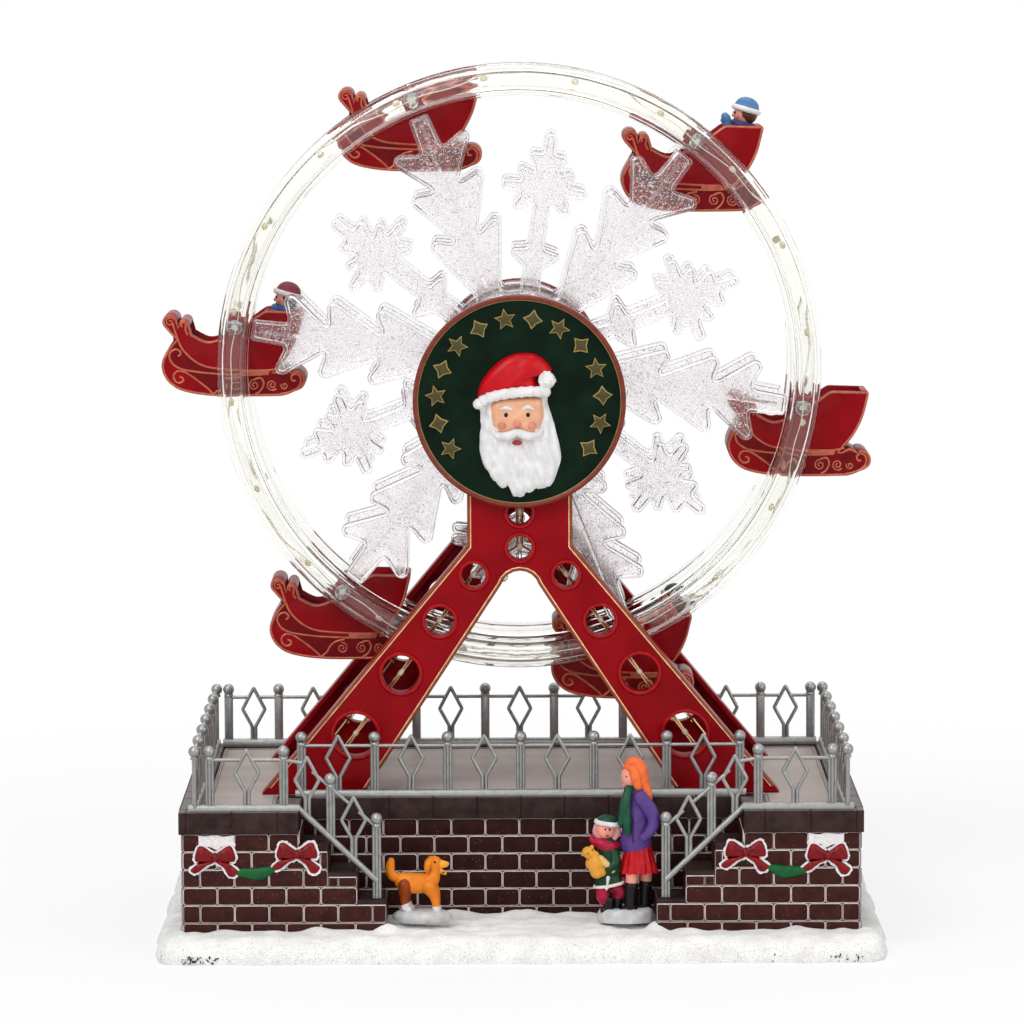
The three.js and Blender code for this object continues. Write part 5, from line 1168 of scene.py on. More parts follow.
class FERRIS_OT_frames(bpy.types.Operator):
    """Moulds the two red frames, with rimmed holes and gold edge lines"""
    bl_idname = "ferris.frames"
    bl_label = "Support frames"

    def execute(self, context):
        paints = context.scene.ferris_finishes
        red = red_gloss(paints)
        gold = gold_edge()
        copper = enamel("copper_edge_enamel", "#96482c", 0.34, 0.7)
        # The rims take a brighter red than the frame's own red: painted highlight where the raised rims catch the light
        highlit_rim_red = enamel("red_rim_highlight_enamel", "#a3060f", 0.24)
        outline = frame_outline()
        for name, face, out in FRAMES:
            piece = Piece(name + "_moulding")
            holes = [arc(x, z, r, 0, 354, 59) for x, z, r in FRAME_HOLES]
            inner = face - out * 2.0
            back = face - out * 10.0
            piece.plate([outline] + holes, min(face, inner), max(face, inner), red, 0.5, 3)
            piece.plate([outline, moved_in(outline, 2.0)], min(inner - 0.3, back), max(inner + 0.3, back), red, 0.3, 2)
            for x, z, r in FRAME_HOLES:
                rim = [(r, 1.2), (r, 0.35), (r + 0.35, 0.0), (r + 1.0, 0.0), (r + 1.5, 0.5), (r + 1.6, 1.2), (r, 1.2)]
                piece.turned(rim, highlit_rim_red, 48, moved(x, face + out * 0.75, z, about_x=90 * out))
                piece.turned([(r - 0.1, 1.0), (r - 0.1, 6.0), (r + 0.9, 6.0), (r + 0.9, 1.0), (r - 0.1, 1.0)], red, 48,
                             moved(x, face, z, about_x=90 * out))
            for inset, thick, paint in ((0.6, 0.42, copper), (1.3, 0.26, gold)):
                loop = moved_in(outline, inset)
                for (x0, z0), (x1, z1) in zip(loop, loop[1:] + loop[:1]):
                    if max(z0, z1) > LINE_FOOT and hypot(x1 - x0, z1 - z0) > 0.3:
                        share = (LINE_FOOT - z0) / (z1 - z0) if z0 < LINE_FOOT else 0.0
                        last = (LINE_FOOT - z0) / (z1 - z0) if z1 < LINE_FOOT else 1.0
                        ends = [(x0 + (x1 - x0) * t, face + out * 0.05, z0 + (z1 - z0) * t) for t in (share, last)]
                        piece.tubes([ends], thick, paint, sides=2)
            for side in (-1, 1):
                x = side * 79.3
                piece.box((x - 8, min(face, back) + 2.5, 51.7), (x + 8, min(face, back) + 7.5, 56.0), red)
            bearing = [(2.3, 0), (5.0, 0), (5.0, 9.0), (2.3, 9.0), (2.3, 0)]
            piece.turned(bearing, red, 32, moved(0, face - out * 0.8, AXLE_Z, about_x=90 * out))
            piece.finish("base", [name])
        return {"FINISHED"}


class FERRIS_OT_frame_lights(bpy.types.Operator):
    """Runs the bulbs and their bare leads behind the holes of each frame"""
    bl_idname = "ferris.frame_lights"
    bl_label = "Frame lights"

    def execute(self, context):
        glass = glow_bulb()
        lead = plain_metal("bare_copper_lead", "#c79f78", 0.25)
        for frame_name, face, out in FRAMES:
            name, y = frame_name + "_lights", face - out * 5.0
            piece = Piece(name + "_string")
            places = []
            for x, z, r in FRAME_HOLES:
                lean = radians(0 if x == 0 else copysign(36.6, -x))
                along = Vector((sin(lean), 0, cos(lean)))
                places.append(((x, y, z), (0.0, lean, 0.0), (1.0, 1.0, 1.0)))
                middle = Vector((x, y, z))
                across = Vector((along.z, 0, -along.x)) * 0.45
                for end in (-1, 1):
                    for twin in (-1, 1):
                        tip = middle + along * end * (r + 2.0) + across * twin * 1.6
                        piece.tubes([[middle + along * end * 1.3 + across * twin, tip]], 0.22, lead, sides=2)
            for side in (-1, 1):
                spine = [(side * 80.0, y + 2.0, 54.6)] + [
                    (x, y + 2.0, z) for x, z, r in sorted(FRAME_HOLES, key=lambda h: h[1]) if x * side > 0]
                spine += [(side * 1.0, y + 2.0, z) for z in (NECK_HOLES[0], 162.5)]
                piece.tubes([spine], 0.5, lead, sides=2)
            bead = Piece("bead")
            bead.ball((0, 0, 0), (1.0, 1.0, 1.7), glass, rows=10, around=14)
            piece.scatter(bead, glass, places)
            piece.finish("base", [name])
        return {"FINISHED"}


HAT = [
    (-14.2, 0.0), (-15.8, 1.3), (-14.7, 6.8), (-10.9, 12.3), (-6.0, 16.4), (-1.0, 18.3), (3.9, 18.5), (7.7, 17.2),
    (11.0, 14.4), (12.1, 11.2), (7.2, 10.0), (6.9, 6.8), (9.6, 3.5), (3.3, 3.0), (-3.2, 2.7), (-8.7, 1.9)]
BEARD = [
    (10.2, 3.2), (11.0, -0.3), (12.6, -5.3), (13.7, -10.7), (15.4, -17.8), (15.6, -22.2), (14.3, -27.1), (11.5, -32.1),
    (7.2, -33.2), (3.3, -34.8), (0.6, -36.2), (-2.1, -36.2), (-4.3, -32.1), (-6.0, -33.2), (-9.8, -29.9),
    (-12.5, -26.0), (-14.7, -21.1), (-15.5, -15.6), (-15.0, -10.2), (-14.7, -4.7), (-15.0, -1.4), (-11.4, 1.6),
    (-4.3, 2.7), (3.3, 3.2)]
FACE = [
    (8.6, 1.2), (9.4, -2.4), (9.0, -7.0), (7.4, -10.6), (4.4, -12.8), (-0.8, -13.4), (-6.0, -12.8), (-9.4, -10.4),
    (-10.8, -6.6), (-10.9, -2.0), (-9.6, 0.6), (-4.0, 1.6), (3.6, 1.9)]


class FERRIS_OT_plaque(bpy.types.Operator):
    """Turns the round plaque and models the bearded winter figure in relief on it"""
    bl_idname = "ferris.plaque"
    bl_label = "Plaque"

    def execute(self, context):
        paints = context.scene.ferris_finishes
        dark = plaque_paint(paints)
        rim = enamel("red_copper_rim_paint", "#7d3427", 0.34, 0.7)
        gold = enamel("old_gold_star_enamel", "#4b4322", 0.4)
        outline = enamel("pale_gold_line_enamel", "#a48c4e", 0.4)
        white = enamel("white_beard_enamel", "#e9e7e6", 0.5, 0.86)
        red = enamel("red_hat_enamel", "#c4000e", 0.32, 0.8)
        skin = enamel("face_enamel", "#e6ad8a", 0.42, 0.9)
        eye, lip, blush = face_paints()
        piece = Piece("santa_plaque_relief")
        level, nose = PLAQUE_Z, -0.9
        at = moved(z=level)
        disc = [(0, -38.0), (38.7, -38.0), (38.7, -34.0), (39.6, -34.0), (39.6, -33.3), (0, -33.3)]
        piece.turned(disc, dark, 128, moved(z=level, about_x=-90))
        edge = [(38.6, -37.4), (38.6, -38.6), (39.0, -38.9), (39.7, -38.9), (40.35, -38.3), (40.35, -33.9),
                (39.8, -33.4), (38.6, -33.4), (38.6, -37.4)]
        piece.turned(edge, rim, 128, moved(z=level, about_x=-90))
        bead = [(x, -38.1, level + z) for x, z in arc(0, 0, 38.5, 0, 357, 119)]
        piece.tubes([bead], 0.2, outline, True, 2)

        def ripple(x, z, share):
            """Locks of hair that run down the beard."""
            wave = sin(1.55 * x + 0.9 * sin(0.33 * z) + 0.35 * z * (1 if x > 0 else -1) * 0.5)
            return 0.5 * wave * (0.4 + 0.6 * share) + 0.22 * sin(0.9 * z + 1.7 * x)

        def folds(x, z, share):
            return 0.22 * sin(0.55 * x - 0.5 * z)

        beard = smooth_line(BEARD, 5, True)
        piece.dome(beard, (0.2, -14.0), -37.9, 3.0, white, 22, 2.6, ripple, at)
        piece.dome(smooth_line(FACE, 5, True), (-0.8, -5.6), -39.6, 3.1, skin, 12, 2.2, None, at)
        piece.dome(smooth_line(HAT, 5, True), (-2.6, 8.2), -38.0, 4.2, red, 14, 2.4, folds, at)
        cuff = smooth_line([(-15.6, -0.6), (-12.4, 1.4), (-7.6, 2.9), (-1.6, 3.8), (4.4, 4.2), (9.8, 4.0)], 5)
        piece.limb([(x, -41.0 - 1.1 * cos(x / 11.0), z) for x, z in cuff],
                   [2.0 + 0.18 * sin(2.3 * k) for k in range(len(cuff))], white, 12, at)
        piece.ball((10.4, -41.0, level + 8.4), (3.3, 2.6, 3.3), white, rows=14, around=20)
        lump = random.Random(5)
        for _ in range(26):
            a, b = lump.uniform(0, TAU), lump.uniform(0.1, 1.4)
            spot = (10.4 + 3.0 * cos(a) * sin(b), -41.0 - 2.4 * cos(b),
                    level + 8.4 + 3.0 * sin(a) * sin(b))
            piece.ball(spot, (0.75, 0.6, 0.75), white, rows=6, around=8)
        for side in (-1, 1):
            x = nose + side * 4.1
            piece.ball((x, -42.3, level - 4.6), (0.85, 0.5, 0.95), eye, rows=8, around=10)
            piece.limb([(x - 1.9, -42.2, -2.4), (x, -42.7, -1.7 + 0.2 * side), (x + 1.9, -42.2, -2.4)],
                       [0.45, 0.75, 0.45], white, 10, at)
            piece.ball((nose + side * 5.4, -41.7, level - 8.6), (1.9, 1.0, 1.5), blush, rows=8, around=12)
            piece.limb([(nose + side * 0.6, -43.0, -11.3), (nose + side * 4.0, -42.8, -12.6),
                        (nose + side * 7.6, -41.4, -12.4), (nose + side * 9.4, -40.6, -10.6)],
                       [1.5, 1.7, 1.3, 0.5], white, 12, at)
        piece.ball((nose, -43.0, level - 8.0), (1.5, 1.2, 1.35), blush, rows=10, around=14)
        piece.ball((nose, -41.9, level - 15.2), (1.9, 1.0, 1.0), lip, rows=8, around=12)
        self.stars(piece, outline, gold)
        piece.finish("base", ["santa_plaque"])
        return {"FINISHED"}

    def stars(self, piece, outline, gold):
        """Five and four pointed stars by turns, over the upper part of the band."""
        count, first, swing = 14, 214, 248
        for k in range(count):
            angle = radians(first - k * swing / (count - 1))
            x, z = 31.6 * cos(angle), 31.6 * sin(angle)
            points, big, notch = (5, 4.3, 0.46) if k % 2 == 0 else (4, 3.9, 0.56)
            for size, low, paint in ((big, -38.45, outline), (big - 0.8, -38.75, gold)):
                star = []
                for s in range(2 * points):
                    radius = size * (notch if s % 2 else 1.0)
                    turn = angle + pi * s / points
                    star.append((x + radius * cos(turn), PLAQUE_Z + z + radius * sin(turn)))
                piece.plate([star], low, -37.6, paint, 0.15, 2)


# Platform: brickwork, coping, treads and deck

WALL_X = 126.6          # outer faces of the side walls
FRONT_Y = -46.0         # face of the middle wall
BACK_Y = 92.0
LANDING_Y = -80.5       # front faces of the stair blocks
LANDING_X = 83.2        # inner ends of the landings
COURSE_TOP = 46.2
COURSE_FOOT = 8.6
TREAD = 10.9            # depth of a step
TREAD_TOP = 42.0        # top of the upper tread
STEP_RISE = 10.7
STEP_FEET = (39.5, 29.9, 19.3)      # underside of each tread, which is the top of the bricks below it
COPING_HEIGHT = 8.0
COPING_WIDTH = 9.0
COPING_X = 128.0        # outer edges of the coping
COPING_BACK_Y = 93.4
COPING_LANDING_Y = -81.9
COPING_INNER_Y = -47.4  # its edge over the middle wall
TURNS = {"front": 0.0, "back": pi, "right": pi / 2, "left": -pi / 2}
ALONG_X = ("front", "back")


def courses(a, b, plane, facing, crests, brick_pitch, rise, joint, seed):
    """Places of the bricks on a wall: centre, turn and stretch for each."""
    spread = random.Random(seed)
    places = []
    for row in range(6):
        top = COURSE_TOP - row * rise
        bottom = max(top - rise, COURSE_FOOT)
        runs = []
        for low, high, limit in crests:
            crest = min(top, limit)
            if crest - bottom < 1.2:
                continue
            if runs and abs(runs[-1][2] - crest) < 0.5:
                high = runs.pop()[1]
            runs.append((low, high, crest))
        for low, high, crest in runs:
            start, end = max(a, low), min(b, high)
            marks = [end]
            mark = b - (brick_pitch / 2 if row % 2 == 0 else brick_pitch)
            while mark > start + 1.2:
                if mark < end - 1.2:
                    marks.append(mark)
                mark -= brick_pitch
            marks.append(start)
            for right, left in zip(marks, marks[1:]):
                wide = (right - left - joint) / (brick_pitch - joint)
                tall = (crest - bottom - joint) / (rise - joint)
                along, level = (left + right) / 2, (crest + bottom) / 2
                spot = (along, plane, level) if facing in ALONG_X else (plane, along, level)
                places.append((spot, (0.0, spread.uniform(-0.004, 0.004), TURNS[facing]),
                               (wide, spread.uniform(0.8, 1.15), tall)))
    return places


def coping_blocks(a, b, edge, facing, long, top=DECK_TOP, high=COPING_HEIGHT):
    """Places of coping blocks along one edge; a block's origin is the middle of its outer foot."""
    if a * b > 0 and facing in ALONG_X:
        outer, way = (b, -1) if b > 0 else (a, 1)
        marks = [outer, outer + way * 2.6]
        while abs(marks[-1] - (a + b - outer)) > long * 1.05:
            marks.append(marks[-1] + way * long)
        marks = sorted([*marks, a + b - outer], reverse=True)
    else:
        count = max(round((b - a) / long), 1)
        marks = [b - (b - a) * i / count for i in range(count + 1)]
    places = []
    for right, left in zip(marks, marks[1:]):
        along = (left + right) / 2
        spot = (along, edge, top - high) if facing in ALONG_X else (edge, along, top - high)
        places.append((spot, (0.0, 0.0, TURNS[facing]), ((right - left) / long, 1.0, 1.0)))
    return places


def wall_plan():
    """Brick faces and coping edges of each block.

    A face is (from, to, plane, facing, crests), and a crest is (from, to, top of the bricks there).
    """
    full = [(-500, 500, 99)]
    stepped = [(LANDING_X, 127, 99)]
    stepped += [(LANDING_X - TREAD * (k + 1), LANDING_X - TREAD * k, foot) for k, foot in enumerate(STEP_FEET)]
    back_end = COPING_BACK_Y - COPING_WIDTH
    landing_end = COPING_LANDING_Y + COPING_WIDTH
    walls = {"brick_platform": [
        (-LANDING_X, LANDING_X, FRONT_Y, "front", full), (-WALL_X, WALL_X, BACK_Y, "back", full),
        (FRONT_Y, BACK_Y, WALL_X, "right", full), (FRONT_Y, BACK_Y, -WALL_X, "left", full)]}
    edges = {"brick_platform": [
        (-LANDING_X, LANDING_X, COPING_INNER_Y, "front"), (-COPING_X, COPING_X, COPING_BACK_Y, "back"),
        (COPING_INNER_Y, back_end, COPING_X, "right"), (COPING_INNER_Y, back_end, -COPING_X, "left")]}
    for outer, inner, side in (("right", "left", 1), ("left", "right", -1)):
        name = outer + "_stair_block"
        walls[name] = [(50.5, WALL_X, LANDING_Y, "front", stepped),
                       (LANDING_Y, FRONT_Y, side * WALL_X, outer, full),
                       (LANDING_Y, FRONT_Y, side * LANDING_X, inner, full)]
        edges[name] = [(*sorted((side * LANDING_X, side * COPING_X)), COPING_LANDING_Y, "front"),
                       (landing_end, COPING_INNER_Y, side * COPING_X, outer),
                       (landing_end, COPING_INNER_Y, side * LANDING_X, inner)]
    return walls, edges


class FERRIS_OT_platform(bpy.types.Operator):
    """Lays the bricks with their pale joints, the coping blocks, the treads and the deck"""
    bl_idname = "ferris.platform"
    bl_label = "Brick platform"

    def execute(self, context):
        paints = context.scene.ferris_finishes
        sizes = context.scene.ferris_platform
        pitch, rise, joint, long = (v / MM for v in (
            sizes.brick_length, sizes.brick_rise, sizes.joint, sizes.block_length))
        stair_brick = brick_resin(paints, "brown_brick_resin", 1.0)
        # The middle wall takes the same brick at 0.6 of its tone: painted shade for the set-back wall between the stair
        # blocks
        shaded_wall_brick = brick_resin(paints, "shaded_brown_brick_resin", 0.6)
        pale = joint_paint(paints)
        coping = coping_resin()
        top_paint = enamel("brown_grey_coping_top", "#6b615e", 0.5, 0.72, 5.0)
        # Mid grey for the sheet behind the bricks, which shows at the corners of the joints, and for the lines at the
        # tread noses
        grey = enamel("groove_grey_enamel", "#6d6265", 0.6, 0.8)
        dress(shaded_wall_brick, "brick_platform")
        dress(stair_brick, "right_stair_block", "left_stair_block")
        dress(deck_paint(paints), "deck_plate")
        walls, edges = wall_plan()
        edge_piece = Piece("brick_edge")
        w, h = (pitch - joint * 0.25) / 2, (rise - joint * 0.25) / 2
        edge_piece.plate([rounded(w, h, 1.25)], -0.36, 0.3, pale, 0.12, 1)
        face_piece = Piece("brick_face")
        w, h = (pitch - joint) / 2, (rise - joint) / 2
        face_piece.plate([rounded(w, h, 0.95)], -0.62, 0.1, stair_brick, 0.2, 2)
        edge_shape, face_shape = edge_piece.data(1.0), face_piece.data(1.0)
        for seed, (name, sides) in enumerate(walls.items()):
            piece = Piece(name + "_bricks")
            brick = shaded_wall_brick if name == "brick_platform" else stair_brick
            flip = -1 if name.startswith("left") else 1
            places = []
            for a, b, plane, facing, crests in sides:
                rows = courses(a, b, plane, facing, crests, pitch, rise, joint, seed)
                if abs(plane) == LANDING_X:
                    rows = [row for row in rows if row[0][2] > 41]
                if plane == LANDING_Y:
                    rows = [((flip * x, y, z), turn, stretch) for (x, y, z), turn, stretch in rows]
                places += rows
            piece.take(on_places(edge_shape.copy(), pale, places), pale)
            piece.take(on_places(face_shape.copy(), brick, places), brick)
            self.grooves(piece, sides, flip, grey)
            block = Piece("block")
            block.box((-long / 2 + 0.16, -0.32, 0.12), (long / 2 - 0.16, 8.95, 8.1), coping, 0.3)
            cap = Piece("cap")
            cap.box((-long / 2 + 0.4, 0.35, 8.0), (long / 2 - 0.4, 8.6, 8.2), top_paint, 0.08)
            spots = [spot for run in edges[name] for spot in coping_blocks(*run, long)]
            piece.scatter(block, coping, spots)
            piece.scatter(cap, top_paint, spots)
            if name != "brick_platform":
                self.treads(piece, flip, coping, grey, pale)
            piece.finish("base", slot="brick")
        self.deck_rim()
        return {"FINISHED"}

    def grooves(self, piece, sides, flip, grey):
        """The recessed sheet behind the bricks, which shows in their joints."""
        for a, b, plane, facing, crests in sides:
            for low, high, limit in crests:
                start, end, crest = max(a, low), min(b, high), min(COURSE_TOP, limit)
                if plane == LANDING_Y:
                    start, end = sorted((flip * start, flip * end))
                sign = 1 if facing in ("back", "right") else -1
                near, far = sorted((plane + sign * 0.16, plane - sign * 0.4))
                if facing in ALONG_X:
                    piece.box((start, near, COURSE_FOOT), (end, far, crest), grey, 0.02)
                elif abs(plane) == WALL_X:
                    piece.box((near, start, COURSE_FOOT), (far, end, crest), grey, 0.02)

    def treads(self, piece, flip, coping, grey, pale):
        """Three steps: a block at the front, a slab behind it, the groove at the nose and the joint below."""
        for step, foot in enumerate(STEP_FEET):
            nose = flip * (LANDING_X - TREAD * (step + 1))
            top = TREAD_TOP - STEP_RISE * step
            low, high = sorted((nose, nose + flip * TREAD))
            piece.box((low, -81.2, foot), (high, -76.2, top + 0.2), coping, 0.3)
            piece.box((low + 0.6, -75.9, top - 1.9), (high - 0.3, -47.6, top - 1.5), coping, 0.15)
            line = nose + flip * 0.4
            piece.tubes([[(line, -75.5, top - 1.5), (line, -47.8, top - 1.5)]], 0.22, grey, sides=2)
            piece.box((low + 0.3, -81.35, foot - 0.25), (high - 0.3, -80.9, foot + 0.05), pale, 0.08)

    def deck_rim(self):
        """A pale line and a dark groove round the deck."""
        groove = Piece("deck_rim")
        dark = enamel("dark_deck_groove", "#2c2726", 0.6)
        light = enamel("light_deck_rim", "#9b9792", 0.45)
        path = [(-118.7, -72.6), (-92.5, -72.6), (-92.5, -38.1), (92.5, -38.1), (92.5, -72.6), (118.7, -72.6),
                (118.7, 84.1), (-118.7, 84.1)]
        for inset, radius, paint, level in ((0.55, 0.35, light, 53.45), (1.5, 0.16, dark, 53.42)):
            groove.tubes([[(x, y, level) for x, y in moved_in(path, inset)]], radius, paint, True, 2)
        groove.finish("base", slot="deck")


def rounded(w, h, r, steps=4):
    """A rectangle with round corners, half width w and half height h."""
    points = []
    for cx, cy, start in ((w - r, h - r, 0), (r - w, h - r, 90), (r - w, r - h, 180), (w - r, r - h, 270)):
        points += arc(cx, cy, r, start, start + 90, steps)
    return points


# Fences

FENCE_LEVEL = 54.5      # where the foot rails lie
RAIL_FOOT = 1.2         # from there to the foot of a post
POST_RISE = 22.4        # from there to the middle of the ball
RAIL_DROP = 3.2         # from the middle of the ball down to the upper rail
STAIR_POST_X = 54.1     # the lowest post on the steps


class Fence:
    """Gathers the posts, balls, diamonds and rails of one fence, drawn along X with the line at Y zero."""

    def __init__(self, name, material, ball, place):
        self.piece = Piece(name + "_casting")
        self.material = material
        self.ball = ball
        self.place = place
        self.posts = []
        self.balls = []
        self.diamonds = []

    def post(self, x, foot, top):
        neck = top - self.ball * 1.7
        self.posts.append(((x, 0, foot), (0, 0, 0), (1, 1, (neck - foot) / 20)))
        self.balls.append(((x, 0, top - self.ball), (0, 0, 0), (1, 1, 1)))

    def diamond(self, x, foot, tip):
        self.diamonds.append(((x, 0, tip), (0, 0, 0), (1, 1, 1)))
        stem = [[(x + side * 0.72, 0, foot), (x + side * 0.72, 0, tip - 16.3)] for side in (-1, 1)]
        self.piece.tubes(stem, 0.72, self.material, sides=3, matrix=self.place)

    def rail(self, start, end, radius=0.7):
        self.piece.tubes([[start, end]], radius, self.material, sides=3, matrix=self.place)

    def foot_rail(self, x0, x1, level):
        section = [(1.5, 0.0), (1.5, 1.2), (1.25, 1.85), (0.7, 2.3), (0, 2.42), (-0.7, 2.3), (-1.25, 1.85), (-1.5, 1.2),
                   (-1.5, 0.0)]
        points = [(x, y, level + z) for x in (x0, x1) for y, z in section]
        n = len(section)
        faces = [(i, (i + 1) % n, n + (i + 1) % n, n + i) for i in range(n)]
        faces += [tuple(range(n)), tuple(reversed(range(n, 2 * n)))]
        self.piece.shape(points, faces, self.material, self.place)

    def finish(self, node):
        post = Piece("post")
        for x, y in ((-1.08, 0.12), (0.0, -0.28), (1.08, 0.12)):
            post.turned([(0, 0), (0.66, 0), (0.66, 20), (0, 20)], self.material, 12, moved(x, y))
        post.box((-1.2, -0.2, 0), (1.2, 0.8, 20), self.material, 0.1)
        ball = Piece("ball")
        ball.ball((0, 0, 0), (self.ball,) * 3, self.material, rows=16, around=24)
        ball.turned([(0, -self.ball * 1.35), (1.5, -self.ball * 1.35), (1.6, -self.ball * 1.1), (1.1, -self.ball * 0.8),
                     (0, -self.ball * 0.8)], self.material, 16)
        diamond = Piece("diamond")
        for side in (-1, 1):
            path = [(side * 0.72, 0, -16.6), (side * 0.85, 0, -15.9), (side * 4.3, 0, -9.6), (side * 4.45, 0, -9.2),
                    (side * 4.3, 0, -8.8), (side * 0.1, 0, -0.8)]
            diamond.tubes([path], 0.74, self.material, sides=3)
        diamond.ball((0, 0, -0.9), (0.75, 0.74, 0.9), self.material, rows=8, around=12)
        for template, places in ((post, self.posts), (ball, self.balls), (diamond, self.diamonds)):
            self.piece.scatter(template, self.material, places, self.place)
        self.piece.finish("base", [node], crease=50)


def level_fence(fence, posts, x0, x1, level, ball):
    """Posts at even places, a diamond between each two and rails above and below."""
    fence.foot_rail(x0, x1, level)
    top = level + POST_RISE + ball
    rail = level + POST_RISE - RAIL_DROP
    for x in posts:
        fence.post(x, level + RAIL_FOOT, top)
    for a, b in zip(posts, posts[1:]):
        middle = (a + b) / 2
        fence.diamond(middle, level + RAIL_FOOT, top - ball / 2)
        fence.rail((a, 0, rail), (middle - 1.9, 0, rail))
        fence.rail((middle + 1.9, 0, rail), (b, 0, rail))


class FERRIS_OT_fences(bpy.types.Operator):
    """Casts the fences with their ball posts and diamonds, and the two that run down the steps"""
    bl_idname = "ferris.fences"
    bl_label = "Fences"

    def execute(self, context):
        sizes = context.scene.ferris_platform
        silver = fence_paint(context.scene.ferris_finishes)
        pitch, ball = sizes.post_pitch / MM, sizes.ball / MM
        level = FENCE_LEVEL

        def even(count, step):
            return [(i - (count - 1) / 2) * step for i in range(count)]

        side_step = (89.0 + 77.5) / 6
        runs = [
            ("centre_fence", even(7, pitch), 85.6, moved(y=-43.0)),
            ("back_fence", [-117.2, *even(8, pitch), 117.2], 119.6, moved(y=89.0, about_z=180)),
            ("left_fence", even(7, side_step), 84.4, moved(x=-122.0, y=5.75, about_z=-90)),
            ("right_fence", even(7, side_step), 84.4, moved(x=122.0, y=5.75, about_z=90))]
        for name, posts, reach, place in runs:
            fence = Fence(name, silver, ball, place)
            level_fence(fence, posts, -reach, reach, level, ball)
            fence.finish(name)
        for name, side in (("right_stair_fence", 1), ("left_stair_fence", -1)):
            fence = Fence(name, silver, ball, moved(y=-77.5))
            posts = [116.4, 116.4 - pitch, 71.2, STAIR_POST_X]

            def fall(x):
                return max(LANDING_X - x, 0) / (LANDING_X - STAIR_POST_X)

            def foot(x):
                return level + RAIL_FOOT - 27.9 * fall(x)

            def top(x):
                return level + POST_RISE + ball - 25.6 * fall(x)

            a, b = sorted((side * 83.0, side * 124.4))
            fence.foot_rail(a, b, level)
            fence.rail((side * 83.6, 0, level + RAIL_FOOT), (side * STAIR_POST_X, 0, foot(STAIR_POST_X)), 1.25)
            fence.piece.ball((side * 83.4, -77.5, level + RAIL_FOOT), (1.3, 1.3, 1.25), silver, rows=8, around=14)
            for x in posts:
                fence.post(side * x, 21.2 if x == STAIR_POST_X else foot(x), top(x))
            for p, q in zip(posts, posts[1:]):
                middle = (p + q) / 2
                fence.diamond(side * middle, foot(middle), top(middle) - ball / 2)
                for ends in ((p, middle + 1.9), (middle - 1.9, q)):
                    fence.rail(*[(side * x, 0, top(x) - ball - RAIL_DROP) for x in ends])
            fence.finish(name)
        return {"FINISHED"}


# Bows and the painted snow round them

LOOP = [(0.0, 0.7), (-2.5, 2.6), (-4.4, 3.9), (-6.0, 4.0), (-6.9, 2.4), (-7.6, 0.0), (-7.2, -1.8), (-5.2, -2.0),
        (-2.8, -2.0), (-0.2, -1.2)]
LEFT_TAIL = [(-0.6, -1.2), (-3.5, -2.0), (-6.6, -2.8), (-9.2, -5.0), (-7.8, -6.3), (-6.2, -5.8), (-4.4, -4.4),
             (-2.6, -3.0), (-0.6, -2.3)]
RIGHT_TAIL = [(0.6, -1.2), (4.3, -2.2), (7.6, -4.4), (8.6, -5.8), (6.9, -7.6), (4.9, -7.2), (3.2, -4.2), (0.6, -2.3)]


class FERRIS_OT_bows(bpy.types.Operator):
    """Models the red bows and their green garland, with the painted snow round them"""
    bl_idname = "ferris.bows"
    bl_label = "Bows"

    def execute(self, context):
        red = enamel("ribbon_red_enamel", "#86040c", 0.28, 0.6, 2.4)
        deep = enamel("ribbon_fold_enamel", "#6d1220", 0.35)
        green = enamel("garland_green_enamel", "#0d5c2c", 0.38, 0.75)
        white = enamel("brushed_snow_enamel", "#ebe6e6", 0.6, 0.85, 1.4)
        for name, side in (("right_bow_garland", 1), ("left_bow_garland", -1)):
            piece = Piece(name + "_relief")
            brush = random.Random(11 if side > 0 else 23)
            for x, level in ((114.4, 37.8), (83.8, 39.0)):
                at = moved(side * x, 0, level)
                for loop, centre, height in (
                        (LOOP, (-4.4, 0.9), 1.5), ([(-u, v) for u, v in LOOP], (4.4, 0.9), 1.5),
                        (LEFT_TAIL, (-5.4, -3.9), 1.0), (RIGHT_TAIL, (5.0, -4.6), 1.0)):
                    shape = smooth_line(loop, 4, True)
                    if area(shape) < 0:
                        shape.reverse()
                    paint = [(u + brush.uniform(-0.24, 0.24), v + brush.uniform(-0.24, 0.24))
                             for u, v in moved_in(shape, -0.75)]
                    piece.plate([paint], -81.6, -80.9, white, 0.1, 1, at)
                    piece.dome(shape, centre, -81.6, height, red, 10, 2.2,
                               lambda u, v, s: 0.12 * sin(2.1 * u + v), at)
                for flip in (-1, 1):
                    for rise in (0.2, 1.4):
                        fold = [(flip * 1.0, -83.0, rise * 0.3), (flip * 2.8, -83.2, rise),
                                (flip * 4.2, -83.0, rise * 1.6)]
                        piece.tubes([[at @ Vector(p) for p in fold]], 0.24, deep, sides=2)
                piece.ball(at @ Vector((0, -82.5, -0.3)), (1.3, 1.0, 1.4), red, rows=10, around=14)
            band = [(107.5, 32.0), (105.6, 33.2), (99.0, 33.6), (91.6, 34.2), (90.6, 32.9), (93.6, 30.9), (96.2, 29.2),
                    (99.8, 28.9), (104.0, 29.8), (107.0, 30.6)]
            swag = smooth_line([(side * u, v) for u, v in band], 4, True)
            piece.dome(swag, (side * 99.2, 31.3), -80.9, 1.3, green, 8, 2.6,
                       lambda u, v, s: 0.1 * sin(2.6 * u) * cos(2.2 * v))
            patch = [(107.2, 45.9), (111.0, 45.3), (114.0, 46.0), (118.5, 45.5), (121.8, 45.9), (122.6, 43.6),
                     (121.0, 42.0), (121.9, 40.2), (119.6, 39.4), (117.0, 41.6), (113.6, 40.2), (111.5, 41.8),
                     (108.4, 40.8), (106.6, 42.2), (107.6, 43.8)]
            patch = smooth_line([(side * u, v) for u, v in patch], 3, True)
            piece.plate([patch if area(patch) > 0 else patch[::-1]], -81.15, -80.8, white, 0.08, 1)
            piece.finish("base", [name])
        return {"FINISHED"}


# Figures in front of the platform

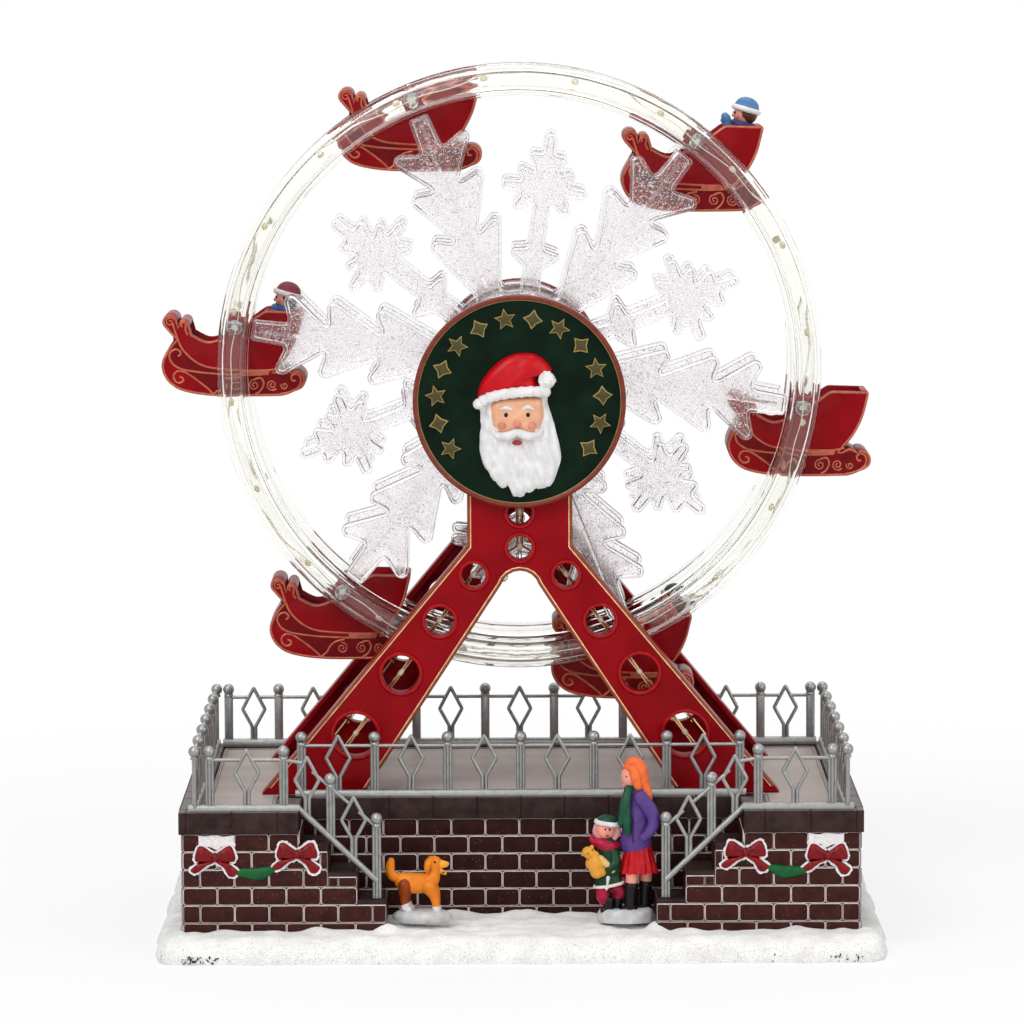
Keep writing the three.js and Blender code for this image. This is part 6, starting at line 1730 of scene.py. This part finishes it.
class Figure(Piece):
    """A small figure in one plane, drawn on a fine grid: its origin, the place of that on the table and its scale."""

    def __init__(self, name, origin, place, per_mm, around, rows):
        super().__init__(name)
        self.origin, self.place, self.per_mm = origin, place, per_mm
        self.around, self.rows = around, rows

    def spot(self, cx, cy, depth=0.0):
        return (self.place[0] + (cx - self.origin[0]) / self.per_mm, FIGURE_Y + depth,
                self.place[1] + (self.origin[1] - cy) / self.per_mm)

    def part(self, spots, radii, material, depth=0.0, around=None):
        """A limb through spots of the grid, with one depth or a list of them."""
        depths = depth if isinstance(depth, list) else [depth] * len(spots)
        self.limb([self.spot(*spot, dy) for spot, dy in zip(spots, depths)], radii, material, around or self.around)

    def lump(self, cx, cy, radii, material, depth=0.0, turn=(0, 0, 0), rows=None, around=None):
        self.ball(self.spot(cx, cy, depth), radii, material, turn, rows or self.rows[0], around or self.rows[1])


class FERRIS_OT_figures(bpy.types.Operator):
    """Models the woman with the child and the dog, each on its snowy foot"""
    bl_idname = "ferris.figures"
    bl_label = "Figures"

    def execute(self, context):
        self.people()
        self.dog()
        return {"FINISHED"}

    def people(self):
        piece = Figure("woman_and_child_figure", (640, 1340), (43.8, 15.3), 21.98, 16, (12, 18))
        y = FIGURE_Y
        foot = smooth_line([(28.6, -70), (31.0, -75.0), (37.5, -77.4), (44.0, -76.6), (49.0, -73.0), (49.4, -68.0),
                            (45.0, -63.8), (38.0, -62.6), (31.6, -64.6)], 5, True)
        lump = random.Random(3)
        rows = []
        for share, level in ((1.0, 10.9), (1.02, 12.6), (0.99, 14.2), (0.93, 15.3), (0.8, 15.9), (0.4, 15.7)):
            rows.append([(39.2 + (px - 39.2) * share + lump.gauss(0, 0.08), y + (py - y) * share,
                          level + lump.gauss(0, 0.14 if level > 11 else 0)) for px, py in foot])
        piece.loft(rows, enamel("grey_snow_enamel", "#cfcfcf", 0.5, 0.75), (39.2, y, 15.7))
        skin = enamel("skin_enamel", SKIN, 0.45, 0.92)
        scarf = enamel("green_scarf_enamel", "#17543a", 0.4, 0.6)
        boot = enamel("black_boot_enamel", "#121011", 0.24, 0.8)
        self.woman(piece, skin, scarf, boot)
        self.child(piece, skin, scarf, boot)
        piece.finish("base", ["woman_and_child"], crease=45)

    def woman(self, piece, skin, scarf, boot):
        hair = enamel("ginger_hair_enamel", "#f2733a", 0.4, 0.85)
        purple = enamel("purple_jacket_enamel", "#5b3f86", 0.4, 0.72)
        skirt = enamel("red_skirt_enamel", "#c8101a", 0.34, 0.6)
        eye, lip, _ = face_paints()
        limb, ball, y = piece.part, piece.lump, FIGURE_Y
        for cx, dy in ((580, -2.0), (700, 1.8)):
            limb([(cx + 10, 1020), (cx + 6, 1120), (cx + 2, 1180)], [2.5, 2.1, 2.0], skin, dy)
            limb([(cx + 4, 1140), (cx, 1230), (cx - 4, 1330)], [2.6, 2.4, 2.3], boot, dy)
            limb([(cx + 6, 1335), (cx - 62, 1342)], [2.3, 1.7], boot, [dy, dy - 0.8])
            x, _, z = piece.spot(cx + 4, 1142)
            ring = [(x + 2.55 * cos(a), y + dy + 2.55 * sin(a), z + 0.4 * cos(3 * a))
                    for a in angles(20)]
            piece.tubes([ring], 0.35, boot, True, 2)
        cx, _, cz = piece.spot(640, 1030)
        rows = []
        for share in (0.0, 0.35, 0.7, 1.0):
            wide = 7.1 - 2.5 * share
            row = []
            for a in angles(60):
                pleat = 1 + (0.06 * (1 - share) + 0.02) * cos(15 * a)
                row.append((cx + 0.1 + wide * cos(a) * pleat, y + wide * 0.8 * sin(a) * pleat,
                            cz + 11.2 * share - 0.25 * (1 - share) * cos(15 * a)))
            rows.append(row)
        piece.loft(rows, skirt)
        (x0, _, z0), (x1, _, z1), (x2, _, z2) = (piece.spot(*spot) for spot in ((622, 780), (640, 560), (630, 360)))
        body = Piece("jacket")
        body.limb([(x0, 0, z0), ((x0 + x1) / 2, 0, (z0 + z1) / 2), (x1 - 0.4, 0, z1), (x2, 0, z2)],
                  [6.0, 5.5, 5.4, 3.6], purple, 26)
        for vert in body.mesh.verts:
            vert.co.y *= 0.78
        piece.take(body.data(1.0), purple, moved(y=y))
        limb([(660, 400), (740, 500), (770, 600), (730, 680), (690, 720)], [2.9, 2.7, 2.3, 2.1, 1.9], purple,
             [-3.0, -4.0, -4.4, -4.6, -4.4])
        limb([(600, 420), (560, 560), (520, 640)], [2.5, 2.3, 1.8], purple, [3.6, 4.2, 4.0])
        limb([(640, 350), (690, 345), (720, 380)], [1.9, 2.0, 1.6], purple, [-1.5, 0.5, 1.6])
        limb([(600, 560), (596, 690), (600, 770)], [0.3, 0.32, 0.3], enamel("dark_purple_seam", "#3c285c"), -4.5, 8)
        limb([(560, 335), (600, 330), (620, 345)], [1.7, 2.1, 1.7], scarf, [-2.2, 0.0, 2.0])
        limb([(560, 340), (540, 420), (520, 520), (500, 600)], [1.6, 1.9, 1.9, 1.3], scarf, [-2.8, -4.2, -4.8, -4.4])
        limb([(550, 380), (545, 500), (548, 600), (555, 680)], [1.3, 1.6, 1.6, 1.1], scarf, [-3.4, -4.8, -5.2, -5.0])
        ball(575, 235, (3.4, 3.3, 4.2), skin, 0.0, (0, 0, 0), 16, 22)
        ball(520, 262, (0.8, 0.8, 0.7), skin, 0.0)
        ball(534, 300, (1.2, 1.3, 1.0), skin, 0.0)
        ball(548, 226, (0.42, 0.42, 0.5), eye, -2.7)
        ball(528, 292, (0.55, 0.8, 0.3), lip, -0.5)
        limb([(535, 150), (590, 128), (640, 150), (668, 230), (672, 300)], [0.9, 2.6, 3.2, 2.9, 2.6], hair,
             [-0.4, 0, 0, 0, 0], 20)
        limb([(560, 150), (600, 170), (622, 240), (640, 300)], [1.1, 1.8, 2.0, 1.7], hair, [-2.0, -2.6, -2.9, -2.7])
        limb([(650, 200), (690, 300), (725, 390), (742, 440)], [2.8, 2.4, 1.7, 0.7], hair, [0, 0, -0.8, -1.2])

    def child(self, piece, skin, scarf, boot):
        """A child who carries a toy bear."""
        dress_green = enamel("dark_green_dress_enamel", "#123d24", 0.36, 0.7)
        crimson = enamel("crimson_enamel", "#b3163f", 0.38, 0.65)
        bear = enamel("honey_bear_enamel", "#eba33c", 0.42, 0.75)
        white = enamel("white_fleece_enamel", "#ece4e2", 0.6)
        eye, lip, _ = face_paints()
        limb, ball, y = piece.part, piece.lump, FIGURE_Y
        ball(372, 668, (3.5, 3.3, 3.7), skin, -1.0, (0, 0, 0), 16, 22)
        pink = enamel("pink_bonnet_enamel", "#d79a9a", 0.5)
        limb([(300, 640), (292, 690), (320, 740)], [1.1, 1.2, 1.0], pink, [-1.0, -1.2, -1.6])
        limb([(455, 620), (470, 690), (440, 745)], [1.3, 1.4, 1.1], pink, [-1.0, -1.0, -1.4])
        hat_x, _, hat_z = piece.spot(385, 630)
        cap = moved(hat_x, y - 0.6, hat_z, about_y=8)
        profile = smooth_line([(4.2, 0), (4.1, 1.4), (3.2, 2.7), (1.6, 3.5), (0, 3.8)], 4)
        piece.turned([(0, 0)] + profile, scarf, 26, cap)
        brim = [cap @ Vector((4.1 * cos(a), 4.0 * sin(a), 0.7)) for a in angles(26)]
        piece.tubes([brim], 0.95, white, True, 3)
        for cx in (370, 406):
            ball(cx, 660, (0.36, 0.3, 0.5), eye, -4.1, (0, 0, 0), 8, 10)
        ball(388, 684, (0.5, 0.5, 0.45), skin, -4.35, (0, 0, 0), 8, 10)
        ball(388, 714, (0.7, 0.35, 0.42), lip, -4.0, (0, 0, 0), 8, 10)
        limb([(300, 765), (350, 790), (410, 805), (455, 800)], [1.8, 2.3, 2.3, 1.7], crimson, [-1.6, -2.6, -2.4, -1.0])
        limb([(270, 722), (262, 745), (290, 780)], [0.9, 1.2, 1.2], crimson, [-1.2, -1.6, -2.0])
        limb([(390, 800), (400, 900), (402, 1000)], [3.8, 4.4, 4.7], dress_green, [-0.6, -0.4, -0.4], 22)
        cx, _, cz = piece.spot(400, 1130)
        skirt_rows = []
        for share in (0.0, 0.5, 1.0):
            wide = 5.4 - 1.1 * share
            dip = 0.9 if share == 0 else 0
            skirt_rows.append([(cx + wide * cos(a) * (1 + 0.03 * cos(9 * a)), y - 0.5 + wide * 0.8 * sin(a),
                                cz + 5.4 * share + dip * cos(a)) for a in angles(40)])
        piece.loft(skirt_rows, dress_green)
        piece.tubes([skirt_rows[0]], 0.6, white, True, 3)
        limb([(392, 1060), (386, 1110), (378, 1150)], [0.75, 0.45, 0.6], white, [-4.6, -4.9, -5.0], 8)
        limb([(345, 1170), (350, 1230), (356, 1262)], [2.3, 2.5, 1.9], crimson, -2.0)
        limb([(450, 1160), (500, 1190), (470, 1240)], [2.2, 2.4, 1.9], crimson, 0.4)
        limb([(505, 1090), (560, 1110), (590, 1130)], [1.8, 2.3, 1.2], crimson, 0.6)
        for cx, dy in ((400, -2.2), (470, 0.4)):
            limb([(cx, 1260), (cx - 4, 1330)], [2.0, 2.1], boot, dy)
            limb([(cx, 1335), (cx - 40, 1340)], [1.9, 1.5], boot, [dy, dy - 0.6])
        limb([(330, 1000), (280, 960), (250, 940)], [2.6, 2.6, 2.1], bear, [-3.6, -4.4, -4.6], 18)
        limb([(300, 1010), (290, 940), (275, 880)], [2.6, 3.2, 2.2], bear, -4.4, 18)
        ball(235, 850, (2.7, 2.4, 2.3), bear, -4.6, (0, 25, 0), 12, 18)
        limb([(215, 855), (186, 862)], [1.2, 0.75], bear, -4.8, 12)
        ball(258, 800, (0.8, 0.5, 0.8), bear, -5.2, (0, 0, 0), 8, 12)
        for cx, cy in ((228, 850), (262, 820)):
            ball(cx, cy, (0.28, 0.25, 0.28), eye, -6.9, (0, 0, 0), 6, 8)
        limb([(330, 900), (385, 950), (430, 1000)], [1.4, 1.3, 0.9], enamel("pale_honey_enamel", "#e9c27f", 0.45),
             [-4.9, -5.2, -4.8], 12)
        limb([(440, 850), (450, 930), (400, 985)], [1.9, 1.8, 1.5], dress_green, [-3.0, -4.6, -5.4], 14)

    def dog(self):
        coat = enamel("golden_coat_enamel", "#e9831c", 0.4, 0.85, 5.0)
        dark = enamel("brown_haunch_enamel", "#8f3a0c", 0.42, 0.8)
        pale = enamel("light_gold_enamel", "#f6ab38", 0.42, 0.9)
        white = enamel("white_paw_enamel", "#e4e1e2", 0.5, 0.88)
        base = enamel("grey_snow_enamel", "#cfcfcf", 0.5, 0.75)
        eye = face_paints()[0]
        piece = Figure("dog_figure", (700, 1250), (-38.7, 15.1), 49.15, 18, (10, 14))
        limb, ball, y = piece.part, piece.lump, FIGURE_Y
        profile = [(9.0, 10.8), (10.9, 11.9), (11.4, 13.0), (10.6, 14.2), (8.4, 15.2), (4.0, 15.7)]
        oval = Matrix.Translation((-37.4, y, 0)) @ Matrix.Diagonal((0.99, 0.6, 1.0, 1.0))
        piece.turned([(0, 10.8)] + smooth_line(profile, 3) + [(0, 15.8)], base, 56, oval)
        limb([(420, 700), (520, 720), (640, 740), (800, 740), (900, 760)], [3.3, 3.7, 3.9, 3.7, 3.3], coat, 0.0, 24)
        limb([(880, 740), (950, 640), (985, 540), (1000, 440)], [3.6, 3.1, 2.5, 2.3], coat, 0.0, 22)
        ball(990, 370, (3.1, 2.7, 2.9), coat, 0.0, (0, 12, 0), 16, 22)
        limb([(1060, 380), (1140, 385), (1205, 385)], [2.0, 1.6, 1.2], pale, 0.0, 16)
        ball(1232, 380, (0.75, 0.8, 0.85), enamel("pale_nose_enamel", "#f0d2a8", 0.3))
        limb([(1060, 470), (1130, 520), (1195, 555)], [1.3, 1.0, 0.65], pale, 0.0, 12)
        limb([(1100, 500), (1165, 540)], [0.5, 0.45], enamel("dark_mouth_enamel", "#7b2a12"), -0.5, 8)
        for side in (-1, 1):
            limb([(930, 300), (880, 370), (862, 450), (868, 500)], [1.2, 1.3, 1.1, 0.6], coat,
                 [side * 1.6, side * 2.6, side * 2.9, side * 2.8], 14)
            ball(1005, 332, (0.55, 0.4, 0.6), eye, side * 2.3)
        limb([(330, 640), (230, 600), (180, 500), (185, 400), (200, 320)], [1.7, 1.9, 1.8, 1.7, 1.3], coat, 0.0, 16)
        for cx, dy in ((455, -1.8), (500, 1.9)):
            limb([(cx, 760), (cx - 10, 880), (cx - 20, 1000), (cx - 5, 1120)], [2.9, 2.4, 1.6, 1.5], dark, dy)
            limb([(cx, 1130), (cx + 14, 1180), (cx + 60, 1220)], [1.6, 1.7, 1.5], white, [dy, dy, dy - 0.3], 14)
        for cx, dy in ((985, -1.9), (1000, 1.8)):
            limb([(cx - 90, 800), (cx - 20, 900), (cx + 20, 1020), (cx + 40, 1160)], [3.0, 2.4, 1.7, 1.3], coat, dy, 18)
            limb([(cx + 36, 1180), (cx + 50, 1230)], [1.4, 1.5], white, [dy, dy - 0.4], 14)
        piece.finish("base", ["dog"], crease=60)


# Snow

SNOW_HALF_X = 136.6
SNOW_HALF_Y = 99.4
SNOW_CORNER = 11.0
SNOW_HOLE = (-100.4, 100.4, -36.4, 84.4)        # open under the platform: from and to in X, then in Y


def snow_height(x, y, inset, shades):
    """Height of the snow: a rounded border, slow drifts and low heaps against the walls."""
    edge = min(inset / 9.0, 1.0)
    border = sqrt(max(1 - (1 - edge) ** 2, 0))
    drift = 0.45 * sin(0.071 * x + 0.4) * cos(0.093 * y + 0.2) + 0.3 * sin(0.19 * x + 0.13 * y)
    fine = sum(a * sin(fx * x + fy * y + p) for a, fx, fy, p in shades)
    heap = 0.0
    for hx, hy, hr, hz in HEAPS:
        d = hypot(x - hx, y - hy) / hr
        if d < 1:
            heap = max(heap, hz * (1 - d * d) ** 2)
    return 3.4 + 5.9 * border + (drift + fine) * border * 0.9 + heap * border


HEAPS = [(50.5, -79.0, 6.0, 3.4), (-50.5, -79.0, 6.5, 3.0), (62.0, -82.5, 7.0, 1.2), (-76.0, -83.0, 8.0, 1.5),
         (104.0, -83.0, 9.0, 1.1), (-112.0, -83.0, 9.0, 1.3), (0.0, -48.0, 14.0, 1.6), (-24.0, -49.0, 9.0, 1.2),
         (22.0, -48.5, 10.0, 1.4), (131.0, -40.0, 8.0, 1.0), (-131.0, 10.0, 8.0, 1.1), (131.0, 44.0, 9.0, 1.2)]


def snow_sheet(shades):
    """Top of the snow: its points and faces, then the rows of points along its outer edge and its hole."""
    half_x, half_y, corner = SNOW_HALF_X, SNOW_HALF_Y, SNOW_CORNER
    hole = SNOW_HOLE

    def reach(y):
        """Half width of the base at a place in Y, with a drifting edge."""
        wave = 0.55 * sin(0.11 * y + 1.0) + 0.4 * sin(0.29 * y)
        inside = max(abs(y) - (half_y - corner), 0)
        return half_x + wave - corner + sqrt(max(corner ** 2 - inside ** 2, 0))

    def spread(a, b, count):
        return [a + (b - a) * i / count for i in range(count)]

    ys = spread(-half_y, hole[2], 60) + spread(hole[2], hole[3], 60) + spread(hole[3], half_y, 15) + [half_y]
    first_hole, last_hole = 60, 120
    sides, middle = 30, 130
    points = []
    width = 2 * sides + middle + 1
    for y in ys:
        r = reach(y)
        xs = spread(-r, hole[0], sides) + spread(hole[0], hole[1], middle) + spread(hole[1], r, sides) + [r]
        for x in xs:
            lift = 0.5 * sin(0.13 * x + 0.7) + 0.35 * sin(0.31 * x)
            stretch = 1 + lift / half_y * (abs(y) / half_y) ** 6
            inset = max(min(r - abs(x), half_y - abs(y)), 0)
            past_x = abs(x) - ((r if abs(y) < half_y - corner else half_x) - corner)
            past_y = abs(y) - (half_y - corner)
            inset = max(min(inset, corner - hypot(max(past_x, 0), max(past_y, 0))), 0)
            points.append((x, y * stretch, snow_height(x, y, inset, shades)))
    faces = []

    def at(row, col):
        return row * width + col

    for row in range(len(ys) - 1):
        for col in range(width - 1):
            if first_hole <= row < last_hole and sides <= col < sides + middle:
                continue
            faces.append((at(row, col), at(row, col + 1), at(row + 1, col + 1), at(row + 1, col)))
    outside = [at(0, c) for c in range(width)] + [at(r, width - 1) for r in range(1, len(ys))]
    outside += [at(len(ys) - 1, c) for c in range(width - 2, -1, -1)]
    outside += [at(r, 0) for r in range(len(ys) - 2, 0, -1)]
    inside = [at(first_hole, c) for c in range(sides, sides + middle + 1)]
    inside += [at(r, sides + middle) for r in range(first_hole + 1, last_hole + 1)]
    inside += [at(last_hole, c) for c in range(sides + middle - 1, sides - 1, -1)]
    inside += [at(r, sides) for r in range(last_hole - 1, first_hole, -1)]
    return points, faces, outside, inside


class FERRIS_OT_snow(bpy.types.Operator):
    """Spreads the snow base with its soft uneven edge, open under the platform"""
    bl_idname = "ferris.snow"
    bl_label = "Snow base"

    def execute(self, context):
        snow = snow_paint(context.scene.ferris_finishes)
        chance = random.Random(8)
        shades = [(chance.uniform(0.05, 0.17), chance.uniform(-0.9, 0.9), chance.uniform(-0.9, 0.9),
                   chance.uniform(0, TAU)) for _ in range(14)]
        points, faces, outside, inside = snow_sheet(shades)
        lower = {}
        for i in outside:
            x, y, z = points[i]
            lower[i] = len(points)
            points += [(x * 1.003, y * 1.003, z * 0.45), (x * 0.998, y * 0.998, 0.0)]
        for i in inside:
            lower[i] = len(points)
            points.append((*points[i][:2], 0.0))
        for k, i in enumerate(outside):
            j = outside[(k + 1) % len(outside)]
            faces.append((i, lower[i], lower[j], j))
            faces.append((lower[i], lower[i] + 1, lower[j] + 1, lower[j]))
        for k, i in enumerate(inside):
            j = inside[(k + 1) % len(inside)]
            faces.append((i, j, lower[j], lower[i]))
        spots, triangles = filled([[points[lower[i] + 1][:2] for i in outside], [points[lower[i]][:2] for i in inside]])
        piece = Piece("snow_drift")
        piece.shape(points, faces, snow)
        piece.shape([(x, y, 0) for x, y in spots], triangles, snow)
        self.chips(piece)
        piece.finish("base", ["snow_base"])
        return {"FINISHED"}

    def chips(self, piece):
        """Dark chips that stick to the lower front edge near the corners."""
        black = enamel("black_grit", "#1a1715", 0.7)
        chance = random.Random(4)
        places = []
        for x, spread, count in (
                (-122.0, 4.5, 34), (-134.0, 1.2, 7), (-112.0, 3.0, 5), (121.0, 4.5, 16), (95.0, 9.0, 5)):
            for _ in range(count):
                size = chance.uniform(0.3, 1.0)
                along = max(min(x + chance.gauss(0, spread), 134.0), -134.0)
                edge = SNOW_HALF_Y - SNOW_CORNER + sqrt(SNOW_CORNER ** 2 - max(abs(along) - 125.9, 0) ** 2)
                places.append(((along, chance.uniform(-0.6, 0.1) - edge, chance.uniform(0.7, 3.2)),
                               (0.0, chance.uniform(0, 3), 0.0), (size, 0.6, size * chance.uniform(0.4, 0.9))))
        chip = Piece("chip")
        chip.ball((0, 0, 0), (0.75, 0.5, 0.5), black, rows=4, around=6)
        piece.scatter(chip, black, places)


class FERRIS_OT_works(bpy.types.Operator):
    """Gives the drive, the electrics and the underside their materials"""
    bl_idname = "ferris.works"
    bl_label = "Drive and electrics"

    def execute(self, context):
        red = red_gloss(context.scene.ferris_finishes)
        pins = ["sleigh_pin_" + str(i) for i in range(1, 7)]
        dress(plain_metal("drawn_axle_steel", "#b4b6bb", 0.3), "wheel_axle", *pins)
        dress(moulded("natural_nylon", "#e6e1d2", 0.5), "axle_gear", "motor_pinion", "wheel_hub")
        low, high = (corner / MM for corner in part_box("motor_housing"))
        radius, deep = (high.x - low.x) / 2, high.y - low.y
        housing = Piece("motor_housing_moulding")
        bend = [(radius - 3.4 + u, deep - 3.0 + v) for u, v in arc(0, 0, 3.0, 0, 90, 8)]
        housing.turned([(radius, 0), (radius, 1.8), (radius - 0.4, 2.2), *bend, (radius - 9.0, deep),
                        (radius - 9.4, deep - 0.5), (0, deep - 0.5), (0, deep - 2.2), (radius - 2.2, deep - 2.2),
                        (radius - 2.2, 0), (radius, 0)], red, 128,
                       moved(y=low.y, z=(low.z + high.z) / 2, about_x=-90))
        housing.finish("base", ["motor_housing"])
        dress(plain_metal("zinc_plated_motor_can", "#a9acae", 0.36), "gear_motor", "battery_door_screw")
        dress(moulded("black_abs", "#1c1b1d", 0.52), "bottom_cover", "battery_box", "battery_door", "power_switch_body",
              "speaker")
        dress(moulded("white_switch_slider", "#d9d8d4", 0.45), "power_switch_slider")
        dress(moulded("green_solder_mask", "#1d6a3c", 0.35), "music_board")
        dress(moulded("green_cell_sleeve", "#3f8a3d", 0.35), "battery_cell_1", "battery_cell_2", "battery_cell_3")
        return {"FINISHED"}


def seen_directly(tree):
    """1 on the rays that come from the camera, from a gloss or through clear plastic, else 0."""
    path = add(tree, "ShaderNodeLightPath")
    direct = add(tree, "ShaderNodeMath", links={0: path.outputs["Is Camera Ray"], 1: path.outputs["Is Glossy Ray"]},
                 operation="MAXIMUM")
    return add(tree, "ShaderNodeMath", links={0: direct, 1: path.outputs["Is Transmission Ray"]}, operation="MAXIMUM")


class FERRIS_OT_stage(bpy.types.Operator):
    """Sets the camera of the photo, soft studio light and a plain pale floor"""
    bl_idname = "ferris.stage"
    bl_label = "Stage"

    def execute(self, context):
        scene = context.scene
        scene.view_settings.view_transform = "Standard"
        lens = bpy.data.cameras.new("studio camera")
        lens.lens = 197.73
        lens.sensor_width = 36
        lens.clip_end = 20
        eye = bpy.data.objects.new("studio camera", lens)
        eye.location = (-0.0057, -2.1562, 0.393)
        yaw, pitch, roll = -0.075, 6.219, 0.224         # degrees, as fitted to the photo
        aim = (Matrix.Rotation(radians(yaw), 3, "Z") @ Matrix.Rotation(radians(90 - pitch), 3, "X")
               @ Matrix.Rotation(radians(-roll), 3, "Z"))
        eye.rotation_euler = aim.to_euler()
        scene.collection.objects.link(eye)
        scene.camera = eye
        self.world(scene)
        for name, place, size, power in (
                ("key", (-0.9, -1.5, 1.7), 1.3, 25), ("fill", (1.5, -1.3, 0.9), 1.4, 10),
                ("top", (0.1, 0.3, 2.0), 1.6, 16), ("front", (-0.1, -2.6, 0.7), 0.9, 4)):
            self.light(name, place, size, power)
        self.floor()
        return {"FINISHED"}

    def world(self, scene):
        world = bpy.data.worlds.new("white studio")
        scene.world = world
        world.use_nodes = True
        tree = world.node_tree
        tree.nodes.clear()
        ambient = add(tree, "ShaderNodeBackground", {"Color": (0.94, 0.96, 1.0, 1), "Strength": 0.34})
        white = add(tree, "ShaderNodeBackground", {"Color": (1, 1, 1, 1), "Strength": 1.0})
        mix = add(tree, "ShaderNodeMixShader", links={0: seen_directly(tree), 1: ambient, 2: white})
        add(tree, "ShaderNodeOutputWorld", links={"Surface": mix})

    def light(self, name, place, size, power):
        lamp = bpy.data.lights.new(name, "AREA")
        lamp.energy = power
        lamp.size = size
        holder = bpy.data.objects.new(name, lamp)
        holder.location = place
        holder.rotation_euler = (Vector(place) - Vector((0, 0, 0.15))).to_track_quat("Z", "Y").to_euler()
        bpy.context.scene.collection.objects.link(holder)

    def floor(self):
        material, tree, shader, place = blank("pale_studio_floor", {"Roughness": 0.7})
        mottled(tree, place, shader, shade("#f4f4f4"), shade("#fafafa"), 400.0)
        away = add(tree, "ShaderNodeVectorMath", links={0: place}, operation="LENGTH")
        fade = add(tree, "ShaderNodeMapRange", {"From Min": 0.22, "From Max": 0.6, "To Min": 0.72, "To Max": 1.0},
                   {"Value": away.outputs["Value"]}, interpolation_type="SMOOTHSTEP")
        seen = add(tree, "ShaderNodeMath", links={0: seen_directly(tree), 1: fade}, operation="MULTIPLY")
        glow = add(tree, "ShaderNodeEmission", {"Color": (1, 1, 1, 1), "Strength": 1.0})
        mix = add(tree, "ShaderNodeMixShader", links={0: seen, 1: shader, 2: glow})
        output = [n for n in tree.nodes if n.bl_idname == "ShaderNodeOutputMaterial"][0]
        wire(tree, output, {"Surface": mix})
        data = bpy.data.meshes.new("studio_floor")
        data.from_pydata([(-8, -8, 0), (8, -8, 0), (8, 8, 0), (-8, 8, 0)], [], [(0, 1, 2, 3)])
        data.materials.append(material)
        holder = bpy.data.objects.new("studio_floor", data)
        bpy.context.scene.collection.objects.link(holder)


OPERATORS = (
    FERRIS_OT_snow, FERRIS_OT_platform, FERRIS_OT_fences, FERRIS_OT_frames, FERRIS_OT_frame_lights, FERRIS_OT_plaque,
    FERRIS_OT_rings, FERRIS_OT_ring_lights, FERRIS_OT_snowflakes, FERRIS_OT_sleighs, FERRIS_OT_riders,
    FERRIS_OT_figures, FERRIS_OT_bows, FERRIS_OT_works, FERRIS_OT_stage)


class FERRIS_PT_panel(bpy.types.Panel):
    """Sizes, colours and one button for each piece"""
    bl_idname = "FERRIS_PT_panel"
    bl_label = "Ferris wheel decoration"
    bl_space_type = "VIEW_3D"
    bl_region_type = "UI"
    bl_category = "Ferris wheel"

    def draw(self, context):
        scene = context.scene
        for label, group in (("Wheel", scene.ferris_wheel), ("Platform", scene.ferris_platform),
                             ("Finishes", scene.ferris_finishes)):
            box = self.layout.box()
            box.label(text=label)
            for name in type(group).__annotations__:
                box.prop(group, name)
        for operator in OPERATORS:
            self.layout.operator(operator.bl_idname)


CLASSES = (WheelSizes, PlatformSizes, Finishes, *OPERATORS, FERRIS_PT_panel)


def register():
    for kind in CLASSES:
        bpy.utils.register_class(kind)
    bpy.types.Scene.ferris_wheel = bpy.props.PointerProperty(type=WheelSizes)
    bpy.types.Scene.ferris_platform = bpy.props.PointerProperty(type=PlatformSizes)
    bpy.types.Scene.ferris_finishes = bpy.props.PointerProperty(type=Finishes)


def unregister():
    del bpy.types.Scene.ferris_finishes
    del bpy.types.Scene.ferris_platform
    del bpy.types.Scene.ferris_wheel
    for kind in reversed(CLASSES):
        bpy.utils.unregister_class(kind)


def main():
    register()
    for operator in OPERATORS:
        group, name = operator.bl_idname.split(".")
        getattr(getattr(bpy.ops, group), name)()


if __name__ == "__main__":
    main()
